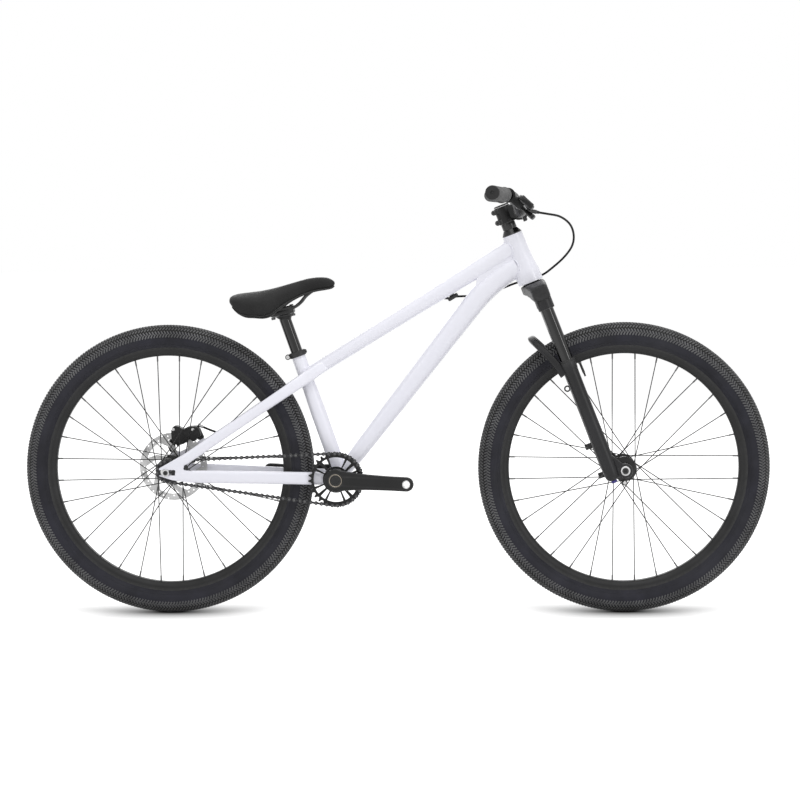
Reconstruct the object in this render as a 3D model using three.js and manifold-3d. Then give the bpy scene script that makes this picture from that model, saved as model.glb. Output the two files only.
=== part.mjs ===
// A dirt jump bike with 26 inch wheels, one gear, a short-travel fork and a rear disc brake.
// Millimetres. +X is forward, +Y is the bike's left and +Z is up. The origin is on the ground,
// midway between the two axles.

import * as THREE from "three";
import { mergeVertices, mergeGeometries } from "three/addons/utils/BufferGeometryUtils.js";
import Module from "manifold-3d";

const wasm = await Module();
wasm.setup();

// Angles and facet counts
const DEGREE = Math.PI / 180;
const QUARTER = Math.PI / 2;
const TURN = Math.PI * 2;
const WHEEL_FACETS = 32;
const HEAD_FACETS = 16;
const ROUND_FACETS = 12;
const HUB_FACETS = 12;
const SMALL_FACETS = 8;
const TUBE_SIDES = 12;
const STAY_SIDES = 10;

// Clearances shared by the whole bike
const GAP = 0.3;
const OVERRUN = 5;
const WELD = 0.0005;

// Where the wheels, the frame and the fork stand
const WHEEL_BASE = 1055.2;
const TYRE_DIAMETER = 675;
const CHAINSTAY_LONGER_THAN_WHEEL = 53.7;
const CHAINSTAY_LENGTH = TYRE_DIAMETER / 2 + CHAINSTAY_LONGER_THAN_WHEEL;
const BB_DROP = 20.4;
const HEAD_TILT = 21.2 * DEGREE;
const SEAT_TILT = 19.05 * DEGREE;
const AXLE_TO_HEAD_TUBE = 478.5;
const FORK_OFFSET = 43;

// Head tube and headset
const HEAD_TUBE_LENGTH = 117.9;
const HEAD_TUBE_BOTTOM_DIAMETER = 59;
const HEAD_TUBE_TOP_DIAMETER = 46.8;
const HEAD_TUBE_COLLAR = 27;
const HEAD_TUBE_BORE_DIAMETER = 42.4;
const LOWER_BEARING_DIAMETER = 52;
const UPPER_BEARING_DIAMETER = 41.8;
const BEARING_HEIGHT = 7;
const HEADSET_COVER_HEIGHT = 12.5;
const HEADSET_COVER_TOP_DIAMETER = 33;
const HEADSET_SPACER_HEIGHT = 15;
const CROWN_RACE_HEIGHT = 2;

// Top tube
const TOP_TUBE_BELOW_SEAT_TOP = 58.5;
const TOP_TUBE_BELOW_HEAD_TOP = 23.5;
const TOP_TUBE_DEPTH = 32;
const TOP_TUBE_WIDTH = 35;
const TOP_TUBE_STATION_SHARES = [0, 0.3, 0.55, 0.75, 0.88, 1];
const TOP_TUBE_DEPTH_SHARES = [0.97, 1, 1.06, 1.14, 1.22, 1.24];
const TOP_TUBE_WIDTH_SHARES = [1, 1, 1.03, 1.08, 1.14, 1.16];

// Down tube
const DOWN_TUBE_AHEAD_OF_BB = 5;
const DOWN_TUBE_SLOPE = 52 * DEGREE;
const DOWN_TUBE_STRAIGHT = 505;
const DOWN_TUBE_BEND = 76.7;
const DOWN_TUBE_HEAD_JOINT = 47;
const DOWN_TUBE_DEPTH = 42;
const DOWN_TUBE_WIDTH = 42;
const DOWN_TUBE_STATION_SHARES = [0, 0.14, 0.42, 0.72, 1];
const DOWN_TUBE_DEPTH_SHARES = [0.76, 0.88, 0.98, 1.07, 1.16];
const DOWN_TUBE_WIDTH_SHARES = [1.12, 1.04, 1, 1.02, 1.06];
const DOWN_TUBE_BEND_SHARES = [0.35, 0.7, 1];
const DOWN_TUBE_BEND_DEPTH_SHARES = [1.18, 1.17, 1.15];

// Seat tube, seatpost and clamp
const SEAT_TUBE_AHEAD_OF_BB = 10;
const SEAT_TUBE_LENGTH = 308.5;
const SEAT_TUBE_TOP_DIAMETER = 32.2;
const SEAT_TUBE_BOTTOM_DIAMETER = 36;
const SEATPOST_DIAMETER = 27.2;
const SEATPOST_INSERTION = 110;
const SEATPOST_BORE_DEPTH = 190;
const SEATPOST_WALL = 3;
const SEAT_CLAMP_HEIGHT = 13;
const SEAT_CLAMP_LIP = 3;
const SEAT_CLAMP_WALL = 3.2;
const SEAT_CLAMP_EAR_LENGTH = 11;
const SEAT_CLAMP_EAR_WIDTH = 17;
const SEAT_CLAMP_BOLT_DIAMETER = 5;

// Rear triangle
const DROPOUT_SPACING = 135;
const DROPOUT_THICKNESS = 8;
const DROPOUT_TAIL = 15.5;
const DROPOUT_TAIL_RISE = 10;
const DROPOUT_TAIL_DROP = 7.5;
const DROPOUT_SLOT_HEIGHT = 12.4;
const DROPOUT_SLOT_REACH = 22;
const CHAINSTAY_DEPTH = 29;
const CHAINSTAY_WIDTH = 16;
const CHAINSTAY_REAR_REACH = 62;
const CHAINSTAY_REAR_BELOW_AXLE = 9.5;
const CHAINSTAY_FRONT_REACH = 12;
const CHAINSTAY_HALF_SPREAD = 70;
const CHAINSTAY_STATION_SHARES = [0, 0.12, 0.3, 0.5, 0.72, 0.88, 1];
const CHAINSTAY_SPREAD_SHARES = [0.985, 0.94, 0.84, 0.7, 0.56, 0.5, 0.42];
const CHAINSTAY_WIDTH_SHARES = [0.9, 0.95, 1, 1, 0.96, 0.86, 0.86];
const SEATSTAY_DEPTH = 24;
const SEATSTAY_WIDTH = 15;
const SEATSTAY_REAR_REACH = 46;
const SEATSTAY_REAR_ABOVE_AXLE = 31;
const SEATSTAY_JOINT_SHARE = 0.067;
const SEATSTAY_BELOW_TOP_TUBE = 2.4;
const SEATSTAY_HALF_SPREAD = 70;
const SEATSTAY_STATION_SHARES = [0, 0.14, 0.32, 0.54, 0.72, 0.82, 0.91, 1];
const SEATSTAY_SPREAD_SHARES = [0.985, 0.92, 0.82, 0.7, 0.6, 0.49, 0.35, 0.3];
const SEATSTAY_DEPTH_SHARES = [1, 1, 1, 1, 1.04, 1.1, 1.16, 1.1];
const SEATSTAY_WIDTH_SHARES = [1, 1, 1, 1, 1, 0.95, 0.85, 0.5];
const TENSIONER_LENGTH = 9;
const TENSIONER_SCREW_DIAMETER = 4;

// Bottom bracket and cranks
const BB_SHELL_WIDTH = 73;
const BB_SHELL_DIAMETER = 48;
const BB_BORE_DIAMETER = 38;
const BB_CUP_DIAMETER = 44;
const BB_CUP_FLANGE = 8;
const BB_CUP_INSERTION = 14;
const BB_BEARING_DIAMETER = 34;
const SPINDLE_DIAMETER = 24;
const CRANK_LENGTH = 163.8;
const CRANK_SLOPE = -2.66 * DEGREE;
const CRANK_BOSS_DIAMETER = 53;
const CRANK_BOSS_THICKNESS = 22;
const CRANK_ARM_THICKNESS = 13;
const CRANK_ARM_WIDTH = 35;
const CRANK_TIP_DIAMETER = 33;
const CRANK_TIP_FACE = 85;
const PEDAL_HOLE_DIAMETER = 14.6;
const CRANK_CAP_DIAMETER = 27.5;
const CRANK_CAP_THICKNESS = 3;
const CRANK_SOCKET_DIAMETER = 20;

// Drive: chainring, cog and chain
const CHAIN_PITCH = 12.7;
const RING_TEETH = 30;
const COG_TEETH = 12;
const CHAIN_LINE = 48;
const SPROCKET_THICKNESS = 2.4;
const CHAIN_PLATE_HEIGHT = 8.2;
const CHAIN_PLATE_THICKNESS = 1.5;
const CHAIN_INNER_WIDTH = 3.4;
const ROLLER_DIAMETER = 6.4;
const TOOTH_HEIGHT = 4.3;
const TOOTH_ROOT_SHARE = 0.36;
const RING_BORE_DIAMETER = 30;
const RING_BOSS_RADIUS = 31;
const RING_WINDOW_RADIUS = 50;
const RING_WIDE_WINDOW = 20.5 * DEGREE;
const RING_NARROW_WINDOW_START = 28 * DEGREE;
const RING_NARROW_WINDOW_END = 39.5 * DEGREE;
const COG_BORE_DIAMETER = 32;

// Wheels
const TYRE_WIDTH = 58;
const TYRE_WALL = 3.5;
const TYRE_HEIGHT = 52.5;
const RIM_INNER_DIAMETER = 530.6;
const RIM_WIDTH = 30;
const RIM_FLOOR = 9;
const RIM_EDGE_SHARE = 0.55;
const SPOKE_COUNT = 32;
const SPOKE_DIAMETER = 2.2;
const SPOKE_CROSS_SPACINGS = 3;
const SPOKE_LACING = 1.4;
const SPOKE_RIM_OFFSET = 3;
const SPOKE_CIRCLE_RADIUS = 26;
const HUB_FLANGE_DIAMETER = 58;
const HUB_FLANGE_THICKNESS = 5.6;
const FRONT_HUB_BARREL_DIAMETER = 28;
const REAR_HUB_BARREL_DIAMETER = 34;
const HUB_HOLLOW_DEPTH = 4;
const HUB_BEARING_WIDTH = 8;
const FRONT_FLANGE_OFFSET = 29;
const REAR_FLANGE_LEFT = 33;
const REAR_FLANGE_RIGHT = 30;
const REAR_HUB_RIGHT_END = 45.5;
const HUB_ROTOR_SEAT = 50.6;
const HUB_ROTOR_FLANGE_DIAMETER = 52;
const HUB_ROTOR_FLANGE_THICKNESS = 4;
const REAR_AXLE_DIAMETER = 10;
const REAR_AXLE_NUT_DIAMETER = 18;
const REAR_AXLE_NUT_THICKNESS = 6;
const REAR_AXLE_BOLT_DIAMETER = 10;
const FRONT_AXLE_DIAMETER = 15;
const FRONT_AXLE_FLANGE_DIAMETER = 22;
const FRONT_AXLE_FLANGE_THICKNESS = 2;
const FRONT_AXLE_BORE_DIAMETER = 10;

// Rear brake
const ROTOR_DIAMETER = 160;
const ROTOR_THICKNESS = 1.8;
const ROTOR_BAND = 15;
const ROTOR_BOSS_DIAMETER = 58;
const ROTOR_BORE_DIAMETER = 36;
const ROTOR_ARMS = 6;
const ROTOR_ARM_SHARE = 0.3;
const CALIPER_ANGLE = 72 * DEGREE;
const CALIPER_TILT = 23 * DEGREE;
const CALIPER_LENGTH = 88;
const CALIPER_DEPTH = 54;
const CALIPER_WIDTH = 26;
const CALIPER_SLOT = 5;
const CALIPER_PISTON_DIAMETER = 33;
const CALIPER_PISTON_REACH = 15.5;
const CALIPER_PISTON_SHARE = -0.1;
const CALIPER_FOOT_WIDTH = 10;
const BRAKE_TAB_HEIGHT = 16;
const CALIPER_OUTLINE_SHARES = [
  [-0.27, -0.1], [-0.18, -0.255], [-0.045, -0.32], [0.075, -0.28], [0.165, -0.22], [0.2, -0.37], [0.29, -0.4],
  [0.35, -0.3], [0.48, -0.29], [0.5, -0.03], [0.48, 0.17], [0.37, 0.245], [0.235, 0.3], [0.115, 0.27],
  [0.03, 0.45], [-0.04, 0.56], [-0.125, 0.56], [-0.21, 0.435], [-0.29, 0.1],
];
const CALIPER_FEET_SHARES = [
  [-0.5, -0.44], [-0.34, -0.44], [-0.3, -0.2], [0.28, -0.2], [0.34, -0.44], [0.5, -0.44], [0.5, 0.05],
  [0.3, 0.15], [-0.3, 0.15], [-0.5, -0.03],
];
const BRAKE_TAB_SHARES = [
  [-0.5, 0], [-0.34, 0], [-0.26, -0.45], [0.2, -0.3], [0.34, 0], [0.5, 0], [0.5, -0.9], [-0.2, -1.55],
  [-0.5, -1.25],
];
const PORT_DIAMETER = 9;
const PORT_LENGTH = 13;
const HOSE_DIAMETER = 5;
const HOSE_REACH = 100;
const HOSE_LOOP_SHARES = [
  [0, 0.593, 0.16, -0.365], [0, 0.701, 0.225, -0.385], [0.05, 0.839, 0.243, -0.315],
  [0.2, 1.059, 0.262, -0.083], [0.4, 1.182, 0.184, 0.14], [0.6, 1.172, 0.106, 0.29],
  [0.8, 1.037, 0.008, 0.435], [1, 0.766, -0.12, 0.579], [1, 0.501, 0.14, 0.325], [1, 0.283, 0.33, 0.16],
  [1, -0.011, 0.43, 0.045], [1, -0.32, 0.46, -0.03], [1, -0.722, 0.45, -0.178], [1.3, -0.978, 0.4, -0.542],
  [2.208, -0.002, 0.285, -0.571], [2.239, 0, 0.208, -0.479], [2.257, -0.002, 0.162, -0.425],
];
const HOSE_FRAME_SHARES = [
  [0.258, 0, 0.16, -0.423], [0.276, 0.001, 0.116, -0.369], [0.298, -0.001, 0.086, -0.316],
  [0.327, 0.002, 0.165, -0.26], [0.359, -0.001, 0.225, -0.155], [0.398, 0, 0.238, -0.089],
  [0.49, 0.002, 0.244, -0.065], [0.653, 0.002, 0.244, -0.061], [0.795, -0.001, 0.244, -0.06],
  [0.877, -0.016, 0.25, -0.011], [0.918, -0.016, 0.285, -0.017], [0.958, -0.02, 0.325, -0.032],
  [1.017, -0.018, 0.39, -0.042], [1.109, -0.017, 0.472, -0.037], [1.293, -0.015, 0.575, -0.032],
  [1.478, -0.009, 0.638, -0.02], [1.644, -0.006, 0.695, -0.013], [1.717, -0.007, 0.728, 0.002],
  [1.765, -0.006, 0.744, 0.038], [1.92, 0.317, 0.74, 0.333], [2, 0.446, 0.7, 0.515],
  [2, 0.356, 0.645, 0.558], [2, 0.266, 0.595, 0.605], [2, 0.186, 0.572, 0.645],
];
const HOSE_SIDES = 8;
const HOSE_LOOP_STEPS = 38;
const HOSE_FRAME_STEPS = 30;
const GUIDE_LENGTH = 22;
const GUIDE_HEIGHT = 22;
const GUIDE_WIDTH = 13;

// Brake lever
const LEVER_FROM_GRIP = 42;
const LEVER_DROP = 63.5 * DEGREE;
const LEVER_CLAMP_WIDTH = 14;
const LEVER_CLAMP_DIAMETER = 33;
const LEVER_ARM_END = 40;
const LEVER_ARM_WIDTH = 24;
const LEVER_ARM_HEIGHT = 17;
const LEVER_CHEEK = 4;
const LEVER_BODY_START = 19;
const LEVER_BODY_DEPTH = 42;
const LEVER_BODY_HEIGHT = 13;
const LEVER_BODY_WIDTH = 72;
const LEVER_BODY_OUTER = -48;
const LEVER_PIVOT_REACH = 32;
const LEVER_PIVOT_SIDE = 9;
const LEVER_PIVOT_DIAMETER = 5;
const LEVER_PIVOT_BOSS = 12;
const LEVER_REACH = 73;
const LEVER_BLADE_LENGTH = 107;
const LEVER_BLADE_HEIGHT = 12;
const LEVER_BLADE_THICKNESS = 7;
const LEVER_BLADE_SHARES = [
  [-0.02, -0.03, 0.55], [0.1, 0.06, 0.6], [0.44, 0.17, 0.62], [0.84, 0.4, 1], [0.98, 0.62, 0.98],
  [0.98, 0.84, 0.9], [0.92, 0.97, 0.95], [0.9, 1, 0.7],
];

// Cockpit
const STEERER_DIAMETER = 28.6;
const STEERER_BOTTOM_DIAMETER = 39.8;
const STEERER_BORE_DIAMETER = 22;
const STEM_LENGTH = 35;
const STEM_CLAMP_HEIGHT = 40;
const STEM_CLAMP_DIAMETER = 38;
const STEM_BAR_CLAMP_WIDTH = 46;
const STEM_BAR_CLAMP_DIAMETER = 44;
const STEM_BODY_WIDTH = 32;
const STEM_BOLT_DIAMETER = 8;
const STEM_BOLT_LENGTH = 9;
const STEM_PINCH_SPACING = 25;
const STEM_PINCH_WIDTH = 30;
const STEM_BODY_HEIGHT = 34;
const BAR_CLAMP_DIAMETER = 31.8;
const BAR_END_DIAMETER = 22.2;
const BAR_WIDTH = 776;
const BAR_RISE = 59;
const BAR_SWEEP = 46;
const BAR_CLAMP_BELOW_STEM_TOP = 24;
const BAR_PATH_SHARES = [
  [0, 0, 0], [0, 0.13, 0], [0, 0.21, 0.03], [0.01, 0.265, 0.2], [0.03, 0.322, 0.44], [0.07, 0.38, 0.58],
  [0.2, 0.47, 0.66], [0.5, 0.67, 0.785], [0.8, 0.87, 0.914], [1, 1, 1],
];
const BAR_STEPS = 24;
const BAR_SIDES = 10;
const GRIP_LENGTH = 132;
const GRIP_DIAMETER = 30;
const GRIP_CAP_THICKNESS = 4;
const TOP_CAP_THICKNESS = 4;
const TOP_CAP_DIAMETER = 35;

// Fork
const FORK_LEG_SPACING = 132;
const STANCHION_DIAMETER = 30;
const STANCHION_BORE_DIAMETER = 25;
const STANCHION_AHEAD_OF_AXIS = 10.6;
const CROWN_DEPTH = 23;
const CROWN_CENTRE_DIAMETER = 51;
const CROWN_BOSS_DIAMETER = 38;
const CROWN_BOSS_BOTTOM = 68.5;
const CROWN_BOSS_TOP = 9;
const CROWN_CAP_DIAMETER = 24;
const CROWN_CAP_THICKNESS = 4;
const CROWN_END_SHARE = 0.75;
const CROWN_DROP_SHARE = 0.9;
const LOWERS_TOP = 197;
const LOWERS_BOTTOM = 488;
const LOWERS_COLLAR_DIAMETER = 36;
const LOWERS_LEG_DIAMETER = 33;
const LOWERS_FOOT_DIAMETER = 35;
const STANCHION_BOTTOM = 322;
const FORK_TRAVEL = 100;
const FRONT_DROPOUT_SPACING = 110;
const FRONT_DROPOUT_THICKNESS = 15;
const FRONT_DROPOUT_DIAMETER = 34;
const PINCH_LUG_DIAMETER = 13;
const PINCH_LUG_DROP = 25;
const PINCH_LUG_BACK = 11.4;
const ARCH_TOP = 123;
const ARCH_BACK = 46;
const ARCH_DEPTH = 17;
const ARCH_THICKNESS = 13;
const ARCH_PATH_SHARES = [
  [0.3, -1, -0.1], [0.52, -0.97, 0.34], [0.86, -0.7, 0.82], [0.98, -0.35, 0.97], [1, 0, 1],
  [0.98, 0.35, 0.97], [0.86, 0.7, 0.82], [0.52, 0.97, 0.34], [0.3, 1, -0.1],
];
const BRAKE_POST_DIAMETER = 14;
const BRAKE_POST_SPACING = 74;
const BRAKE_POST_TOP = 411;
const BRAKE_POST_REACH = 33;
const BRAKE_POST_INSET = 4;
const SEAL_HEIGHT = 5;
const SEAL_DIAMETER = 34.5;
const FORK_ROD_DIAMETER = 10;
const FORK_ROD_TOP = 240;
const KNOB_DIAMETER = 14;
const KNOB_HEIGHT = 7;

// Saddle
const SADDLE_TILT = 11.5 * DEGREE;
const SADDLE_LENGTH = 247;
const SADDLE_WIDTH = 138;
const SADDLE_TAIL_REACH = 112;
const SADDLE_HEIGHT = 58;
const SADDLE_SKIRT = 30;
const SADDLE_PAD = 22;
const SADDLE_STATION_SHARES = [
  0, 0.03, 0.065, 0.13, 0.21, 0.295, 0.37, 0.43, 0.555, 0.69, 0.805, 0.907, 0.963, 1,
];
const SADDLE_WIDTH_SHARES = [0.5, 0.76, 0.88, 0.98, 1, 0.95, 0.84, 0.72, 0.47, 0.34, 0.29, 0.27, 0.2, 0.09];
const SADDLE_TOP_SHARES = [
  0.84, 0.95, 0.97, 0.96, 0.935, 0.905, 0.9, 0.905, 0.94, 0.985, 1, 0.95, 0.83, 0.65,
];
const SADDLE_SKIRT_SHARES = [
  1.3, 0.85, 0.45, 0.05, -0.14, -0.33, -0.28, 0, 0.47, 0.77, 0.86, 0.83, 0.85, 1.05,
];
const SADDLE_HALF_SECTION_SHARES = [
  [0.8, 0.14], [0.9, 0], [0.985, 0.14], [1, 0.42], [0.94, 0.7], [0.74, 0.89], [0.38, 0.98], [0, 1],
];
const RAIL_DIAMETER = 7;
const RAIL_SPACING = 44;
const RAIL_NOSE_REACH = 92;
const RAIL_TAIL_REACH = 92;
const RAIL_RISE = 34;
const RAIL_STEPS = 20;
const RAIL_ABOVE_SEAT_TUBE = 103.5;
const POST_HEAD_LENGTH = 58;
const POST_HEAD_WIDTH = 54;
const POST_HEAD_HEIGHT = 12;
const POST_CLAMP_HEIGHT = 7;
const POST_BOLT_DIAMETER = 6;
const POST_BOLT_SPACING = 47;

// Colours, roughness and metalness of the finishes
const FINISHES = {
  frame: { color: 0xe9e9f2, roughness: 0.35, metalness: 0 },
  black: { color: 0x1d1d1f, roughness: 0.45, metalness: 0.2 },
  anodised: { color: 0x141416, roughness: 0.3, metalness: 0.6 },
  fork: { color: 0x3b3c40, roughness: 0.5, metalness: 0.1 },
  tyre: { color: 0x2b2c30, roughness: 0.9, metalness: 0 },
  grip: { color: 0x5e5e5e, roughness: 0.85, metalness: 0 },
  saddle: { color: 0x2b2b2c, roughness: 0.75, metalness: 0 },
  steel: { color: 0x9c9c9c, roughness: 0.35, metalness: 0.9 },
  chain: { color: 0x34363b, roughness: 0.4, metalness: 0.8 },
  knob: { color: 0x2a2266, roughness: 0.4, metalness: 0.5 },
};

// Points that several pieces share
const WHEEL_RADIUS = TYRE_DIAMETER / 2;
const FRONT_AXLE = new THREE.Vector3(WHEEL_BASE / 2, 0, WHEEL_RADIUS);
const REAR_AXLE = new THREE.Vector3(-WHEEL_BASE / 2, 0, WHEEL_RADIUS);
const BB_CENTRE = new THREE.Vector3(
  REAR_AXLE.x + Math.sqrt(CHAINSTAY_LENGTH ** 2 - BB_DROP ** 2),
  0,
  WHEEL_RADIUS - BB_DROP,
);
const STEER_FORWARD = new THREE.Vector3(Math.cos(HEAD_TILT), 0, Math.sin(HEAD_TILT));
const STEER_UP = new THREE.Vector3(-Math.sin(HEAD_TILT), 0, Math.cos(HEAD_TILT));
const HEAD_BOTTOM = FRONT_AXLE.clone()
  .addScaledVector(STEER_FORWARD, -FORK_OFFSET)
  .addScaledVector(STEER_UP, AXLE_TO_HEAD_TUBE);
const SEAT_UP = new THREE.Vector3(-Math.sin(SEAT_TILT), 0, Math.cos(SEAT_TILT));
const SEAT_TUBE_FOOT = BB_CENTRE.clone().add(new THREE.Vector3(SEAT_TUBE_AHEAD_OF_BB, 0, 0));
const SEAT_TUBE_TOP = SEAT_TUBE_FOOT.clone().addScaledVector(SEAT_UP, SEAT_TUBE_LENGTH);

// The steering frame stands on the head tube's lower end, and the seat frame on the seat tube's top.
const STEERING_PLACE = new THREE.Matrix4().compose(
  HEAD_BOTTOM,
  new THREE.Quaternion().setFromAxisAngle(new THREE.Vector3(0, 1, 0), -HEAD_TILT),
  new THREE.Vector3(1, 1, 1),
);
const SEAT_PLACE = new THREE.Matrix4().compose(
  SEAT_TUBE_TOP,
  new THREE.Quaternion().setFromAxisAngle(new THREE.Vector3(0, 1, 0), -SEAT_TILT),
  new THREE.Vector3(1, 1, 1),
);

// Solids and booleans

function weldedFaces(geometry) {
  const bare = geometry.clone();
  bare.deleteAttribute("normal");
  bare.deleteAttribute("uv");
  const merged = mergeVertices(bare, WELD);
  const faces = [];
  for (let i = 0; i < merged.index.count; i += 3) {
    const face = [merged.index.getX(i), merged.index.getX(i + 1), merged.index.getX(i + 2)];
    const flat = face[0] === face[1] || face[1] === face[2] || face[2] === face[0];
    if (!flat) faces.push(face);
  }
  return { points: merged.attributes.position, faces };
}

function signedVolume(points, faces) {
  const corner = [new THREE.Vector3(), new THREE.Vector3(), new THREE.Vector3()];
  return faces.reduce((sum, face) => {
    face.forEach((index, k) => corner[k].fromBufferAttribute(points, index));
    return sum + corner[0].dot(corner[1].cross(corner[2])) / 6;
  }, 0);
}

function solid(geometry) {
  const { points, faces } = weldedFaces(geometry);
  const outward = signedVolume(points, faces) > 0;
  const turned = faces.map(([a, b, c]) => (outward ? [a, b, c] : [a, c, b]));
  return new wasm.Manifold(new wasm.Mesh({
    numProp: 3,
    vertProperties: new Float32Array(points.array),
    triVerts: new Uint32Array(turned.flat()),
  }));
}

function geometryOf(body) {
  const mesh = body.getMesh();
  const geometry = new THREE.BufferGeometry();
  geometry.setAttribute("position", new THREE.BufferAttribute(new Float32Array(mesh.vertProperties), 3));
  geometry.setIndex(new THREE.BufferAttribute(new Uint32Array(mesh.triVerts), 1));
  geometry.computeVertexNormals();
  return geometry;
}

function joined(...parts) {
  return parts.reduce((sum, part) => sum.add(part));
}

function cut(base, ...tools) {
  return tools.reduce((rest, tool) => rest.subtract(tool), base);
}

// Basic shapes, each as a solid

function box(sizeX, sizeY, sizeZ, x = 0, y = 0, z = 0) {
  return solid(new THREE.BoxGeometry(sizeX, sizeY, sizeZ).translate(x, y, z));
}

// A round bar along Y, from y0 to y1, round the point x, z.
function barAlongY(diameter, y0, y1, x = 0, z = 0, facets = ROUND_FACETS) {
  const geometry = new THREE.CylinderGeometry(diameter / 2, diameter / 2, Math.abs(y1 - y0), facets);
  return solid(geometry.translate(x, (y0 + y1) / 2, z));
}

// A round bar along Z, from z0 to z1, round the point x, y.
function barAlongZ(diameter, z0, z1, x = 0, y = 0, facets = ROUND_FACETS) {
  const geometry = new THREE.CylinderGeometry(diameter / 2, diameter / 2, Math.abs(z1 - z0), facets);
  return solid(geometry.rotateX(QUARTER).translate(x, y, (z0 + z1) / 2));
}

// A round bar between two points.
function barBetween(from, to, diameter, facets = SMALL_FACETS) {
  const along = to.clone().sub(from);
  const geometry = new THREE.CylinderGeometry(diameter / 2, diameter / 2, along.length(), facets);
  const upright = new THREE.Vector3(0, 1, 0);
  geometry.applyQuaternion(new THREE.Quaternion().setFromUnitVectors(upright, along.normalize()));
  const middle = from.clone().add(to).multiplyScalar(0.5);
  return solid(geometry.translate(middle.x, middle.y, middle.z));
}

// A turned piece round Y, from pairs of radius and height.
function turned(profile, facets = ROUND_FACETS) {
  return solid(new THREE.LatheGeometry(profile.map(([radius, h]) => new THREE.Vector2(radius, h)), facets));
}

// The same piece turned round Z.
function turnedUpright(profile, facets = ROUND_FACETS) {
  const points = profile.map(([radius, h]) => new THREE.Vector2(radius, h));
  return solid(new THREE.LatheGeometry(points, facets).rotateX(QUARTER));
}

// A ring round Y or Z, with a rectangular section.
function ringProfile(innerDiameter, outerDiameter, low, high) {
  const inner = innerDiameter / 2;
  const outer = outerDiameter / 2;
  return [[inner, low], [outer, low], [outer, high], [inner, high], [inner, low]];
}

// A plate in the XZ plane, from y0 to y1, with an outline of x, z pairs and optional holes.
function plate(outline, y0, y1, holes = []) {
  const shape = new THREE.Shape(outline.map(([x, z]) => new THREE.Vector2(x, z)));
  holes.forEach((hole) => shape.holes.push(new THREE.Path(hole.map(([x, z]) => new THREE.Vector2(x, z)))));
  const options = { depth: Math.abs(y1 - y0), bevelEnabled: false };
  const geometry = new THREE.ExtrudeGeometry(shape, options);
  return solid(geometry.rotateX(QUARTER).translate(0, Math.max(y0, y1), 0));
}

// A ring of points of a superellipse round a centre.
function sectionRing(station, sideways, upward, count) {
  const power = 2 / station.square;
  return Array.from({ length: count }, (unused, i) => {
    const angle = (i + 0.5) * TURN / count;
    const c = Math.cos(angle);
    const s = Math.sin(angle);
    const x = Math.sign(c) * Math.abs(c) ** power * station.wide / 2;
    const y = Math.sign(s) * Math.abs(s) ** power * station.deep / 2;
    return station.at.clone().addScaledVector(sideways, x).addScaledVector(upward, y);
  });
}

// A skin over a row of rings, closed by a fan at each end.
function skinned(rings) {
  const count = rings[0].length;
  const points = rings.flat();
  const middle = (ring) => ring.reduce((sum, p) => sum.add(p), new THREE.Vector3()).divideScalar(count);
  const first = points.push(middle(rings[0])) - 1;
  const last = points.push(middle(rings[rings.length - 1])) - 1;
  const faces = [];
  for (let r = 0; r + 1 < rings.length; r += 1) {
    for (let i = 0; i < count; i += 1) {
      const a = r * count + i;
      const b = r * count + (i + 1) % count;
      faces.push([a, b, b + count], [a, b + count, a + count]);
    }
  }
  const top = (rings.length - 1) * count;
  for (let i = 0; i < count; i += 1) {
    faces.push([first, (i + 1) % count, i], [last, top + i, top + (i + 1) % count]);
  }
  const geometry = new THREE.BufferGeometry();
  geometry.setAttribute("position", new THREE.Float32BufferAttribute(points.flatMap((p) => p.toArray()), 3));
  geometry.setIndex(faces.flat());
  return solid(geometry);
}

// A tube whose section changes from station to station, as drawn metal tubes do.
function loftedTube(stations, sides = TUBE_SIDES, grow = 0) {
  const rings = stations.map((station, i) => {
    const before = stations[Math.max(i - 1, 0)].at;
    const after = stations[Math.min(i + 1, stations.length - 1)].at;
    const along = after.clone().sub(before).normalize();
    const sideways = new THREE.Vector3(0, 1, 0).addScaledVector(along, -along.y).normalize();
    const upward = along.clone().cross(sideways);
    const grown = { ...station, wide: station.wide + 2 * grow, deep: station.deep + 2 * grow };
    return sectionRing(grown, sideways, upward, sides);
  });
  return skinned(rings);
}

// A round tube along a curve, with the same section all the way.
function roundTube(points, diameter, steps, sides = HOSE_SIDES) {
  const radius = diameter / 2;
  const corners = Array.from({ length: sides }, (unused, i) => new THREE.Vector2(
    radius * Math.cos(i * TURN / sides),
    radius * Math.sin(i * TURN / sides),
  ));
  const path = new THREE.CatmullRomCurve3(points, false, "centripetal");
  const options = { steps, bevelEnabled: false, extrudePath: path };
  return solid(new THREE.ExtrudeGeometry(new THREE.Shape(corners), options));
}

// The frame's tubes

function seatTubePoint(belowTop) {
  return SEAT_TUBE_TOP.clone().addScaledVector(SEAT_UP, -belowTop);
}

function headTubePoint(aboveBottom) {
  return HEAD_BOTTOM.clone().addScaledVector(STEER_UP, aboveBottom);
}

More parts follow.
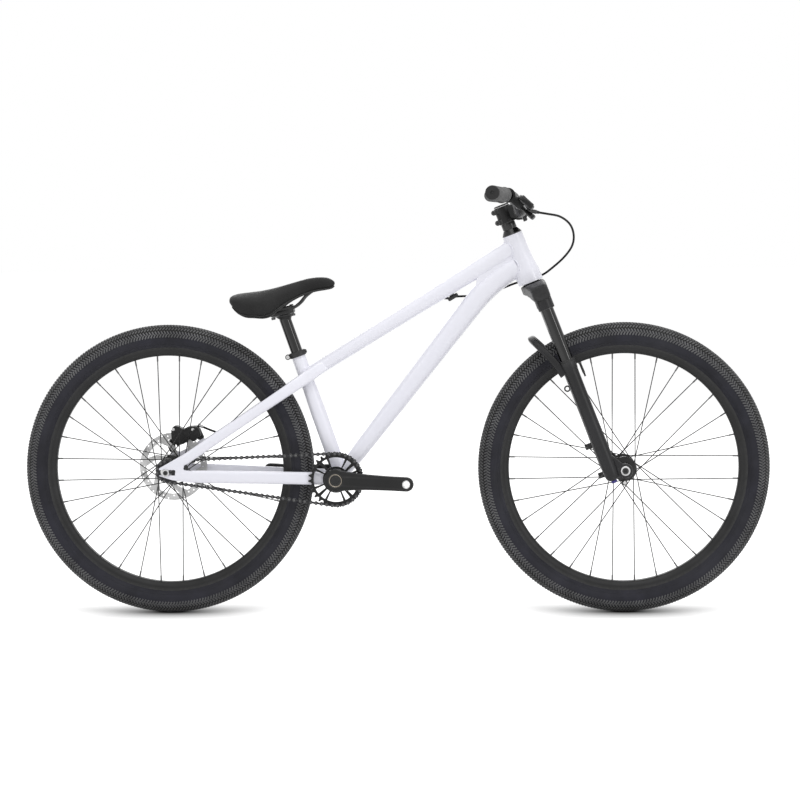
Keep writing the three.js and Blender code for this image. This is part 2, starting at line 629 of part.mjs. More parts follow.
function headTube() {
  const bottom = HEAD_TUBE_BOTTOM_DIAMETER / 2;
  const top = HEAD_TUBE_TOP_DIAMETER / 2;
  const bore = HEAD_TUBE_BORE_DIAMETER / 2;
  const lowerSeat = LOWER_BEARING_DIAMETER / 2 + GAP;
  const upperSeat = UPPER_BEARING_DIAMETER / 2 + GAP;
  const seatHeight = BEARING_HEIGHT + GAP;
  const waist = HEAD_TUBE_COLLAR + (HEAD_TUBE_LENGTH - HEAD_TUBE_COLLAR) * 0.45;
  const waistRadius = top + (bottom - top) * 0.2;
  const boreRadius = Math.min(bore, upperSeat) - GAP;
  return turnedUpright([
    [lowerSeat, 0], [bottom, 0], [bottom, HEAD_TUBE_COLLAR], [waistRadius, waist],
    [top, HEAD_TUBE_LENGTH], [upperSeat, HEAD_TUBE_LENGTH], [upperSeat, HEAD_TUBE_LENGTH - seatHeight],
    [boreRadius, HEAD_TUBE_LENGTH - seatHeight], [boreRadius, seatHeight], [lowerSeat, seatHeight],
    [lowerSeat, 0],
  ], HEAD_FACETS);
}

// The head tube without its bore and a gap larger, for cutting the tubes that meet it.
function headTubeCutter() {
  const bottom = HEAD_TUBE_BOTTOM_DIAMETER / 2 + GAP;
  const top = HEAD_TUBE_TOP_DIAMETER / 2 + GAP;
  const waist = HEAD_TUBE_COLLAR + (HEAD_TUBE_LENGTH - HEAD_TUBE_COLLAR) * 0.45;
  const waistRadius = top + (bottom - top) * 0.2;
  const end = HEAD_TUBE_LENGTH + OVERRUN;
  const shape = turnedUpright([
    [0, -OVERRUN], [bottom, -OVERRUN], [bottom, HEAD_TUBE_COLLAR], [waistRadius, waist], [top, end], [0, end],
  ], HEAD_FACETS);
  return shape.transform(STEERING_PLACE.elements);
}

// What lies ahead of the head tube's axis, which the tubes' ends never reach.
function aheadOfHeadTube() {
  const reach = HEAD_TUBE_LENGTH;
  const block = box(reach, reach, reach * 2, reach / 2, 0, reach / 2);
  return block.transform(STEERING_PLACE.elements);
}

function topTubeEnds() {
  return [seatTubePoint(TOP_TUBE_BELOW_SEAT_TOP), headTubePoint(HEAD_TUBE_LENGTH - TOP_TUBE_BELOW_HEAD_TOP)];
}

function topTubeStations() {
  const [rear, front] = topTubeEnds();
  return TOP_TUBE_STATION_SHARES.map((share, i) => ({
    at: rear.clone().lerp(front, share),
    wide: TOP_TUBE_WIDTH * TOP_TUBE_WIDTH_SHARES[i],
    deep: TOP_TUBE_DEPTH * TOP_TUBE_DEPTH_SHARES[i],
    square: 2.6,
  }));
}

function downTubeStations() {
  const foot = BB_CENTRE.clone().add(new THREE.Vector3(DOWN_TUBE_AHEAD_OF_BB, 0, 0));
  const along = new THREE.Vector3(Math.cos(DOWN_TUBE_SLOPE), 0, Math.sin(DOWN_TUBE_SLOPE));
  const bendStart = foot.clone().addScaledVector(along, DOWN_TUBE_STRAIGHT);
  const corner = bendStart.clone().addScaledVector(along, DOWN_TUBE_BEND);
  const joint = headTubePoint(DOWN_TUBE_HEAD_JOINT);
  const bend = new THREE.QuadraticBezierCurve3(bendStart, corner, joint);
  const straight = DOWN_TUBE_STATION_SHARES.map((share, i) => ({
    at: foot.clone().lerp(bendStart, share),
    wide: DOWN_TUBE_WIDTH * DOWN_TUBE_WIDTH_SHARES[i],
    deep: DOWN_TUBE_DEPTH * DOWN_TUBE_DEPTH_SHARES[i],
    square: 2.5,
  }));
  const bent = DOWN_TUBE_BEND_SHARES.map((share, i) => ({
    at: bend.getPoint(share),
    wide: DOWN_TUBE_WIDTH * 1.08,
    deep: DOWN_TUBE_DEPTH * DOWN_TUBE_BEND_DEPTH_SHARES[i],
    square: 2.5,
  }));
  return [...straight, ...bent];
}

function bbShellCutter() {
  const reach = BB_SHELL_WIDTH / 2 + OVERRUN;
  return barAlongY(BB_SHELL_DIAMETER + 2 * GAP, -reach, reach, BB_CENTRE.x, BB_CENTRE.z, HEAD_FACETS);
}

function seatTubeCutter() {
  const radius = SEAT_TUBE_TOP_DIAMETER / 2 + GAP;
  const foot = SEAT_TUBE_BOTTOM_DIAMETER / 2 + GAP;
  const shape = turnedUpright([
    [0, -SEAT_TUBE_LENGTH], [foot, -SEAT_TUBE_LENGTH], [radius, 0], [radius, OVERRUN], [0, OVERRUN],
  ]);
  return shape.transform(SEAT_PLACE.elements);
}

function behindSeatTube() {
  const reach = SEAT_TUBE_LENGTH / 2;
  const block = box(reach, reach, reach, -reach / 2, 0, -TOP_TUBE_BELOW_SEAT_TOP);
  return block.transform(SEAT_PLACE.elements);
}

function topTube() {
  const raw = loftedTube(topTubeStations());
  return cut(raw, headTubeCutter(), aheadOfHeadTube(), seatTubeCutter(), behindSeatTube());
}

function downTube() {
  const raw = loftedTube(downTubeStations());
  const clearOfTopTube = loftedTube(topTubeStations(), TUBE_SIDES, GAP);
  return cut(raw, headTubeCutter(), aheadOfHeadTube(), bbShellCutter(), clearOfTopTube, belowBottomBracket());
}

// What lies behind and below the bottom bracket's axis, seen along the down tube.
function belowBottomBracket() {
  const reach = BB_SHELL_DIAMETER * 2;
  const block = box(reach, reach, reach, -reach / 2, 0, 0);
  const place = new THREE.Matrix4().makeRotationY(-DOWN_TUBE_SLOPE).setPosition(BB_CENTRE);
  return block.transform(place.elements);
}

function seatTube() {
  const top = SEAT_TUBE_TOP_DIAMETER / 2;
  const bottom = SEAT_TUBE_BOTTOM_DIAMETER / 2;
  const bore = SEATPOST_DIAMETER / 2 + GAP;
  const raw = turnedUpright([
    [0, -SEAT_TUBE_LENGTH], [bottom, -SEAT_TUBE_LENGTH], [top, -TOP_TUBE_BELOW_SEAT_TOP * 2], [top, 0],
    [bore, 0], [bore, -SEATPOST_BORE_DEPTH], [0, -SEATPOST_BORE_DEPTH],
  ]).transform(SEAT_PLACE.elements);
  const clearOfDownTube = loftedTube(downTubeStations(), TUBE_SIDES, GAP);
  return cut(raw, bbShellCutter(), clearOfDownTube);
}

function bottomBracketShell() {
  const half = BB_SHELL_WIDTH / 2;
  return turned(ringProfile(BB_BORE_DIAMETER, BB_SHELL_DIAMETER, -half, half), HEAD_FACETS);
}

// The chainstays and seatstays run from a flat end on the dropout to the frame's middle.
function chainstayStations(side) {
  const rear = REAR_AXLE.clone().add(new THREE.Vector3(CHAINSTAY_REAR_REACH, 0, -CHAINSTAY_REAR_BELOW_AXLE));
  const front = BB_CENTRE.clone().add(new THREE.Vector3(-CHAINSTAY_FRONT_REACH, 0, 0));
  return CHAINSTAY_STATION_SHARES.map((share, i) => {
    const at = rear.clone().lerp(front, share);
    at.y = side * CHAINSTAY_HALF_SPREAD * CHAINSTAY_SPREAD_SHARES[i];
    return { at, wide: CHAINSTAY_WIDTH * CHAINSTAY_WIDTH_SHARES[i], deep: CHAINSTAY_DEPTH, square: 3.4 };
  });
}

function chainstay(side) {
  const raw = loftedTube(chainstayStations(side), STAY_SIDES);
  const clearOfSeatTube = seatTubeCutter();
  return cut(raw, bbShellCutter(), clearOfSeatTube, dropoutCutter(side));
}

function seatstayEnds() {
  const rear = REAR_AXLE.clone().add(new THREE.Vector3(SEATSTAY_REAR_REACH, 0, SEATSTAY_REAR_ABOVE_AXLE));
  const [low, high] = topTubeEnds();
  const front = low.clone().lerp(high, SEATSTAY_JOINT_SHARE);
  front.z -= SEATSTAY_BELOW_TOP_TUBE;
  return [rear, front];
}

function seatstayStations(side) {
  const [rear, front] = seatstayEnds();
  return SEATSTAY_STATION_SHARES.map((share, i) => {
    const at = rear.clone().lerp(front, share);
    at.y = side * SEATSTAY_HALF_SPREAD * SEATSTAY_SPREAD_SHARES[i];
    const wide = SEATSTAY_WIDTH * SEATSTAY_WIDTH_SHARES[i];
    return { at, wide, deep: SEATSTAY_DEPTH * SEATSTAY_DEPTH_SHARES[i], square: 3 };
  });
}

function seatstay(side) {
  const raw = loftedTube(seatstayStations(side), STAY_SIDES);
  const clearOfTopTube = loftedTube(topTubeStations(), TUBE_SIDES, GAP);
  return cut(raw, seatTubeCutter(), clearOfTopTube, dropoutCutter(side));
}

// The dropout's outline in x, z round the rear axle. The stays butt against its two front edges.
function dropoutOutline(grow = 0) {
  const halfSlot = DROPOUT_SLOT_HEIGHT / 2;
  const seatstayFoot = [SEATSTAY_REAR_REACH, SEATSTAY_REAR_ABOVE_AXLE];
  const [rear, front] = seatstayEnds();
  const rise = Math.atan2(front.z - rear.z, front.x - rear.x);
  const halfStay = SEATSTAY_DEPTH / 2;
  const topCorner = [
    seatstayFoot[0] - Math.sin(rise) * halfStay + grow,
    seatstayFoot[1] + Math.cos(rise) * halfStay + grow,
  ];
  const crotch = [
    seatstayFoot[0] + Math.sin(rise) * halfStay + grow,
    seatstayFoot[1] - Math.cos(rise) * halfStay,
  ];
  const stayTop = [CHAINSTAY_REAR_REACH + grow, -CHAINSTAY_REAR_BELOW_AXLE + CHAINSTAY_DEPTH / 2];
  const stayBottom = [CHAINSTAY_REAR_REACH + grow, -CHAINSTAY_REAR_BELOW_AXLE - CHAINSTAY_DEPTH / 2 - grow];
  const tailTop = [-DROPOUT_TAIL, DROPOUT_TAIL_RISE];
  const tailBottom = [-DROPOUT_TAIL, -DROPOUT_TAIL_DROP];
  const keel = [DROPOUT_SLOT_REACH * 0.6, -CHAINSTAY_REAR_BELOW_AXLE - DROPOUT_TAIL_DROP - grow];
  return [
    tailTop, [-DROPOUT_TAIL, halfSlot], [DROPOUT_SLOT_REACH, halfSlot], [DROPOUT_SLOT_REACH, -halfSlot],
    [-DROPOUT_TAIL, -halfSlot], tailBottom, keel, stayBottom, stayTop, crotch, topCorner,
  ].map(([x, z]) => [REAR_AXLE.x + x, REAR_AXLE.z + z]);
}

function dropoutFaces(side) {
  const inner = DROPOUT_SPACING / 2;
  return [side * inner, side * (inner + DROPOUT_THICKNESS)];
}

function dropout(side) {
  const [inner, outer] = dropoutFaces(side);
  return plate(dropoutOutline(), inner, outer);
}

function dropoutCutter(side) {
  const [inner, outer] = dropoutFaces(side);
  return plate(dropoutOutline(GAP), inner - side * OVERRUN * 2, outer + side * OVERRUN * 2);
}

// A block in the slot, with the screw that pushes the axle back.
function chainTensioner(side) {
  const [inner, outer] = dropoutFaces(side);
  const halfSlot = DROPOUT_SLOT_HEIGHT / 2 - GAP;
  const front = REAR_AXLE.x + DROPOUT_SLOT_REACH - GAP;
  const back = front - TENSIONER_LENGTH;
  const outline = [
    [back, REAR_AXLE.z - halfSlot], [front, REAR_AXLE.z - halfSlot],
    [front, REAR_AXLE.z + halfSlot], [back, REAR_AXLE.z + halfSlot],
  ];
  const block = plate(outline, inner, outer);
  const middle = (inner + outer) / 2;
  const tip = REAR_AXLE.x + REAR_AXLE_DIAMETER / 2 + GAP * 2;
  const screw = barBetween(
    new THREE.Vector3(tip, middle, REAR_AXLE.z),
    new THREE.Vector3(back + OVERRUN / 2, middle, REAR_AXLE.z),
    TENSIONER_SCREW_DIAMETER,
    8,
  );
  return joined(block, screw);
}

// The collar that pinches the seatpost, with ears and a cross bolt behind it.
function seatClamp() {
  const tube = SEAT_TUBE_TOP_DIAMETER / 2 + GAP;
  const post = SEATPOST_DIAMETER / 2 + GAP;
  const outer = tube + SEAT_CLAMP_WALL;
  const low = SEAT_CLAMP_LIP - SEAT_CLAMP_HEIGHT;
  const collar = turnedUpright([
    [tube, low], [outer, low], [outer, SEAT_CLAMP_LIP], [post, SEAT_CLAMP_LIP],
    [post, GAP], [tube, GAP], [tube, low],
  ]);
  const earX = -outer - SEAT_CLAMP_EAR_LENGTH / 3;
  const earZ = low + SEAT_CLAMP_HEIGHT / 2;
  const ear = box(SEAT_CLAMP_EAR_LENGTH, SEAT_CLAMP_EAR_WIDTH, SEAT_CLAMP_HEIGHT, earX, 0, earZ);
  const boltHalf = SEAT_CLAMP_EAR_WIDTH / 2 + SEAT_CLAMP_BOLT_DIAMETER / 2;
  const bolt = barAlongY(SEAT_CLAMP_BOLT_DIAMETER * 1.6, -boltHalf, boltHalf, earX, earZ, SMALL_FACETS);
  const room = barAlongZ(tube * 2, low - OVERRUN, GAP);
  const postRoom = barAlongZ(post * 2, low - OVERRUN, SEAT_CLAMP_LIP + OVERRUN);
  return joined(collar, cut(joined(ear, bolt), room, postRoom));
}

// Headset: two bearings in the head tube, a cover and a spacer on top, and the crown race below.
function headsetBearing(diameter, boreDiameter, low) {
  return turnedUpright(ringProfile(boreDiameter, diameter, low, low + BEARING_HEIGHT), HEAD_FACETS);
}

function headsetCover() {
  const low = HEAD_TUBE_LENGTH + GAP;
  const high = low + HEADSET_COVER_HEIGHT;
  const bore = STEERER_DIAMETER / 2 + GAP;
  const foot = HEAD_TUBE_TOP_DIAMETER / 2;
  const lip = HEADSET_COVER_HEIGHT / 6;
  return turnedUpright([
    [bore, low], [foot, low], [foot, low + lip],
    [HEADSET_COVER_TOP_DIAMETER / 2, high], [bore, high], [bore, low],
  ]);
}

function headsetSpacer() {
  const low = stemBottom() - GAP - HEADSET_SPACER_HEIGHT;
  const high = low + HEADSET_SPACER_HEIGHT;
  return turnedUpright(ringProfile(STEERER_DIAMETER + 2 * GAP, HEADSET_COVER_TOP_DIAMETER, low, high));
}

function stemBottom() {
  return HEAD_TUBE_LENGTH + HEADSET_COVER_HEIGHT + HEADSET_SPACER_HEIGHT + 3 * GAP;
}

function stemTop() {
  return stemBottom() + STEM_CLAMP_HEIGHT;
}

// Bottom bracket: threaded cups, each with its bearing pressed in.
function bottomBracketCup(side) {
  const face = BB_SHELL_WIDTH / 2 + GAP;
  const outer = face + BB_CUP_FLANGE;
  const sleeve = BB_BORE_DIAMETER / 2 - GAP;
  const bore = SPINDLE_DIAMETER / 2 + GAP;
  const seal = BB_BEARING_DIAMETER / 2;
  const profile = [
    [bore, face - BB_CUP_INSERTION], [sleeve, face - BB_CUP_INSERTION], [sleeve, face],
    [BB_CUP_DIAMETER / 2, face], [BB_CUP_DIAMETER / 2, outer],
    [seal, outer], [seal, outer - GAP * 3], [bore, outer - GAP * 3], [bore, face - BB_CUP_INSERTION],
  ];
  return turned(profile.map(([radius, y]) => [radius, side * y]), HEAD_FACETS);
}

// Cranks, in the bottom bracket's frame. The right arm points forward and the left arm back.
function crankInnerFace() {
  return CHAIN_LINE + SPROCKET_THICKNESS / 2 + GAP;
}

function crankBossFace() {
  return crankInnerFace() + CRANK_BOSS_THICKNESS;
}

function crankArm(side) {
  const forward = -side;
  const slope = Math.sin(CRANK_SLOPE) * forward;
  const tip = new THREE.Vector3(forward * CRANK_LENGTH * Math.cos(CRANK_SLOPE), 0, CRANK_LENGTH * slope);
  const bossMiddle = crankBossFace() - CRANK_ARM_THICKNESS / 2;
  const tipMiddle = CRANK_TIP_FACE - CRANK_ARM_THICKNESS / 2;
  const widthShares = [1.3, 1.12, 1, 0.95, 0.94];
  const stations = [0.04, 0.25, 0.45, 0.75, 1].map((share, i) => {
    const at = tip.clone().multiplyScalar(share);
    at.y = side * (bossMiddle + (tipMiddle - bossMiddle) * share);
    return { at, wide: CRANK_ARM_THICKNESS, deep: CRANK_ARM_WIDTH * widthShares[i], square: 3.2 };
  });
  const arm = loftedTube(stations, STAY_SIDES);
  const boss = barAlongY(CRANK_BOSS_DIAMETER, side * crankInnerFace(), side * crankBossFace());
  const tipInner = CRANK_TIP_FACE - CRANK_ARM_THICKNESS;
  const tipBoss = barAlongY(CRANK_TIP_DIAMETER, side * tipInner, side * CRANK_TIP_FACE, tip.x, tip.z);
  const holeEnds = [side * (tipInner - OVERRUN), side * (CRANK_TIP_FACE + OVERRUN)];
  const hole = barAlongY(PEDAL_HOLE_DIAMETER, ...holeEnds, tip.x, tip.z);
  const spindleHole = barAlongY(
    SPINDLE_DIAMETER + 2 * GAP, side * (crankInnerFace() - OVERRUN), side * (crankBossFace() + OVERRUN),
  );
  const recess = barAlongY(
    CRANK_CAP_DIAMETER, side * (crankBossFace() - CRANK_CAP_THICKNESS), side * (crankBossFace() + OVERRUN),
  );
  return cut(joined(arm, boss, tipBoss), hole, spindleHole, recess);
}

// The spindle, with the caps that hold both arms on.
function crankSpindle() {
  const half = crankBossFace() - CRANK_CAP_THICKNESS;
  const caps = [-1, 1].map((side) => barAlongY(
    CRANK_CAP_DIAMETER - 2 * GAP, side * (half + GAP), side * crankBossFace(),
  ));
  const sockets = [-1, 1].map((side) => barAlongY(
    CRANK_SOCKET_DIAMETER, side * (half - CRANK_CAP_THICKNESS), side * (crankBossFace() + OVERRUN),
  ));
  return cut(joined(barAlongY(SPINDLE_DIAMETER, -half - GAP * 2, half + GAP * 2), ...caps), ...sockets);
}

// The drive. Every pitch circle is measured along its arc, so that links and teeth keep step.
function pitchRadius(teeth) {
  return teeth * CHAIN_PITCH / TURN;
}

const RING_RADIUS = pitchRadius(RING_TEETH);
const COG_RADIUS = pitchRadius(COG_TEETH);
const CHAIN_LEAN = Math.asin((RING_RADIUS - COG_RADIUS) / CHAINSTAY_LENGTH);
const RING_HALF_WRAP = RING_RADIUS * (QUARTER + CHAIN_LEAN);
const CHAIN_RUN = CHAINSTAY_LENGTH * Math.cos(CHAIN_LEAN);
const COG_WRAP = COG_RADIUS * (Math.PI - 2 * CHAIN_LEAN);
const CHAIN_LENGTH = 2 * RING_HALF_WRAP + 2 * CHAIN_RUN + COG_WRAP;
const CHAIN_LINKS = Math.round(CHAIN_LENGTH / CHAIN_PITCH);
const CHAIN_STEP = CHAIN_LENGTH / CHAIN_LINKS;
const DRIVE_ANGLE = Math.atan2(BB_CENTRE.z - REAR_AXLE.z, BB_CENTRE.x - REAR_AXLE.x);

// A point beside the chain's pitch line, at a distance along it from the chainring's front.
function chainPoint(distance, outward) {
  const s = ((distance % CHAIN_LENGTH) + CHAIN_LENGTH) % CHAIN_LENGTH;
  const wrap = QUARTER + CHAIN_LEAN;
  const onCircle = (centre, radius, angle) => [
    centre.x + (radius + outward) * Math.cos(DRIVE_ANGLE + angle),
    centre.z + (radius + outward) * Math.sin(DRIVE_ANGLE + angle),
  ];
  const between = (a, b, share) => [a[0] + (b[0] - a[0]) * share, a[1] + (b[1] - a[1]) * share];
  const upperEnd = RING_HALF_WRAP + CHAIN_RUN;
  const cogEnd = upperEnd + COG_WRAP;
  const lowerEnd = cogEnd + CHAIN_RUN;
  if (s <= RING_HALF_WRAP) return onCircle(BB_CENTRE, RING_RADIUS, s / RING_RADIUS);
  if (s <= upperEnd) {
    const share = (s - RING_HALF_WRAP) / CHAIN_RUN;
    return between(onCircle(BB_CENTRE, RING_RADIUS, wrap), onCircle(REAR_AXLE, COG_RADIUS, wrap), share);
  }
  if (s <= cogEnd) return onCircle(REAR_AXLE, COG_RADIUS, wrap + (s - upperEnd) / COG_RADIUS);
  if (s <= lowerEnd) {
    const share = (s - cogEnd) / CHAIN_RUN;
    return between(onCircle(REAR_AXLE, COG_RADIUS, -wrap), onCircle(BB_CENTRE, RING_RADIUS, -wrap), share);
  }
  return onCircle(BB_CENTRE, RING_RADIUS, (s - CHAIN_LENGTH) / RING_RADIUS);
}

// Two bands of side plates, held together by a roller at every fourth pin.
function chain() {
  const pins = Array.from({ length: CHAIN_LINKS }, (unused, i) => i * CHAIN_STEP);
  const upperEnd = RING_HALF_WRAP + CHAIN_RUN;
  const onStraight = (s) => {
    const upper = s > RING_HALF_WRAP + CHAIN_STEP && s < upperEnd - CHAIN_STEP;
    const lower = s > upperEnd + COG_WRAP + CHAIN_STEP && s < CHAIN_LENGTH - RING_HALF_WRAP - CHAIN_STEP;
    return upper || lower;
  };
  const corners = pins.filter((s) => !onStraight(s));
  const outside = corners.map((s) => chainPoint(s, CHAIN_PLATE_HEIGHT / 2));
  const inside = corners.map((s) => chainPoint(s, -CHAIN_PLATE_HEIGHT / 2));
  const innerFace = CHAIN_INNER_WIDTH / 2;
  const outerFace = innerFace + CHAIN_PLATE_THICKNESS;
  const bands = [-1, 1].map((side) => plate(
    outside, -CHAIN_LINE + side * innerFace, -CHAIN_LINE + side * outerFace, [inside],
  ));
  const reach = innerFace + CHAIN_PLATE_THICKNESS / 2;
  const rollers = pins.filter((unused, i) => i % 4 === 0).map((s) => {
    const [x, z] = chainPoint(s, 0);
    return barAlongY(ROLLER_DIAMETER, -CHAIN_LINE - reach, -CHAIN_LINE + reach, x, z, 4);
  });
  return wasm.Manifold.union([...bands, ...rollers]);
}

// A toothed outline round a centre, with a gap between teeth at the given angle.
function toothedOutline(teeth, radius, gapAngle) {
  const tip = radius + TOOTH_HEIGHT;
  const root = radius - ROLLER_DIAMETER / 2 - GAP;
  const toothAngle = TURN / teeth;
  const outline = [];
  for (let i = 0; i < teeth; i += 1) {
    const middle = gapAngle + (i + 0.5) * toothAngle;
    const foot = toothAngle * TOOTH_ROOT_SHARE / 2;
    [[root, -foot], [tip, 0], [root, foot]].forEach(([r, turn]) => {
      outline.push([r * Math.cos(middle + turn), r * Math.sin(middle + turn)]);
    });
  }
  return outline;
}

function circleOutline(diameter, count) {
  return Array.from({ length: count }, (unused, i) => [
    diameter / 2 * Math.cos(i * TURN / count),
    diameter / 2 * Math.sin(i * TURN / count),
  ]);
}

function windowOutline(inner, outer, start, end, steps) {
  const arc = (radius, from, to) => Array.from({ length: steps + 1 }, (unused, i) => {
    const angle = from + (to - from) * i / steps;
    return [radius * Math.cos(angle), radius * Math.sin(angle)];
  });
  return [...arc(outer, start, end), ...arc(inner, end, start)];
}

function chainring() {
  const windows = [0, 1, 2, 3].flatMap((quarter) => {
    const middle = quarter * QUARTER + CRANK_SLOPE;
    const wideEnds = [middle - RING_WIDE_WINDOW, middle + RING_WIDE_WINDOW];
    const wide = windowOutline(RING_BOSS_RADIUS, RING_WINDOW_RADIUS, ...wideEnds, 3);
    const narrow = [1, -1].map((hand) => {
      const from = middle + hand * RING_NARROW_WINDOW_START;
      const to = middle + hand * RING_NARROW_WINDOW_END;
      const ends = [Math.min(from, to), Math.max(from, to)];
      return windowOutline(RING_BOSS_RADIUS, RING_WINDOW_RADIUS, ...ends, 1);
    });
    return [wide, ...narrow];
  });
  const outline = toothedOutline(RING_TEETH, RING_RADIUS, DRIVE_ANGLE);
  const half = SPROCKET_THICKNESS / 2;
  const disc = plate(outline, -CHAIN_LINE - half, -CHAIN_LINE + half, windows);
  const bore = barAlongY(RING_BORE_DIAMETER, -CHAIN_LINE - OVERRUN, -CHAIN_LINE + OVERRUN);
  return cut(disc, bore);
}

// The cog meets the chain with a gap or a tooth at its back, as the number of links is even or odd.
function cog() {
  const gapAngle = DRIVE_ANGLE + Math.PI + (CHAIN_LINKS / 2) * TURN / COG_TEETH;
  const outline = toothedOutline(COG_TEETH, COG_RADIUS, gapAngle);
  const half = SPROCKET_THICKNESS / 2;
  const disc = plate(outline, -CHAIN_LINE - half, -CHAIN_LINE + half);
  const bore = barAlongY(COG_BORE_DIAMETER, -CHAIN_LINE - OVERRUN, -CHAIN_LINE + OVERRUN);
  return cut(disc, bore);
}

// Wheels, round Y at their axle

function tyre() {
  const outer = WHEEL_RADIUS;
  const wall = TYRE_WALL;
  const half = TYRE_WIDTH / 2;
  const bead = outer - TYRE_HEIGHT;
  const beadHalf = RIM_WIDTH / 2;
  const bulge = outer - half;
  const shoulder = outer - half * 0.28;
  const left = [
    [bead, beadHalf - wall], [bead, beadHalf], [bulge, half], [shoulder, half * 0.8],
    [outer, half * 0.35],
  ];
  const mirrored = left.slice().reverse().map(([radius, y]) => [radius, -y]);
  const lining = [[bulge, wall - half], [outer - 2 * wall, 0], [bulge, half - wall]];
  return turned([...left, ...mirrored, ...lining, left[0]], WHEEL_FACETS);
}

// A flat-sided ring is nearer to its axis between its corners than at them.
function flatsOf(radius, facets) {
  return radius * Math.cos(Math.PI / facets);
}

function rim() {
  const inner = RIM_INNER_DIAMETER / 2;
  const half = RIM_WIDTH / 2;
  const floor = inner + RIM_FLOOR;
  const top = flatsOf(WHEEL_RADIUS - TYRE_HEIGHT, WHEEL_FACETS) - GAP;
  const edge = half * RIM_EDGE_SHARE;
  const ring = turned([
    [inner, -edge], [inner, edge], [floor, half], [top, half], [top, edge], [floor, 0],
    [top, -edge], [top, -half], [floor, -half], [inner, -edge],
  ], WHEEL_FACETS);
  const halfStep = new THREE.Matrix4().makeRotationY(Math.PI / WHEEL_FACETS);
  return ring.transform(halfStep.elements);
}

// Spokes crossing three others, each from the hub flange to the rim.
function spokes(flangeRight, flangeLeft) {
  const rimEnd = RIM_INNER_DIAMETER / 2 - 2 * GAP;
  const crossing = SPOKE_CROSS_SPACINGS * 2 * TURN / SPOKE_COUNT;
  return Array.from({ length: SPOKE_COUNT }, (unused, i) => {
    const rimAngle = (i + 0.5) * TURN / SPOKE_COUNT;
    const side = i % 2 === 0 ? -1 : 1;
    const hand = i % 4 < 2 ? 1 : -1;
    const hubAngle = rimAngle + hand * crossing;
    const flange = side < 0 ? -flangeRight : flangeLeft;
    const lacing = hand * SPOKE_LACING;
    const from = new THREE.Vector3(
      SPOKE_CIRCLE_RADIUS * Math.sin(hubAngle), flange + lacing, SPOKE_CIRCLE_RADIUS * Math.cos(hubAngle),
    );
    const to = new THREE.Vector3(
      rimEnd * Math.sin(rimAngle), side * SPOKE_RIM_OFFSET + lacing, rimEnd * Math.cos(rimAngle),
    );
    return barBetween(from, to, SPOKE_DIAMETER, 3);
  });
}

function flangeProfile(y, barrelDiameter) {
  const half = HUB_FLANGE_THICKNESS / 2;
  const barrel = barrelDiameter / 2;
  const flange = HUB_FLANGE_DIAMETER / 2;
  return [[barrel, y - half * 1.6], [flange, y - half], [flange, y + half], [barrel, y + half * 1.6]];
}

// A hub shell, hollow between the bearings at its two ends.
function hubShell(rightEnd, leftEnd, outside, axleDiameter) {
  const bore = axleDiameter / 2 + GAP;
  const hollow = bore + HUB_HOLLOW_DEPTH;
  return turned([
    [bore, -rightEnd], ...outside, [bore, leftEnd], [bore, leftEnd - HUB_BEARING_WIDTH],
    [hollow, leftEnd - HUB_BEARING_WIDTH], [hollow, HUB_BEARING_WIDTH - rightEnd],
    [bore, HUB_BEARING_WIDTH - rightEnd], [bore, -rightEnd],
  ], HUB_FACETS);
}

function frontHubHalf() {
  return FRONT_DROPOUT_SPACING / 2 - GAP;
}

function frontHub() {
  const end = frontHubHalf();
  const barrel = FRONT_HUB_BARREL_DIAMETER;
  const flanges = [-FRONT_FLANGE_OFFSET, FRONT_FLANGE_OFFSET].flatMap((y) => flangeProfile(y, barrel));
  const shell = hubShell(end, end, [[barrel / 2, -end], ...flanges, [barrel / 2, end]], FRONT_AXLE_DIAMETER);
  return wasm.Manifold.union([shell, ...spokes(FRONT_FLANGE_OFFSET, FRONT_FLANGE_OFFSET)]);
}

function rearHub() {
  const barrel = REAR_HUB_BARREL_DIAMETER;
  const flanges = [-REAR_FLANGE_RIGHT, REAR_FLANGE_LEFT].flatMap((y) => flangeProfile(y, barrel));
  const seat = HUB_ROTOR_FLANGE_DIAMETER / 2;
  const seatBack = HUB_ROTOR_SEAT - HUB_ROTOR_FLANGE_THICKNESS;
  const outside = [
    [barrel / 2, -REAR_HUB_RIGHT_END], ...flanges,
    [barrel / 2, seatBack - GAP * 3], [seat, seatBack], [seat, HUB_ROTOR_SEAT],
  ];
  const shell = hubShell(REAR_HUB_RIGHT_END, HUB_ROTOR_SEAT, outside, REAR_AXLE_DIAMETER);
  return wasm.Manifold.union([shell, ...spokes(REAR_FLANGE_RIGHT, REAR_FLANGE_LEFT)]);
}

// The freewheel body that carries the cog on the hub's right end.
function freewheelBody() {
  const inner = -REAR_HUB_RIGHT_END - GAP;
  const outer = -CHAIN_LINE - SPROCKET_THICKNESS / 2 - OVERRUN;
  return turned(ringProfile(REAR_AXLE_DIAMETER + 4 * GAP, COG_BORE_DIAMETER - 2 * GAP, inner, outer));
}

function rearAxle() {
  const face = DROPOUT_SPACING / 2 + DROPOUT_THICKNESS + GAP;
  const end = face + REAR_AXLE_NUT_THICKNESS;
  const shaft = barAlongY(REAR_AXLE_DIAMETER, -end, end);
  const inner = DROPOUT_SPACING / 2 - GAP;
  const sides = [-1, 1];
  const nuts = sides.map((side) => barAlongY(REAR_AXLE_NUT_DIAMETER, side * face, side * end));
  const heads = sides.map((side) => barAlongY(
    REAR_AXLE_BOLT_DIAMETER, side * end, side * (end + GAP * 6), 0, 0, 6,
  ));
  const lockNuts = sides.map((side) => barAlongY(
    REAR_AXLE_NUT_DIAMETER, side * inner, side * (inner - REAR_AXLE_NUT_THICKNESS),
  ));
  return joined(shaft, ...nuts, ...heads, ...lockNuts);
}

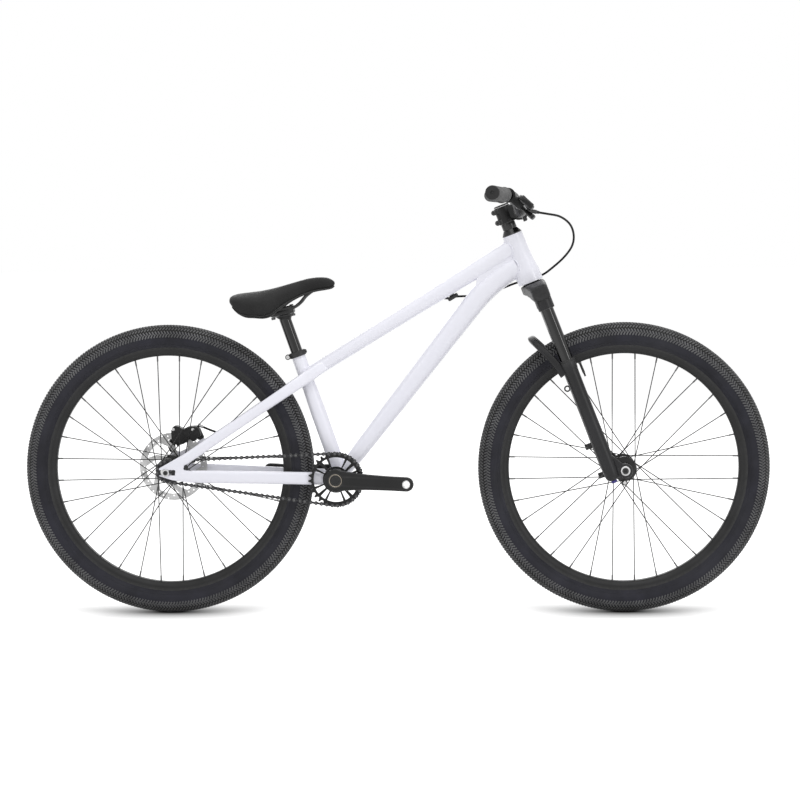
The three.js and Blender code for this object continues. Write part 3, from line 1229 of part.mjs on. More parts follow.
// Disc brake
function brakeRotor() {
  const middle = (ROTOR_DIAMETER / 2 - ROTOR_BAND + ROTOR_BOSS_DIAMETER / 2) / 2;
  const outer = ROTOR_DIAMETER / 2 - ROTOR_BAND;
  const inner = ROTOR_BOSS_DIAMETER / 2;
  const step = TURN / ROTOR_ARMS;
  const lean = step * ROTOR_ARM_SHARE;
  const windows = Array.from({ length: ROTOR_ARMS }, (unused, i) => {
    const start = i * step;
    const width = step * (1 - ROTOR_ARM_SHARE);
    return [
      [outer, start], [outer, start + width / 2], [outer, start + width], [middle, start + width - lean],
      [inner, start + width - 2 * lean], [inner, start + width / 2 - 2 * lean], [inner, start - 2 * lean],
      [middle, start - lean],
    ].map(([radius, angle]) => [radius * Math.cos(angle), radius * Math.sin(angle)]);
  });
  const low = HUB_ROTOR_SEAT + GAP;
  const disc = plate(circleOutline(ROTOR_DIAMETER, WHEEL_FACETS), low, low + ROTOR_THICKNESS, windows);
  const bore = barAlongY(ROTOR_BORE_DIAMETER, low - OVERRUN, low + OVERRUN);
  return cut(disc, bore);
}

// The caliper straddles the rotor's edge above the left seatstay. In its own frame +X runs along
// its two feet, and the origin lies on the rotor's band.
function caliperPlace() {
  const reach = ROTOR_DIAMETER / 2 - ROTOR_BAND / 3;
  const at = new THREE.Vector3(
    REAR_AXLE.x + reach * Math.cos(CALIPER_ANGLE),
    HUB_ROTOR_SEAT + GAP + ROTOR_THICKNESS / 2,
    REAR_AXLE.z + reach * Math.sin(CALIPER_ANGLE),
  );
  return new THREE.Matrix4().makeRotationY(-CALIPER_TILT).setPosition(at);
}

// The room that the rotor needs, in the rotor's own plane.
function rotorRoom() {
  const middle = HUB_ROTOR_SEAT + GAP + ROTOR_THICKNESS / 2;
  const half = CALIPER_SLOT / 2;
  const diameter = ROTOR_DIAMETER + 2 * CALIPER_SLOT;
  return barAlongY(diameter, middle - half, middle + half, REAR_AXLE.x, REAR_AXLE.z, WHEEL_FACETS);
}

function calipersFootSides() {
  const inner = DROPOUT_SPACING / 2 - GAP - CALIPER_FOOT_WIDTH;
  const plane = HUB_ROTOR_SEAT + GAP + ROTOR_THICKNESS / 2;
  return [inner - plane, inner + CALIPER_FOOT_WIDTH - plane];
}

function rearBrakeCaliper() {
  const scaled = (shares) => shares.map(([x, z]) => [x * CALIPER_LENGTH, z * CALIPER_DEPTH]);
  const half = CALIPER_WIDTH / 2;
  const body = plate(scaled(CALIPER_OUTLINE_SHARES), -half, half);
  const piston = barAlongY(
    CALIPER_PISTON_DIAMETER, -CALIPER_PISTON_REACH, CALIPER_PISTON_REACH,
    CALIPER_PISTON_SHARE * CALIPER_LENGTH, 0,
  );
  const [footInner, footOuter] = calipersFootSides();
  const feet = plate(scaled(CALIPER_FEET_SHARES), footInner, footOuter);
  const placed = joined(body, piston, feet).transform(caliperPlace().elements);
  const hoseEnd = HOSE_FRAME[HOSE_FRAME.length - 1];
  const inward = hoseEnd.clone().sub(HOSE_FRAME[HOSE_FRAME.length - 2]).normalize();
  const port = barBetween(
    hoseEnd.clone().addScaledVector(inward, GAP), hoseEnd.clone().addScaledVector(inward, PORT_LENGTH),
    PORT_DIAMETER,
  );
  return cut(joined(placed, port), rotorRoom());
}

// A tab on the left stay and dropout, which carries the caliper's two feet.
function brakeMount() {
  const [inner, outer] = calipersFootSides();
  const seat = CALIPER_FEET_SHARES[0][1] * CALIPER_DEPTH - GAP;
  const outline = BRAKE_TAB_SHARES.map(([x, z]) => [x * CALIPER_LENGTH, seat + z * BRAKE_TAB_HEIGHT]);
  const raw = plate(outline, inner, outer).transform(caliperPlace().elements);
  return cut(raw, loftedTube(seatstayStations(1), STAY_SIDES, GAP));
}

// Brake hose, from the lever round the front of the head tube to a guide under the top tube, then
// along that tube's left side and the left seatstay's outer side to the caliper. Each point
// stands off a line of marks: the whole part of its first number counts the marks that it has passed,
// and the rest says how far it is to the next one.
const HOSE_LOOP = hoseRoute([leverCentre(), HEAD_BOTTOM, topTubeEnds()[1], topTubeEnds()[0]], HOSE_LOOP_SHARES);
const HOSE_FRAME = hoseRoute([topTubeEnds()[1], topTubeEnds()[0], seatstayEnds()[0]], HOSE_FRAME_SHARES);

function hoseRoute(marks, shares) {
  return shares.map(([along, x, y, z]) => {
    const first = Math.min(Math.floor(along), marks.length - 2);
    const at = marks[first].clone().lerp(marks[first + 1], along - first);
    return at.addScaledVector(new THREE.Vector3(x, y, z), HOSE_REACH);
  });
}

// A clip under the top tube, which the hose runs through.
function hoseGuide() {
  const [rear, front] = topTubeEnds();
  const slope = Math.atan2(front.z - rear.z, front.x - rear.x);
  const at = HOSE_FRAME[2];
  const place = new THREE.Matrix4().makeRotationY(-slope).setPosition(at);
  const block = box(GUIDE_LENGTH, GUIDE_WIDTH, GUIDE_HEIGHT, 0, 0, GUIDE_HEIGHT / 2 - HOSE_DIAMETER);
  const room = roundTube(HOSE_FRAME, HOSE_DIAMETER + 2 * GAP, HOSE_FRAME_STEPS);
  const clearOfTopTube = loftedTube(topTubeStations(), TUBE_SIDES, GAP);
  return cut(block.transform(place.elements), clearOfTopTube, room);
}

// Seat: the post with its head, the rail clamp, the rails and the saddle. The rails' frame has its
// origin where the rails cross the post's axis, and its +X points along the rails.
const SADDLE_PLACE = new THREE.Matrix4().makeRotationY(-SADDLE_TILT)
  .setPosition(seatTubePoint(-RAIL_ABOVE_SEAT_TUBE));

// From the rails' frame into the seat tube's frame.
const RAILS_IN_SEAT_FRAME = SEAT_PLACE.clone().invert().multiply(SADDLE_PLACE);

function railPoints(side) {
  const half = RAIL_SPACING / 2;
  const rise = RAIL_RISE;
  return [
    [RAIL_NOSE_REACH * 0.97, half * 0.25, rise * 0.97], [RAIL_NOSE_REACH * 0.88, half * 0.5, rise * 0.88],
    [RAIL_NOSE_REACH * 0.66, half * 0.72, rise * 0.6], [RAIL_NOSE_REACH * 0.5, half * 0.86, rise * 0.26],
    [RAIL_NOSE_REACH * 0.33, half, rise * 0.04], [RAIL_NOSE_REACH * 0.1, half, 0],
    [-RAIL_TAIL_REACH * 0.25, half, 0], [-RAIL_TAIL_REACH * 0.5, half, 0],
    [-RAIL_TAIL_REACH * 0.7, half * 1.1, rise * 0.17], [-RAIL_TAIL_REACH * 0.88, half * 1.3, rise * 0.56],
    [-RAIL_TAIL_REACH, half * 1.42, rise * 1.08],
  ].map(([x, y, z]) => new THREE.Vector3(x, side * y, z));
}

function railPath() {
  const right = railPoints(-1).reverse();
  const nose = new THREE.Vector3(RAIL_NOSE_REACH, 0, RAIL_RISE);
  return [...right, nose, ...railPoints(1)];
}

function saddleRails() {
  return roundTube(railPath(), RAIL_DIAMETER, RAIL_STEPS);
}

// The rails a gap thicker and longer, for cutting their seats.
function railRoom() {
  const path = railPath();
  const last = path.length - 1;
  const beyond = (end, next) => end.clone().add(end.clone().sub(next).normalize().multiplyScalar(2 * GAP));
  const longer = [beyond(path[0], path[1]), ...path.slice(1, -1), beyond(path[last], path[last - 1])];
  return roundTube(longer, RAIL_DIAMETER + 2 * GAP, RAIL_STEPS);
}

function postBolts(diameter, low, high) {
  return [-1, 1].map((side) => barAlongZ(diameter, low, high, side * POST_BOLT_SPACING / 2, 0, SMALL_FACETS));
}

function seatpost() {
  const outer = SEATPOST_DIAMETER / 2;
  const inner = outer - SEATPOST_WALL;
  const top = RAIL_ABOVE_SEAT_TUBE - POST_HEAD_HEIGHT / 2;
  const floor = RAIL_ABOVE_SEAT_TUBE - POST_HEAD_HEIGHT * 2;
  const tube = turnedUpright([
    [0, floor], [inner, floor], [inner, -SEATPOST_INSERTION],
    [outer, -SEATPOST_INSERTION], [outer, top], [0, top],
  ]);
  const headSize = [POST_HEAD_LENGTH, POST_HEAD_WIDTH];
  const head = box(...headSize, POST_HEAD_HEIGHT, 0, 0, -GAP - POST_HEAD_HEIGHT / 2);
  const holes = postBolts(POST_BOLT_DIAMETER + 2 * GAP, -POST_HEAD_HEIGHT - OVERRUN, OVERRUN);
  const cradle = cut(head, railRoom()).transform(RAILS_IN_SEAT_FRAME.elements);
  const aboveRails = box(...headSize, POST_HEAD_LENGTH, 0, 0, POST_HEAD_LENGTH / 2 - GAP);
  const room = [...holes, aboveRails].map((tool) => tool.transform(RAILS_IN_SEAT_FRAME.elements));
  return cut(joined(tube, cradle), ...room);
}

// The upper clamp half, with its two bolts through the post's head.
function railClamp() {
  const middle = GAP + POST_CLAMP_HEIGHT / 2;
  const plateBody = box(POST_HEAD_LENGTH, POST_HEAD_WIDTH, POST_CLAMP_HEIGHT, 0, 0, middle);
  const low = -POST_HEAD_HEIGHT - POST_BOLT_DIAMETER;
  const headLow = -POST_HEAD_HEIGHT - 2 * GAP;
  const bolts = postBolts(POST_BOLT_DIAMETER, low, GAP + POST_CLAMP_HEIGHT);
  const heads = postBolts(POST_BOLT_DIAMETER * 1.7, low, headLow);
  return joined(cut(plateBody, railRoom()), ...bolts, ...heads);
}

// One ring of the saddle: a soft top over a skirt that hangs down on both sides.
function saddleRing(x, halfWidth, top, skirt) {
  const height = top - skirt;
  const underside = Math.max(1 - SADDLE_PAD / height, SADDLE_HALF_SECTION_SHARES[0][1]);
  const half = [[0, underside], [0.5, underside], ...SADDLE_HALF_SECTION_SHARES];
  const point = ([y, z], side) => new THREE.Vector3(x, side * y * halfWidth, skirt + z * height);
  const left = half.map((pair) => point(pair, 1));
  const right = half.slice(1, -1).reverse().map((pair) => point(pair, -1));
  return [...left, ...right];
}

function saddle() {
  const rings = SADDLE_STATION_SHARES.map((at, i) => saddleRing(
    at * SADDLE_LENGTH - SADDLE_TAIL_REACH,
    SADDLE_WIDTH_SHARES[i] * SADDLE_WIDTH / 2,
    SADDLE_TOP_SHARES[i] * SADDLE_HEIGHT,
    SADDLE_SKIRT_SHARES[i] * SADDLE_SKIRT,
  ));
  return cut(skinned(rings), railRoom());
}

// Cockpit, in the steering frame: +X forward, square to the steering axis, and +Z up along it.
function barCentre() {
  return new THREE.Vector3(STEM_LENGTH, 0, stemTop() - BAR_CLAMP_BELOW_STEM_TOP);
}

// The bar's path from the clamp to its end on one side.
function barPoints(side) {
  const centre = barCentre();
  return BAR_PATH_SHARES.map(([back, out, up]) => new THREE.Vector3(
    centre.x - back * BAR_SWEEP, side * out * BAR_WIDTH / 2, centre.z + up * BAR_RISE,
  ));
}

function barCurve() {
  const right = barPoints(-1).reverse();
  return new THREE.CatmullRomCurve3([...right, ...barPoints(1).slice(1)], false, "centripetal");
}

// The bar's centre where it stands a given way out to one side.
function barPointAt(y) {
  const curve = barCurve();
  let low = 0;
  let high = 1;
  for (let i = 0; i < 30; i += 1) {
    const middle = (low + high) / 2;
    if (curve.getPointAt(middle).y < y) low = middle;
    else high = middle;
  }
  return curve.getPointAt(low);
}

function barRings(steps, diameterAt, from = 0, to = 1) {
  const curve = barCurve();
  const forward = new THREE.Vector3(1, 0, 0);
  return Array.from({ length: steps + 1 }, (unused, i) => {
    const share = from + (to - from) * i / steps;
    const at = curve.getPointAt(share);
    const along = curve.getTangentAt(share);
    const sideways = forward.clone().addScaledVector(along, -along.x).normalize();
    const upward = sideways.clone().cross(along);
    const diameter = diameterAt(at.y);
    return sectionRing({ at, wide: diameter, deep: diameter, square: 2 }, sideways, upward, BAR_SIDES);
  });
}

function barDiameterAt(y) {
  const thick = STEM_BAR_CLAMP_WIDTH * 0.7;
  const thin = BAR_WIDTH * BAR_PATH_SHARES[4][1] / 2;
  const share = Math.min(Math.max((Math.abs(y) - thick) / (thin - thick), 0), 1);
  return BAR_CLAMP_DIAMETER + (BAR_END_DIAMETER - BAR_CLAMP_DIAMETER) * share;
}

function handlebar() {
  return skinned(barRings(BAR_STEPS, barDiameterAt));
}

function barRoom() {
  return skinned(barRings(BAR_STEPS, (y) => barDiameterAt(y) + 2 * GAP));
}

function gripEnds(side) {
  const outer = barPointAt(side * (BAR_WIDTH / 2 - GAP));
  const inner = barPointAt(side * (BAR_WIDTH / 2 - GRIP_LENGTH));
  const outward = outer.clone().sub(inner).normalize();
  const barEnd = barPoints(side)[BAR_PATH_SHARES.length - 1];
  const end = barEnd.clone().addScaledVector(outward, GAP + GRIP_CAP_THICKNESS);
  return [inner, end, outward];
}

// A ribbed sleeve closed over the bar's end.
function grip(side) {
  const [inner, end, outward] = gripEnds(side);
  const sleeve = barBetween(inner, end, GRIP_DIAMETER, ROUND_FACETS);
  const flangeEnd = inner.clone().addScaledVector(outward, GRIP_CAP_THICKNESS);
  const flange = barBetween(inner, flangeEnd, GRIP_DIAMETER * 1.12, ROUND_FACETS);
  const floor = end.clone().addScaledVector(outward, -GRIP_CAP_THICKNESS);
  const bore = barBetween(
    inner.clone().addScaledVector(outward, -OVERRUN), floor, BAR_END_DIAMETER + 4 * GAP, ROUND_FACETS,
  );
  return cut(joined(sleeve, flange), bore);
}

function steererBore(diameter) {
  return barAlongZ(diameter, stemBottom() - OVERRUN, stemTop() + OVERRUN);
}

// The stem, split in front where its faceplate clamps the bar.
function stemBody() {
  const centre = barCentre();
  const column = barAlongZ(STEM_CLAMP_DIAMETER, stemBottom(), stemTop());
  const half = STEM_BAR_CLAMP_WIDTH / 2;
  const barClamp = barAlongY(STEM_BAR_CLAMP_DIAMETER, -half, half, centre.x, centre.z);
  const bodyMiddle = stemTop() - STEM_BODY_HEIGHT / 2 - GAP * 4;
  const body = box(STEM_LENGTH, STEM_BODY_WIDTH, STEM_BODY_HEIGHT, STEM_LENGTH / 2, 0, bodyMiddle);
  const earMiddle = -STEM_CLAMP_DIAMETER / 2 - STEM_BOLT_DIAMETER / 3;
  const ears = stemPinchHeights().map((z) => barAlongY(
    STEM_BOLT_DIAMETER * 1.5, -STEM_PINCH_WIDTH / 2, STEM_PINCH_WIDTH / 2, earMiddle, z, SMALL_FACETS,
  ));
  const middle = (stemBottom() + stemTop()) / 2;
  const spine = box(STEM_BOLT_DIAMETER, STEM_PINCH_WIDTH / 2, STEM_CLAMP_HEIGHT * 0.8, earMiddle, 0, middle);
  return joined(column, barClamp, body, ...ears, spine);
}

function stemPinchHeights() {
  const middle = (stemBottom() + stemTop()) / 2;
  return [middle - STEM_PINCH_SPACING / 2, middle + STEM_PINCH_SPACING / 2];
}

function stemFront(clearance) {
  const centre = barCentre();
  const size = STEM_BAR_CLAMP_DIAMETER * 2;
  return box(size, size, size, centre.x + clearance + size / 2, 0, centre.z);
}

function stem() {
  return cut(stemBody(), steererBore(STEERER_DIAMETER + 2 * GAP), barRoom(), stemFront(-GAP / 2));
}

function stemFaceplate() {
  const centre = barCentre();
  const half = STEM_BAR_CLAMP_WIDTH / 2;
  const shell = barAlongY(STEM_BAR_CLAMP_DIAMETER, -half, half, centre.x, centre.z);
  const corner = STEM_BAR_CLAMP_DIAMETER / 2;
  const bolts = [[-1, -1], [-1, 1], [1, -1], [1, 1]].map(([y, z]) => {
    const out = y * (half - STEM_BOLT_DIAMETER * 0.8);
    const place = new THREE.Vector3(centre.x, out, centre.z + z * (corner - GAP));
    const ahead = place.clone().add(new THREE.Vector3(STEM_BOLT_LENGTH, 0, 0));
    return barBetween(place, ahead, STEM_BOLT_DIAMETER, 8);
  });
  return cut(joined(shell, ...bolts).intersect(stemFront(GAP / 2)), barRoom());
}

function topCap() {
  const low = stemTop() + GAP;
  const chamfer = TOP_CAP_THICKNESS / 4;
  const radius = TOP_CAP_DIAMETER / 2;
  const high = low + TOP_CAP_THICKNESS;
  return turnedUpright([
    [0, low], [radius, low], [radius, high - chamfer], [radius - chamfer, high], [0, high],
  ]);
}

// Brake lever. Its frame has its origin on the bar's axis, +X along the lever's reach, away from
// the bar, +Y to the bike's left and +Z square to both.
function leverPlace() {
  const at = barPointAt(LEVER_FROM_GRIP + GRIP_LENGTH - BAR_WIDTH / 2);
  return new THREE.Matrix4().makeRotationY(LEVER_DROP).setPosition(at);
}

function leverCentre() {
  return new THREE.Vector3().setFromMatrixPosition(leverPlace()).applyMatrix4(STEERING_PLACE);
}

function brakeLeverBody() {
  const half = LEVER_CLAMP_WIDTH / 2;
  const ring = barAlongY(LEVER_CLAMP_DIAMETER, -half, half);
  const armStart = LEVER_CLAMP_DIAMETER / 3;
  const arm = box(
    LEVER_ARM_END - armStart, LEVER_ARM_WIDTH, LEVER_ARM_HEIGHT,
    (LEVER_ARM_END + armStart) / 2, LEVER_ARM_WIDTH / 2 - half, LEVER_ARM_HEIGHT / 2 - LEVER_CHEEK * 2,
  );
  const bodyLow = LEVER_CHEEK * 2 + GAP;
  const reach = [LEVER_BODY_START, LEVER_BODY_START + LEVER_BODY_DEPTH];
  const tank = plate([
    [reach[0], bodyLow], [reach[1], bodyLow], [reach[1], bodyLow + LEVER_BODY_HEIGHT],
    [reach[0] + LEVER_BODY_HEIGHT, bodyLow + LEVER_BODY_HEIGHT], [reach[0], bodyLow + LEVER_BODY_HEIGHT / 2],
  ], LEVER_BODY_OUTER, LEVER_BODY_OUTER + LEVER_BODY_WIDTH);
  const slot = box(
    LEVER_BODY_DEPTH * 2, LEVER_BODY_WIDTH * 2, 2 * LEVER_CHEEK,
    LEVER_PIVOT_REACH - LEVER_PIVOT_BOSS / 2 - GAP + LEVER_BODY_DEPTH, 0, 0,
  );
  const pivot = [LEVER_PIVOT_REACH, LEVER_PIVOT_SIDE, SMALL_FACETS];
  const pin = barAlongZ(LEVER_PIVOT_DIAMETER, -2 * LEVER_CHEEK, bodyLow + LEVER_CHEEK, ...pivot);
  const lug = barAlongZ(LEVER_PIVOT_BOSS, -2 * LEVER_CHEEK, bodyLow + GAP, ...pivot);
  const local = joined(cut(joined(ring, arm, lug), slot), tank, pin);
  const placed = local.transform(leverPlace().elements);
  const bore = skinned(barRings(BAR_STEPS, (y) => barDiameterAt(y) + 2 * GAP));
  const hoseStart = HOSE_LOOP[0];
  const outward = hoseStart.clone().sub(HOSE_LOOP[1]).normalize();
  const port = barBetween(
    hoseStart.clone().addScaledVector(outward, GAP),
    hoseStart.clone().addScaledVector(outward, PORT_LENGTH * 1.4),
    PORT_DIAMETER,
  ).transform(STEERING_PLACE.clone().invert().elements);
  return cut(joined(placed, port), bore);
}

// The blade turns on a pin between the body's two cheeks, and its tip has a round end.
function brakeLeverBlade() {
  const stations = LEVER_BLADE_SHARES.map(([reach, out, height]) => ({
    at: new THREE.Vector3(
      LEVER_PIVOT_REACH + reach * (LEVER_REACH - LEVER_PIVOT_REACH),
      LEVER_PIVOT_SIDE - out * LEVER_BLADE_LENGTH,
      0,
    ),
    wide: LEVER_BLADE_THICKNESS,
    deep: LEVER_BLADE_HEIGHT * height,
    square: 2.6,
  }));
  const up = new THREE.Vector3(0, 0, 1);
  const rings = stations.map((station, i) => {
    const before = stations[Math.max(i - 1, 0)].at;
    const after = stations[Math.min(i + 1, stations.length - 1)].at;
    const along = after.clone().sub(before).normalize();
    return sectionRing(station, up.clone().cross(along).normalize(), up, BAR_SIDES);
  });
  const pivot = [LEVER_PIVOT_REACH, LEVER_PIVOT_SIDE, SMALL_FACETS];
  const boss = barAlongZ(LEVER_PIVOT_BOSS, GAP - LEVER_CHEEK, LEVER_CHEEK - GAP, ...pivot);
  const hole = barAlongZ(LEVER_PIVOT_DIAMETER + 2 * GAP, -LEVER_CHEEK * 2, LEVER_CHEEK * 2, ...pivot);
  return cut(joined(skinned(rings), boss), hole).transform(leverPlace().elements);
}

// Fork. The crown carries the steerer and holds both stanchions.
function legCentre(side) {
  return new THREE.Vector2(STANCHION_AHEAD_OF_AXIS, side * FORK_LEG_SPACING / 2);
}

function crownRing(share) {
  const boss = legCentre(Math.sign(share));
  const size = Math.abs(share);
  const ends = CROWN_END_SHARE;
  const topAt = -CROWN_RACE_HEIGHT - size * (CROWN_BOSS_TOP - CROWN_RACE_HEIGHT);
  const lowAt = -CROWN_DEPTH - CROWN_RACE_HEIGHT - size * CROWN_DEPTH * CROWN_DROP_SHARE;
  const wide = CROWN_CENTRE_DIAMETER + (CROWN_BOSS_DIAMETER * ends - CROWN_CENTRE_DIAMETER) * size;
  const at = new THREE.Vector3(boss.x * size, share * FORK_LEG_SPACING / 2, (topAt + lowAt) / 2);
  const station = { at, wide, deep: topAt - lowAt, square: 4 };
  return sectionRing(station, new THREE.Vector3(1, 0, 0), new THREE.Vector3(0, 0, 1), TUBE_SIDES);
}

function forkCrown() {
  const wide = STEERER_BOTTOM_DIAMETER / 2;
  const thin = STEERER_DIAMETER / 2;
  const top = stemTop() - GAP * 10;
  const bore = STEERER_BORE_DIAMETER / 2;
  const low = -CROWN_RACE_HEIGHT - CROWN_DEPTH;
  const race = LOWER_BEARING_DIAMETER / 2;
  const steerer = turnedUpright([
    [bore, low], [wide, low], [wide, -CROWN_RACE_HEIGHT], [race, -CROWN_RACE_HEIGHT],
    [race, -GAP], [wide, -GAP], [wide, BEARING_HEIGHT + GAP],
    [thin, HEAD_TUBE_LENGTH / 2], [thin, top], [bore, top], [bore, low],
  ]);
  const bridge = skinned([-1, -0.5, 0, 0.5, 1].map(crownRing));
  const bosses = [-1, 1].map((side) => {
    const centre = legCentre(side);
    return barAlongZ(CROWN_BOSS_DIAMETER, -CROWN_BOSS_BOTTOM, -CROWN_BOSS_TOP, centre.x, centre.y);
  });
  const bores = [-1, 1].map((side) => {
    const centre = legCentre(side);
    const bottom = -CROWN_BOSS_BOTTOM - OVERRUN;
    return barAlongZ(STANCHION_DIAMETER + 2 * GAP, bottom, stanchionTop() + GAP, centre.x, centre.y);
  });
  const recesses = [-1, 1].map((side) => {
    const centre = legCentre(side);
    const floor = -CROWN_BOSS_TOP - CROWN_CAP_THICKNESS;
    return barAlongZ(CROWN_CAP_DIAMETER + 2 * GAP, floor, -CROWN_RACE_HEIGHT, centre.x, centre.y);
  });
  const tube = barAlongZ(STEERER_BORE_DIAMETER, low - OVERRUN, -GAP);
  return cut(joined(cut(bridge, tube), steerer, ...bosses), ...bores, ...recesses);
}

function stanchionTop() {
  return -CROWN_BOSS_TOP - 2 * CROWN_CAP_THICKNESS;
}

function stanchion(side) {
  const centre = legCentre(side);
  const low = -STANCHION_BOTTOM;
  const tube = turnedUpright(ringProfile(STANCHION_BORE_DIAMETER, STANCHION_DIAMETER, low, stanchionTop()));
  return tube.translate(centre.x, centre.y, 0);
}

// Lower legs, in one casting with the arch behind them and the dropouts below.
function lowerLeg(side) {
  const centre = legCentre(side);
  const collar = LOWERS_COLLAR_DIAMETER / 2;
  const leg = LOWERS_LEG_DIAMETER / 2;
  const foot = LOWERS_FOOT_DIAMETER / 2;
  const length = LOWERS_BOTTOM - LOWERS_TOP;
  const profile = [
    [0, -LOWERS_BOTTOM], [foot * 0.6, -LOWERS_BOTTOM], [foot * 0.93, -LOWERS_BOTTOM + length * 0.04],
    [foot, -LOWERS_BOTTOM + length * 0.1], [foot, -LOWERS_BOTTOM + length * 0.3],
    [leg, -LOWERS_BOTTOM + length * 0.68],
    [collar, -LOWERS_TOP - length * 0.06], [collar, -LOWERS_TOP], [0, -LOWERS_TOP],
  ];
  return turnedUpright(profile).translate(centre.x, centre.y, 0);
}

function archRings() {
  const back = ARCH_BACK + STANCHION_AHEAD_OF_AXIS;
  const rise = LOWERS_TOP - ARCH_TOP + ARCH_DEPTH;
  return ARCH_PATH_SHARES.map(([x, y, z]) => new THREE.Vector3(
    STANCHION_AHEAD_OF_AXIS - x * back, y * FORK_LEG_SPACING / 2, -LOWERS_TOP - ARCH_DEPTH + z * rise,
  ));
}

function arch() {
  const path = archRings();
  const rings = path.map((at, i) => {
    const before = path[Math.max(i - 1, 0)];
    const after = path[Math.min(i + 1, path.length - 1)];
    const along = after.clone().sub(before).normalize();
    const across = new THREE.Vector3(0, along.z, -along.y).normalize();
    const deepways = across.clone().cross(along).normalize();
    const station = { at, wide: ARCH_DEPTH, deep: ARCH_THICKNESS, square: 3 };
    return sectionRing(station, across, deepways, SMALL_FACETS);
  });
  return skinned(rings);
}

// A dropout from the leg's foot forward to the axle, with a lug for its pinch bolt.
function forkDropout(side) {
  const inner = side * FRONT_DROPOUT_SPACING / 2;
  const outer = inner + side * FRONT_DROPOUT_THICKNESS;
  const axle = [FORK_OFFSET, -AXLE_TO_HEAD_TUBE];
  const radius = FRONT_DROPOUT_DIAMETER / 2;
  const leg = LOWERS_FOOT_DIAMETER / 2;
  const centre = STANCHION_AHEAD_OF_AXIS;
  const web = plate([
    [centre, axle[1] + leg * 1.6], [centre + leg * 0.8, axle[1] + leg * 1.7],
    [axle[0] + radius * 0.5, axle[1] + radius * 0.86], [axle[0] + radius * 0.2, axle[1] - radius * 0.95],
    [centre + leg * 0.7, axle[1] - radius * 0.6], [centre, axle[1] - leg * 0.3],
  ], inner, outer);
  const eye = barAlongY(FRONT_DROPOUT_DIAMETER, inner, outer, ...axle);
  const lug = barAlongY(
    PINCH_LUG_DIAMETER, inner, outer, axle[0] - PINCH_LUG_BACK, axle[1] - PINCH_LUG_DROP, SMALL_FACETS,
  );
  const neck = plate([
    [axle[0] - radius * 0.9, axle[1]], [axle[0] + radius * 0.3, axle[1] - radius * 0.8],
    [axle[0] - PINCH_LUG_BACK + PINCH_LUG_DIAMETER / 2, axle[1] - PINCH_LUG_DROP],
    [axle[0] - PINCH_LUG_BACK - PINCH_LUG_DIAMETER / 2, axle[1] - PINCH_LUG_DROP],
  ], inner, outer);
  return joined(web, eye, lug, neck);
}

// Two bosses for a front brake stand empty behind the left leg.
function emptyBrakePosts() {
  const centre = legCentre(1);
  return [BRAKE_POST_TOP, BRAKE_POST_TOP + BRAKE_POST_SPACING].map((drop, i) => {
    const reach = BRAKE_POST_REACH - i * BRAKE_POST_DIAMETER / 3;
    const from = new THREE.Vector3(centre.x, centre.y - BRAKE_POST_INSET, -drop);
    const to = new THREE.Vector3(centre.x - reach, centre.y - BRAKE_POST_INSET, -drop);
    return barBetween(from, to, BRAKE_POST_DIAMETER);
  });
}

function forkLowers() {
  const legs = [-1, 1].map(lowerLeg);
  const dropouts = [-1, 1].map(forkDropout);
  const body = joined(...legs, ...dropouts, arch(), ...emptyBrakePosts());
  const depth = STANCHION_BOTTOM + FORK_TRAVEL + OVERRUN;
  const bores = [-1, 1].map((side) => {
    const centre = legCentre(side);
    const bore = barAlongZ(STANCHION_DIAMETER + 2 * GAP, -depth, -ARCH_TOP, centre.x, centre.y);
    return joined(bore, barAlongZ(SEAL_DIAMETER + 2 * GAP, -LOWERS_TOP, -ARCH_TOP, centre.x, centre.y));
  });
  const reach = FRONT_DROPOUT_SPACING / 2 + FRONT_DROPOUT_THICKNESS + OVERRUN;
  const axleHole = barAlongY(FRONT_AXLE_DIAMETER + 2 * GAP, -reach, reach, FORK_OFFSET, -AXLE_TO_HEAD_TUBE);
  return joined(cut(body, ...bores, axleHole), forkRod(-1), forkRod(1));
}

function wiperSeal(side) {
  const centre = legCentre(side);
  const low = GAP - LOWERS_TOP;
  const ring = turnedUpright(ringProfile(STANCHION_DIAMETER + 2 * GAP, SEAL_DIAMETER, low, low + SEAL_HEIGHT));
  return ring.translate(centre.x, centre.y, 0);
}

// A rod stands on the floor of each lower leg, inside the hollow stanchion.
function forkRod(side) {
  const centre = legCentre(side);
  const low = -STANCHION_BOTTOM - FORK_TRAVEL - 2 * OVERRUN;
  return barAlongZ(FORK_ROD_DIAMETER, low, -FORK_ROD_TOP, centre.x, centre.y, 8);
}

function reboundKnob() {
  const centre = legCentre(-1);
  const top = -LOWERS_BOTTOM - GAP;
  const radius = KNOB_DIAMETER / 2;
  const low = top - KNOB_HEIGHT;
  const edge = KNOB_HEIGHT / 5;
  return turnedUpright([
    [0, top], [radius * 0.8, top], [radius, top - edge], [radius, low + edge], [radius * 0.85, low], [0, low],
  ]).translate(centre.x, centre.y, 0);
}

function frontAxle() {
  const face = FRONT_DROPOUT_SPACING / 2 + FRONT_DROPOUT_THICKNESS + GAP;
  const end = face + FRONT_AXLE_FLANGE_THICKNESS;
  const shaft = barAlongY(FRONT_AXLE_DIAMETER, -end, end);
  const flanges = [-1, 1].map((side) => barAlongY(FRONT_AXLE_FLANGE_DIAMETER, side * face, side * end));
  const sockets = [-1, 1].map((side) => barAlongY(
    FRONT_AXLE_BORE_DIAMETER, side * (end - FRONT_AXLE_BORE_DIAMETER), side * (end + OVERRUN), 0, 0, 6,
  ));
  return cut(joined(shaft, ...flanges), ...sockets);
}

// The scene. Each group stands where its pieces turn or slide.

const material = Object.fromEntries(Object.entries(FINISHES).map(([name, finish]) => (
  [name, new THREE.MeshStandardMaterial(finish)]
)));

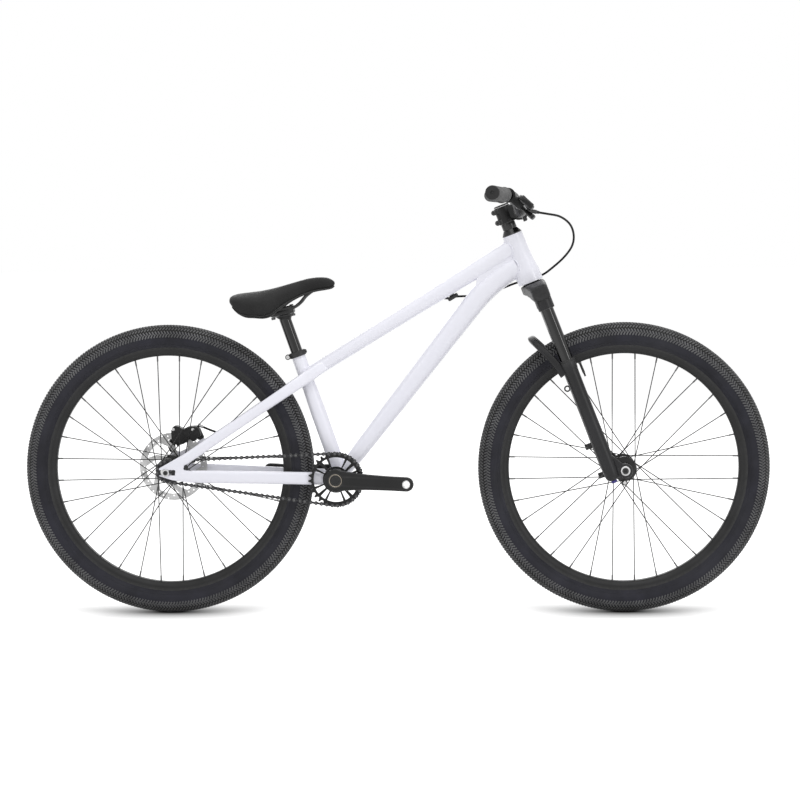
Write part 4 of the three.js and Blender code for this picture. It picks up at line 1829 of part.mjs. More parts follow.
function add(group, name, body, finish) {
  const mesh = new THREE.Mesh(geometryOf(body), material[finish]);
  mesh.name = name;
  group.add(mesh);
}

function framedGroup(place) {
  const group = new THREE.Group();
  place.decompose(group.position, group.quaternion, group.scale);
  return group;
}

const bike = new THREE.Group();

const frame = new THREE.Group();
add(frame, "top_tube", topTube(), "frame");
add(frame, "down_tube", downTube(), "frame");
add(frame, "seat_tube", seatTube(), "frame");
add(frame, "chainstay_right", chainstay(-1), "frame");
add(frame, "chainstay_left", chainstay(1), "frame");
add(frame, "seatstay_right", seatstay(-1), "frame");
add(frame, "seatstay_left", seatstay(1), "frame");
add(frame, "dropout_right", dropout(-1), "frame");
add(frame, "dropout_left", dropout(1), "frame");
add(frame, "brake_mount", brakeMount(), "frame");
add(frame, "chain_tensioner_right", chainTensioner(-1), "black");
add(frame, "chain_tensioner_left", chainTensioner(1), "black");
add(frame, "rear_brake_caliper", rearBrakeCaliper(), "black");
add(frame, "hose_guide", hoseGuide(), "black");
add(frame, "brake_hose_frame", roundTube(HOSE_FRAME, HOSE_DIAMETER, HOSE_FRAME_STEPS), "black");
add(frame, "chain", chain(), "chain");
bike.add(frame);

const bottomBracket = new THREE.Group();
bottomBracket.position.copy(BB_CENTRE);
add(bottomBracket, "bottom_bracket_shell", bottomBracketShell(), "frame");
add(bottomBracket, "bb_cup_right", bottomBracketCup(-1), "anodised");
add(bottomBracket, "bb_cup_left", bottomBracketCup(1), "anodised");
add(bottomBracket, "crank_spindle", crankSpindle(), "steel");
add(bottomBracket, "crank_arm_right", crankArm(-1), "black");
add(bottomBracket, "crank_arm_left", crankArm(1), "black");
add(bottomBracket, "chainring", chainring(), "anodised");
bike.add(bottomBracket);

const rearWheel = new THREE.Group();
rearWheel.position.copy(REAR_AXLE);
add(rearWheel, "rear_tyre", tyre(), "tyre");
add(rearWheel, "rear_rim", rim(), "black");
add(rearWheel, "rear_hub_and_spokes", rearHub(), "black");
add(rearWheel, "rear_brake_rotor", brakeRotor(), "steel");
add(rearWheel, "freewheel_body", freewheelBody(), "steel");
add(rearWheel, "cog", cog(), "chain");
add(rearWheel, "rear_axle", rearAxle(), "steel");
bike.add(rearWheel);

const frontWheel = new THREE.Group();
frontWheel.position.copy(FRONT_AXLE);
add(frontWheel, "front_tyre", tyre(), "tyre");
add(frontWheel, "front_rim", rim(), "black");
add(frontWheel, "front_hub_and_spokes", frontHub(), "black");
add(frontWheel, "front_axle", frontAxle(), "steel");
bike.add(frontWheel);

const seat = framedGroup(SEAT_PLACE);
add(seat, "seat_clamp", seatClamp(), "black");
add(seat, "seatpost", seatpost(), "black");
bike.add(seat);

const saddleTop = framedGroup(SADDLE_PLACE);
add(saddleTop, "rail_clamp", railClamp(), "black");
add(saddleTop, "saddle_rails", saddleRails(), "black");
add(saddleTop, "saddle", saddle(), "saddle");
bike.add(saddleTop);

const steering = framedGroup(STEERING_PLACE);
add(steering, "head_tube", headTube(), "frame");
add(
  steering,
  "headset_lower_bearing",
  headsetBearing(LOWER_BEARING_DIAMETER, STEERER_BOTTOM_DIAMETER + 4 * GAP, 0),
  "steel",
);
add(
  steering,
  "headset_upper_bearing",
  headsetBearing(UPPER_BEARING_DIAMETER, STEERER_DIAMETER + 4 * GAP, HEAD_TUBE_LENGTH - BEARING_HEIGHT),
  "steel",
);
add(steering, "headset_cover", headsetCover(), "black");
add(steering, "headset_spacer", headsetSpacer(), "black");
add(steering, "stem", stem(), "black");
add(steering, "stem_faceplate", stemFaceplate(), "black");
add(steering, "top_cap", topCap(), "black");
add(steering, "handlebar", handlebar(), "black");
add(steering, "grip_right", grip(-1), "grip");
add(steering, "grip_left", grip(1), "grip");
add(steering, "brake_lever_body", brakeLeverBody(), "black");
add(steering, "brake_lever_blade", brakeLeverBlade(), "black");
add(steering, "fork_crown", forkCrown(), "fork");
add(steering, "stanchion_right", stanchion(-1), "anodised");
add(steering, "stanchion_left", stanchion(1), "anodised");
add(steering, "fork_lowers", forkLowers(), "fork");
add(steering, "fork_seal_right", wiperSeal(-1), "black");
add(steering, "fork_seal_left", wiperSeal(1), "black");
add(steering, "rebound_knob", reboundKnob(), "knob");
bike.add(steering);

const hose = new THREE.Group();
add(hose, "brake_hose_loop", roundTube(HOSE_LOOP, HOSE_DIAMETER, HOSE_LOOP_STEPS), "black");
bike.add(hose);

export default bike;
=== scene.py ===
# %% [markdown]
# # A dirt jump bike
# This lesson dresses the bare solids of a dirt jump bike: 26 inch wheels, one gear, a short fork and
# a rear disc brake. The solids already stand in the right places and know how they move, so each
# step below makes one fine surface around them and says which body it rides on.

# %% Load the frame
import math

import bmesh
import bpy
from mathutils import Matrix, Vector


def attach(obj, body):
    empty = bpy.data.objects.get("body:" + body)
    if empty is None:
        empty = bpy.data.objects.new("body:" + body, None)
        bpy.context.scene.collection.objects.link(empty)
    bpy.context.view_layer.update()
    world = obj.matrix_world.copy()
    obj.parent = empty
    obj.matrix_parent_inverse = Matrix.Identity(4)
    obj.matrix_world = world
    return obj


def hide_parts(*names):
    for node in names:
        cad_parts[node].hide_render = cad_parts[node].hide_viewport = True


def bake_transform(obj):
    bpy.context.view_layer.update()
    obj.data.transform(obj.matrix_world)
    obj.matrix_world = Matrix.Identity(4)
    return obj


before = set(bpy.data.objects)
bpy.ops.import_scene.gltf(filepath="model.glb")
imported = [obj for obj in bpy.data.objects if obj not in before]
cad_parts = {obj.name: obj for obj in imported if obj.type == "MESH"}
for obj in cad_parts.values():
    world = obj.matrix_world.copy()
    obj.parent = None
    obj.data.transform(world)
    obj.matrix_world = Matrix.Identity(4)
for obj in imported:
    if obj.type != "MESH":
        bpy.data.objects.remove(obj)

for leftover in ("Cube", "Light", "Camera"):
    if leftover in bpy.data.objects:
        bpy.data.objects.remove(bpy.data.objects[leftover])
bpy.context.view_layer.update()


def in_scene(name, data):
    """An object that holds some data, linked into the scene."""
    made = bpy.data.objects.new(name, data)
    bpy.context.collection.objects.link(made)
    return made

# %% [markdown]
# ## Camera
# The photograph was taken from the chain side, from about five metres away and a little under the
# saddle's height. A long lens keeps both wheels round, so the camera has one too, and it leans by
# the small angles that put both axles where the photograph has them.

# %% Camera
CAMERA_PLACE = Vector((0.1954, -4.9431, 0.9286))
CAMERA_YAW = 0.0374
CAMERA_PITCH = 0.0871
CAMERA_ROLL = -0.0080
CAMERA_LENS = 96.29


def camera_matrix():
    ahead = Vector((
        -math.sin(CAMERA_YAW) * math.cos(CAMERA_PITCH),
        math.cos(CAMERA_YAW) * math.cos(CAMERA_PITCH),
        -math.sin(CAMERA_PITCH),
    ))
    level = Vector((math.cos(CAMERA_YAW), math.sin(CAMERA_YAW), 0))
    upright = level.cross(ahead)
    right = level * math.cos(CAMERA_ROLL) + upright * math.sin(CAMERA_ROLL)
    up = upright * math.cos(CAMERA_ROLL) - level * math.sin(CAMERA_ROLL)
    turn = Matrix((right, up, -ahead)).transposed().to_4x4()
    return Matrix.Translation(CAMERA_PLACE) @ turn


camera_data = bpy.data.cameras.new("camera")
camera_data.lens = CAMERA_LENS
camera = in_scene("camera", camera_data)
camera.matrix_world = camera_matrix()
bpy.context.scene.camera = camera
bpy.context.scene.view_settings.view_transform = "Standard"
print("camera", round((camera.location - Vector((0, 0, 0.4))).length, 2), "m from the bike")

# %% [markdown]
# ## Light and floor
# A product photograph on white is lit from everywhere, with a little more from above. The world
# gives the even part, a wide lamp above gives the tubes their shading, and two tall lamps in
# front draw bright lines down each glossy tube. One more behind lights the far side. The camera
# sees the world as pure white. The floor is white too, and it glows a little for the camera only,
# so it blends into the background. In an oval under each tyre the glow fades and the floor's colour
# is painted darker, a painted shadow under each tyre. World, floor and finishes are all node trees,
# so a few short helpers for nodes come first.

# %% Node helpers
def feed(tree, socket, value):
    """An input takes a number or a colour, or else the output of another node."""
    if isinstance(value, bpy.types.NodeSocket):
        tree.links.new(value, socket)
    else:
        socket.default_value = value


def node(tree, kind, inputs=None, **settings):
    """A new node with its settings and with something fed to its inputs."""
    made = tree.nodes.new("ShaderNode" + kind)
    for setting, value in settings.items():
        setattr(made, setting, value)
    for socket, value in (inputs or {}).items():
        feed(tree, made.inputs[socket], value)
    return made


def maths(tree, operation, first, second):
    return node(tree, "Math", {0: first, 1: second}, operation=operation).outputs[0]


def ramp(tree, value, low, high, low_at=0.3, high_at=0.7):
    """A colour between two others, for a value between two places."""
    made = node(tree, "ValToRGB", {"Fac": value})
    for stop, at, colour in zip(made.color_ramp.elements, (low_at, high_at), (low, high)):
        stop.position = at
        stop.color = colour
    return made.outputs["Color"]


def new_material(name):
    material = bpy.data.materials.new(name)
    material.use_nodes = True
    return material, material.node_tree, material.node_tree.nodes["Principled BSDF"]

# %% World and lamps
WORLD_LEVEL = 0.52
TOP_LAMP_WATTS = 62
FRONT_LAMP_WATTS = 32
BACK_LAMP_WATTS = 45
BLACK = (0, 0, 0, 1)
WHITE = (1, 1, 1, 1)


def white_for_camera(tree):
    """A value that is 1 for rays from the camera, and for those that gloss or glass sends on."""
    path = node(tree, "LightPath").outputs
    either = maths(tree, "MAXIMUM", path["Is Camera Ray"], path["Is Glossy Ray"])
    return maths(tree, "MAXIMUM", either, path["Is Transmission Ray"])


def soft_lamp(name, place, aim_height, wide, tall, watts):
    """A rectangular lamp that looks at the middle of the bike from its place."""
    data = bpy.data.lights.new(name, "AREA")
    data.shape = "RECTANGLE"
    data.size = wide
    data.size_y = tall
    data.energy = watts
    lamp = in_scene(name, data)
    lamp.location = place
    way = Vector((0, 0, aim_height)) - Vector(place)
    lamp.rotation_euler = way.to_track_quat("-Z", "Y").to_euler()


world = bpy.data.worlds.new("studio")
world.use_nodes = True
tree = world.node_tree
lit = tree.nodes["Background"]
feed(tree, lit.inputs["Color"], WHITE)
feed(tree, lit.inputs["Strength"], WORLD_LEVEL)
seen = node(tree, "Background", {"Color": WHITE, "Strength": 1.0})
mix = node(tree, "MixShader", {"Fac": white_for_camera(tree), 1: lit.outputs[0], 2: seen.outputs[0]})
feed(tree, tree.nodes["World Output"].inputs["Surface"], mix.outputs[0])
bpy.context.scene.world = world
soft_lamp("top_lamp", (0.2, -1.2, 3.6), 0.4, 3.2, 3.2, TOP_LAMP_WATTS)
soft_lamp("right_lamp", (3.4, -2.6, 1.5), 0.5, 0.4, 2.8, FRONT_LAMP_WATTS)
soft_lamp("left_lamp", (-3.4, -2.6, 1.5), 0.5, 0.3, 2.8, FRONT_LAMP_WATTS * 0.6)
soft_lamp("back_lamp", (0, 4.2, 2.4), 0.5, 3, 3, BACK_LAMP_WATTS)
print("world level", WORLD_LEVEL)

# %% Floor
FLOOR_HALF = 30
FLOOR_GLOW = 0.56
AXLE_AHEAD = 0.53
SHADOW_REACH = 0.34
SHADOW_DEPTH = 0.16
SHADOW_FULL = 0.85


def outside_painted_shadow(tree):
    """A value that is 1 on the open floor and fades to 0 in a long oval under each tyre, where a shadow is
    painted.
    """
    value = None
    where = node(tree, "TexCoord").outputs["Object"]
    for x in (-AXLE_AHEAD, AXLE_AHEAD):
        mapping = node(tree, "Mapping", {
            "Vector": where, "Location": (-x / SHADOW_REACH, 0, 0),
            "Scale": (1 / SHADOW_REACH, 1 / SHADOW_DEPTH, 1),
        })
        ball = node(tree, "TexGradient", {"Vector": mapping.outputs[0]}, gradient_type="QUADRATIC_SPHERE")
        spans = {"Value": ball.outputs["Fac"], "From Max": SHADOW_FULL, "To Min": 1, "To Max": 0}
        clear = node(tree, "MapRange", spans).outputs["Result"]
        value = clear if value is None else maths(tree, "MULTIPLY", value, clear)
    return value


mesh = bpy.data.meshes.new("floor")
corners = [(x * FLOOR_HALF, y * FLOOR_HALF, 0) for x, y in ((-1, -1), (1, -1), (1, 1), (-1, 1))]
mesh.from_pydata(corners, [], [(0, 1, 2, 3)])
floor = in_scene("floor", mesh)
material, tree, shader = new_material("floor_white")
# The floor's colour and its glow fade together in these ovals: a painted shadow under each tyre.
clear = outside_painted_shadow(tree)
glow = maths(tree, "MULTIPLY", white_for_camera(tree), maths(tree, "MULTIPLY", clear, FLOOR_GLOW))
looks = {
    "Base Color": ramp(tree, clear, (0.06, 0.06, 0.06, 1), (0.86, 0.86, 0.86, 1), 0, 1), "Roughness": 1.0,
    "Specular IOR Level": 0.0, "Emission Color": WHITE, "Emission Strength": glow,
}
for socket, value in looks.items():
    feed(tree, shader.inputs[socket], value)
material.cycles.emission_sampling = "NONE"
mesh.materials.append(material)
print("floor laid", 2 * FLOOR_HALF, "m wide")

# %% [markdown]
# ## Places
# Every size below is in millimetres, as on a maker's drawing. A place is a matrix that turns such a
# drawing into the bike's own frame in metres. The fork and the bar are drawn about the steering
# axis, the post about the seat tube, and the saddle along its rails.

# %% Places
MM = 0.001
DEGREE = math.pi / 180
TURN = 2 * math.pi
AHEAD = Vector((1, 0, 0))
LEFT = Vector((0, 1, 0))
UP = Vector((0, 0, 1))
SIDES = ((-1, "right"), (1, "left"))
WHEEL_BASE = 1055.2
WHEEL_RADIUS = 337.5
HEAD_TILT = 21.2 * DEGREE
SEAT_TILT = 19.05 * DEGREE
SADDLE_TILT = 11.5 * DEGREE
AXLE_TO_HEAD_TUBE = 478.5
FORK_OFFSET = 43
CHAINSTAY_LENGTH = 391.2
BB_DROP = 20.4
SEAT_TUBE_AHEAD_OF_BB = 10
SEAT_TUBE_LENGTH = 308.5
RAIL_ABOVE_SEAT_TUBE = 103.5

FRONT_AXLE = Vector((WHEEL_BASE / 2, 0, WHEEL_RADIUS))
REAR_AXLE = Vector((-WHEEL_BASE / 2, 0, WHEEL_RADIUS))
BB_CENTRE = REAR_AXLE + Vector((math.sqrt(CHAINSTAY_LENGTH**2 - BB_DROP**2), 0, -BB_DROP))
STEER_FORWARD = Vector((math.cos(HEAD_TILT), 0, math.sin(HEAD_TILT)))
STEER_UP = Vector((-math.sin(HEAD_TILT), 0, math.cos(HEAD_TILT)))
HEAD_BOTTOM = FRONT_AXLE - STEER_FORWARD * FORK_OFFSET + STEER_UP * AXLE_TO_HEAD_TUBE
SEAT_UP = Vector((-math.sin(SEAT_TILT), 0, math.cos(SEAT_TILT)))
SEAT_TUBE_TOP = BB_CENTRE + Vector((SEAT_TUBE_AHEAD_OF_BB, 0, 0)) + SEAT_UP * SEAT_TUBE_LENGTH


def place_at(origin, lean=0.0):
    """Millimetres about a point, leaned back by an angle, to metres in the bike's frame."""
    return Matrix.Scale(MM, 4) @ Matrix.Translation(origin) @ Matrix.Rotation(-lean, 4, "Y")


WORLD = place_at(Vector((0, 0, 0)))
AT_STEERING = place_at(HEAD_BOTTOM, HEAD_TILT)
AT_SEAT = place_at(SEAT_TUBE_TOP, SEAT_TILT)
AT_RAILS = place_at(SEAT_TUBE_TOP + SEAT_UP * RAIL_ABOVE_SEAT_TUBE, SADDLE_TILT)
AT_BB = place_at(BB_CENTRE)
AT_REAR = place_at(REAR_AXLE)
AT_FRONT = place_at(FRONT_AXLE)
print("head tube foot", [round(v, 1) for v in HEAD_BOTTOM])

# %% [markdown]
# ## Making meshes
# Most of a bike is drawn tube, turned alloy and cut plate. So three helpers make most of it: a skin
# over a row of rings, a profile turned about an axis, and a flat outline with holes that is given a
# thickness and a fine bevel. Each draws on one shared board, and a last helper takes the drawing
# off it as a piece that rides on its body.

# %% Rings and skins
board = bmesh.new()  # every helper draws here, and a piece takes its drawing off


def oval(at, across, upward, wide, deep, square=2.0, count=32):
    """A ring of points round a centre. A square over 2 makes an oval's sides flatter."""
    middle = Vector(at)
    power = 2 / square
    ring = []
    for i in range(count):
        angle = (i + 0.5) * TURN / count
        c, s = math.cos(angle), math.sin(angle)
        x = math.copysign(abs(c) ** power, c) * wide / 2
        y = math.copysign(abs(s) ** power, s) * deep / 2
        ring.append(middle + across * x + upward * y)
    return ring


def skin(rings, closed=False, caps=True):
    """Quads between rings of equal counts, with a fan over each end."""
    loops = [[board.verts.new(point) for point in ring] for ring in rings]
    count = len(rings[0])
    pairs = list(zip(loops, loops[1:]))
    if closed:
        pairs.append((loops[-1], loops[0]))
    for first, second in pairs:
        for i in range(count):
            j = (i + 1) % count
            board.faces.new((first[i], first[j], second[j], second[i]))
    if caps and not closed:
        for ring, order in ((loops[0], -1), (loops[-1], 1)):
            board.faces.new(ring[::order])

# %% Paths and rods
def smooth_values(marks, steps):
    """Points along a centripetal curve through the given ones, as a hose or a drawn tube runs."""
    points = [Vector(mark) for mark in marks]
    padded = [points[0] * 2 - points[1], *points, points[-1] * 2 - points[-2]]
    spans = [padded[i:i + 4] for i in range(len(points) - 1)]
    result = []
    for step in range(steps + 1):
        along = min(step / steps * len(spans), len(spans) - 1e-6)
        p0, p1, p2, p3 = spans[int(along)]
        gaps = [max((b - a).length, 1e-6) ** 0.5 for a, b in ((p0, p1), (p1, p2), (p2, p3))]
        t1 = gaps[0]
        t2 = t1 + gaps[1]
        t3 = t2 + gaps[2]
        t = t1 + (along % 1) * gaps[1]
        a1 = p0 * ((t1 - t) / t1) + p1 * (t / t1)
        a2 = p1 * ((t2 - t) / gaps[1]) + p2 * ((t - t1) / gaps[1])
        a3 = p2 * ((t3 - t) / gaps[2]) + p3 * ((t - t2) / gaps[2])
        b1 = a1 * ((t2 - t) / t2) + a2 * (t / t2)
        b2 = a2 * ((t3 - t) / (t3 - t1)) + a3 * ((t - t1) / (t3 - t1))
        result.append(b1 * ((t2 - t) / gaps[1]) + b2 * ((t - t1) / gaps[1]))
    return result


def directions(path):
    """The way a path runs at each of its points."""
    last = len(path) - 1
    return [(path[min(i + 1, last)] - path[max(i - 1, 0)]).normalized() for i in range(len(path))]


def round_rod(path, radius, count=12, ends=True):
    """A round tube along a path. radius is a number, or a function of the share of its way."""
    path = [Vector(point) for point in path]
    ways = directions(path)
    upward = UP if abs(ways[0].z) < 0.9 else AHEAD
    rings = []
    for i, (at, way) in enumerate(zip(path, ways)):
        across = upward.cross(way).normalized()
        upward = way.cross(across).normalized()
        r = radius(i / (len(path) - 1)) if callable(radius) else radius
        rings.append(oval(at, across, upward, 2 * r, 2 * r, count=count))
    skin(rings, caps=ends)

# %% Turned shapes
def polar(radius, angle):
    """The place of a point at an angle round a centre."""
    return radius * math.cos(angle), radius * math.sin(angle)


def turned(profile, axis="Z", at=(0, 0, 0), count=48, closed=False):
    """A profile of radius and height pairs, turned about an axis through a point."""
    centre = Vector(at)
    to_axis = {"Z": Matrix.Identity(3), "Y": Matrix.Rotation(-math.pi / 2, 3, "X"),
               "X": Matrix.Rotation(math.pi / 2, 3, "Y")}[axis]
    rows = []
    for radius, height in profile:
        if radius < 1e-6:
            rows.append([board.verts.new(centre + to_axis @ Vector((0, 0, height)))])
            continue
        row = []
        for i in range(count):
            angle = i * TURN / count
            point = Vector((*polar(radius, angle), height))
            row.append(board.verts.new(centre + to_axis @ point))
        rows.append(row)
    pairs = list(zip(rows, rows[1:]))
    if closed:
        pairs.append((rows[-1], rows[0]))
    for first, second in pairs:
        for i in range(count):
            j = (i + 1) % count
            face = [first[i % len(first)], first[j % len(first)]]
            face += [second[j % len(second)], second[i % len(second)]]
            corners = list(dict.fromkeys(face))
            if len(corners) > 2:
                board.faces.new(corners)

# %% Rounded corners
def corner(before, middle, after, radius, share, steps):
    """The points of a curve that rounds a corner, by no more than a share of its shorter side."""
    p, c, n = Vector(before), Vector(middle), Vector(after)
    reach = min(radius, (p - c).length * share, (n - c).length * share)
    start = c + (p - c).normalized() * reach
    end = c + (n - c).normalized() * reach
    shares = [i / steps for i in range(steps + 1)]
    return [tuple(start * (1 - t) ** 2 + c * 2 * t * (1 - t) + end * t**2) for t in shares]


def small_pad(low, high):
    """A small raised pad between a foot and a top of four corners each."""
    foot = [board.verts.new(point) for point in low]
    top = [board.verts.new(point) for point in high]
    board.faces.new(top)
    for a in range(4):
        b = (a + 1) % 4
        board.faces.new((foot[a], foot[b], top[b], top[a]))


def rounded(profile, radius, steps=3):
    """The same open profile with each inner corner rounded."""
    result = [profile[0]]
    for before, middle, after in zip(profile, profile[1:], profile[2:]):
        result += corner(before, middle, after, radius, 0.5, steps)
    return result + [profile[-1]]

# %% Plates
def plate(outline, near, far, holes=(), bevel=0.4, place=None):
    """A flat outline of x, z pairs with holes, between two planes of equal y, with bevelled edges."""
    curve = bpy.data.curves.new("outline", "CURVE")
    curve.dimensions = "2D"
    curve.fill_mode = "BOTH"
    for points in (outline, *holes):
        spline = curve.splines.new("POLY")
        spline.points.add(len(points) - 1)
        for point, (x, z) in zip(spline.points, points):
            point.co = (x, z, 0, 1)
        spline.use_cyclic_u = True
    curve.bevel_depth = bevel
    curve.bevel_resolution = 1
    curve.offset = -bevel
    curve.extrude = abs(far - near) / 2 - bevel
    holder = bpy.data.objects.new("outline", curve)
    mesh = bpy.data.meshes.new_from_object(holder)
    stand = Matrix.Translation((0, (near + far) / 2, 0)) @ Matrix.Rotation(math.pi / 2, 4, "X")
    mesh.transform(stand if place is None else place @ stand)
    board.from_mesh(mesh)
    bpy.data.objects.remove(holder)
    bpy.data.curves.remove(curve)
    bpy.data.meshes.remove(mesh)


def circle(radius, count=48, at=(0, 0)):
    points = [polar(radius, i * TURN / count) for i in range(count)]
    return [(at[0] + x, at[1] + z) for x, z in points]

# %% Bolts and nuts
def facing(at, way):
    """A place at a point, with its Z along a way."""
    return Matrix.Translation(at) @ Vector(way).to_track_quat("Z", "Y").to_matrix().to_4x4()


def socket_bolt(at, way, radius, height, count=24):
    """A round bolt head with a six-sided socket, standing on a point and looking along a way."""
    spot = facing(at, way)
    rim = radius * 0.86
    key = radius * 0.52

    def ring(r, z, six=False):
        points = []
        for i in range(count):
            angle = i * TURN / count
            reach = r / math.cos(angle % (math.pi / 3) - math.pi / 6) if six else r
            points.append(spot @ Vector((*polar(reach, angle), z)))
        return points

    skin([
        ring(radius, 0), ring(radius, height * 0.8), ring(rim, height),
        ring(key * 1.12, height, True), ring(key, height * 0.9, True), ring(key, height * 0.35, True),
    ])


def hex_nut(at, way, radius, height):
    """A six-sided nut with its corners turned down."""
    spot = facing(at, way)

    def ring(r, z):
        return [spot @ Vector((x, y, z)) for x, y in circle(r, 6)]

    skin([ring(radius, 0), ring(radius, height * 0.8), ring(radius * 0.88, height)])


def mesh_of(name, place):
    """The drawing comes off the board as a mesh in metres, and the board is blank again."""
    global board
    bmesh.ops.recalc_face_normals(board, faces=board.faces)
    mesh = bpy.data.meshes.new(name)
    board.to_mesh(mesh)
    board.free()
    board = bmesh.new()
    mesh.transform(place)
    return mesh


def piece(name, finish, body, place=WORLD, stands_for=(), sharp=35):
    """What is drawn on the board becomes a piece of the bike, which rides on its body."""
    mesh = mesh_of(name, place)
    mesh.materials.append(finish)
    mesh.shade_smooth()
    mesh.set_sharp_from_angle(angle=sharp * DEGREE)
    made = in_scene(name, mesh)
    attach(made, body)
    if stands_for:
        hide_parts(*stands_for)


print("helpers are ready")

# %% [markdown]
# ## Finishes
# Nothing on a bike is one flat colour. Paint has a fine orange peel, anodised alloy shows the lines
# of its turning, rubber is dusty, and steel is worn bright where it rubs. So one helper builds every
# finish the same way: a colour that drifts between two shades in soft patches, a roughness that
# drifts too, a fine bump, and a paler tone where an edge has been rubbed. All of it comes from noise
# in the object's own space, so it moves with the piece and needs no unwrapping.

# %% Colours, noise and bumps
def grey(level, blue=0.0):
    """A colour from a screen level of 0 to 255, a little bluer if asked."""
    value = (level / 255) ** 2.2
    return (value, value, value * (1 + blue), 1)


def noise(tree, where, scale, detail=4.0, stretch=None):
    """A soft grey pattern. stretch squeezes it along an axis to make lines."""
    if stretch:
        where = node(tree, "Mapping", {"Vector": where, "Scale": stretch}).outputs["Vector"]
    return node(tree, "TexNoise", {"Vector": where, "Scale": scale, "Detail": detail}).outputs["Fac"]


def blend_colours(tree, share, first, second):
    return node(tree, "Mix", {"Factor": share, "A": first, "B": second}, data_type="RGBA").outputs["Result"]


def bump_up(tree, value, distance, strength=1.0, under=None):
    """A surface that stands out where the value is high, over another bump if there is one."""
    inputs = {"Strength": strength, "Distance": distance, "Height": value}
    if under is not None:
        inputs["Normal"] = under
    return node(tree, "Bump", inputs).outputs["Normal"]

# %% The finish helper
def finish(name, slot, dark, light, rough, metal=0.0, patch=14, grain=900, bump=0.00004, worn=None,
           coat=0.0, sheen=0.0, stretch=None, specular=0.5):
    """A named finish: its material slot, which is not used, two shades, a span of roughness, a grain and a
    worn edge.
    """
    material, tree, shader = new_material(name)
    where = node(tree, "TexCoord").outputs["Object"]
    colour = ramp(tree, noise(tree, where, patch), dark, light)
    fine = noise(tree, where, grain, 3, stretch)
    if worn:
        edge = node(tree, "NewGeometry").outputs["Pointiness"]
        rubbed = ramp(tree, edge, BLACK, WHITE, 0.53, 0.6)
        broken = maths(tree, "MULTIPLY", rubbed, noise(tree, where, patch * 9))
        colour = blend_colours(tree, broken, colour, worn)
    drift = {"Value": noise(tree, where, patch * 3), "To Min": rough[0], "To Max": rough[1]}
    looks = {
        "Base Color": colour, "Roughness": node(tree, "MapRange", drift).outputs["Result"],
        "Normal": bump_up(tree, fine, bump), "Metallic": metal, "Coat Weight": coat, "Coat Roughness": 0.08,
        "Specular IOR Level": specular, "Sheen Weight": sheen,
    }
    for socket, value in looks.items():
        feed(tree, shader.inputs[socket], value)
    return material


def reopen(material):
    """A finish's node tree, its shader and its place output, to build more on."""
    tree = material.node_tree
    where = next(each for each in tree.nodes if each.type == "TEX_COORD")
    return tree, tree.nodes["Principled BSDF"], where.outputs["Object"]

# %% Paints and alloys
PALE_LILAC = (0.82, 0.82, 0.9, 1)
WHITE_PAINT = (0.86, 0.86, 0.93, 1)
frame_paint = finish(
    "frame_paint", "frame_paint", PALE_LILAC, WHITE_PAINT, (0.28, 0.38), patch=3, grain=260,
    bump=0.0000012, coat=0.3,
)
weld_paint = finish(
    "weld_paint", "frame_paint", PALE_LILAC, WHITE_PAINT, (0.3, 0.4), patch=60, grain=600, bump=0.00006,
    coat=0.3,
)
satin_black = finish(
    "satin_black", "black_alloy", grey(15), grey(26, 0.06), (0.32, 0.46), patch=18, grain=1400,
    bump=0.00002, worn=grey(90), specular=0.28,
)
turned_black = finish(
    "turned_black", "black_alloy", grey(14), grey(26, 0.05), (0.16, 0.28), patch=24, grain=500,
    bump=0.00001, worn=grey(120), stretch=(1, 9, 1), specular=0.4,
)
rim_black = finish(
    "rim_black", "black_alloy", grey(26), grey(38, 0.05), (0.4, 0.55), patch=20, grain=1200, bump=0.00002,
    worn=grey(96), specular=0.3,
)
crank_black = finish(
    "crank_black", "black_alloy", grey(18), grey(30, 0.04), (0.3, 0.44), patch=16, grain=1600,
    bump=0.00003, worn=grey(100), specular=0.3,
)
fork_paint = finish(
    "fork_paint", "fork_paint", grey(27, 0.08), grey(38, 0.12), (0.34, 0.46), patch=12, grain=1500,
    bump=0.00002, worn=grey(84), specular=0.3,
)
stanchion_black = finish(
    "stanchion_black", "stanchion_finish", grey(4), grey(9, 0.08), (0.07, 0.12), patch=30, grain=700,
    bump=0.0000005, stretch=(1, 1, 6), specular=0.55,
)
knob_blue = finish(
    "knob_blue", "knob_finish", (0.03, 0.025, 0.14, 1), (0.05, 0.04, 0.2, 1), (0.25, 0.4), metal=0.7,
    patch=60, grain=900, worn=(0.2, 0.2, 0.35, 1),
)
print("paints and alloys are ready")

# %% [markdown]
# Steel parts are metal through and through, so their shades are lighter and their metalness is one.
# The chain is nearly black in its hollows and bright where its plates rub. Plastics and rubber are
# not metal: their shades are dark, rough and faintly blue, with a coarser grain.

# %% Steels, plastics and rubber
bright_steel = finish(
    "bright_steel", "bright_steel", grey(176), grey(206), (0.2, 0.36), metal=1.0, patch=40, grain=600,
    bump=0.00002, stretch=(1, 7, 1),
)
rotor_steel = finish(
    "rotor_steel", "bright_steel", grey(160), grey(196), (0.26, 0.42), metal=1.0, patch=50, grain=300,
    bump=0.00002, stretch=(1, 1, 1),
)
chain_steel = finish(
    "chain_steel", "chain_steel", grey(34, 0.08), grey(62, 0.08), (0.3, 0.5), metal=0.7, patch=220,
    grain=900, bump=0.00002, worn=grey(130),
)
bronze_ring = finish(
    "bronze_ring", "bright_steel", (0.2, 0.175, 0.15, 1), (0.3, 0.27, 0.23, 1), (0.2, 0.34), metal=1.0,
    patch=60, grain=500,
)
spoke_black = finish(
    "spoke_black", "dark_steel", grey(16), grey(28), (0.25, 0.4), metal=0.3, patch=60, grain=900,
    bump=0.00001,
)
dark_steel = finish(
    "dark_steel", "dark_steel", grey(40), grey(60), (0.3, 0.45), metal=0.6, patch=40, grain=900,
    worn=grey(130),
)
black_plastic = finish(
    "black_plastic", "black_plastic", grey(28), grey(38), (0.48, 0.66), patch=40, grain=1800,
    bump=0.00003,
)
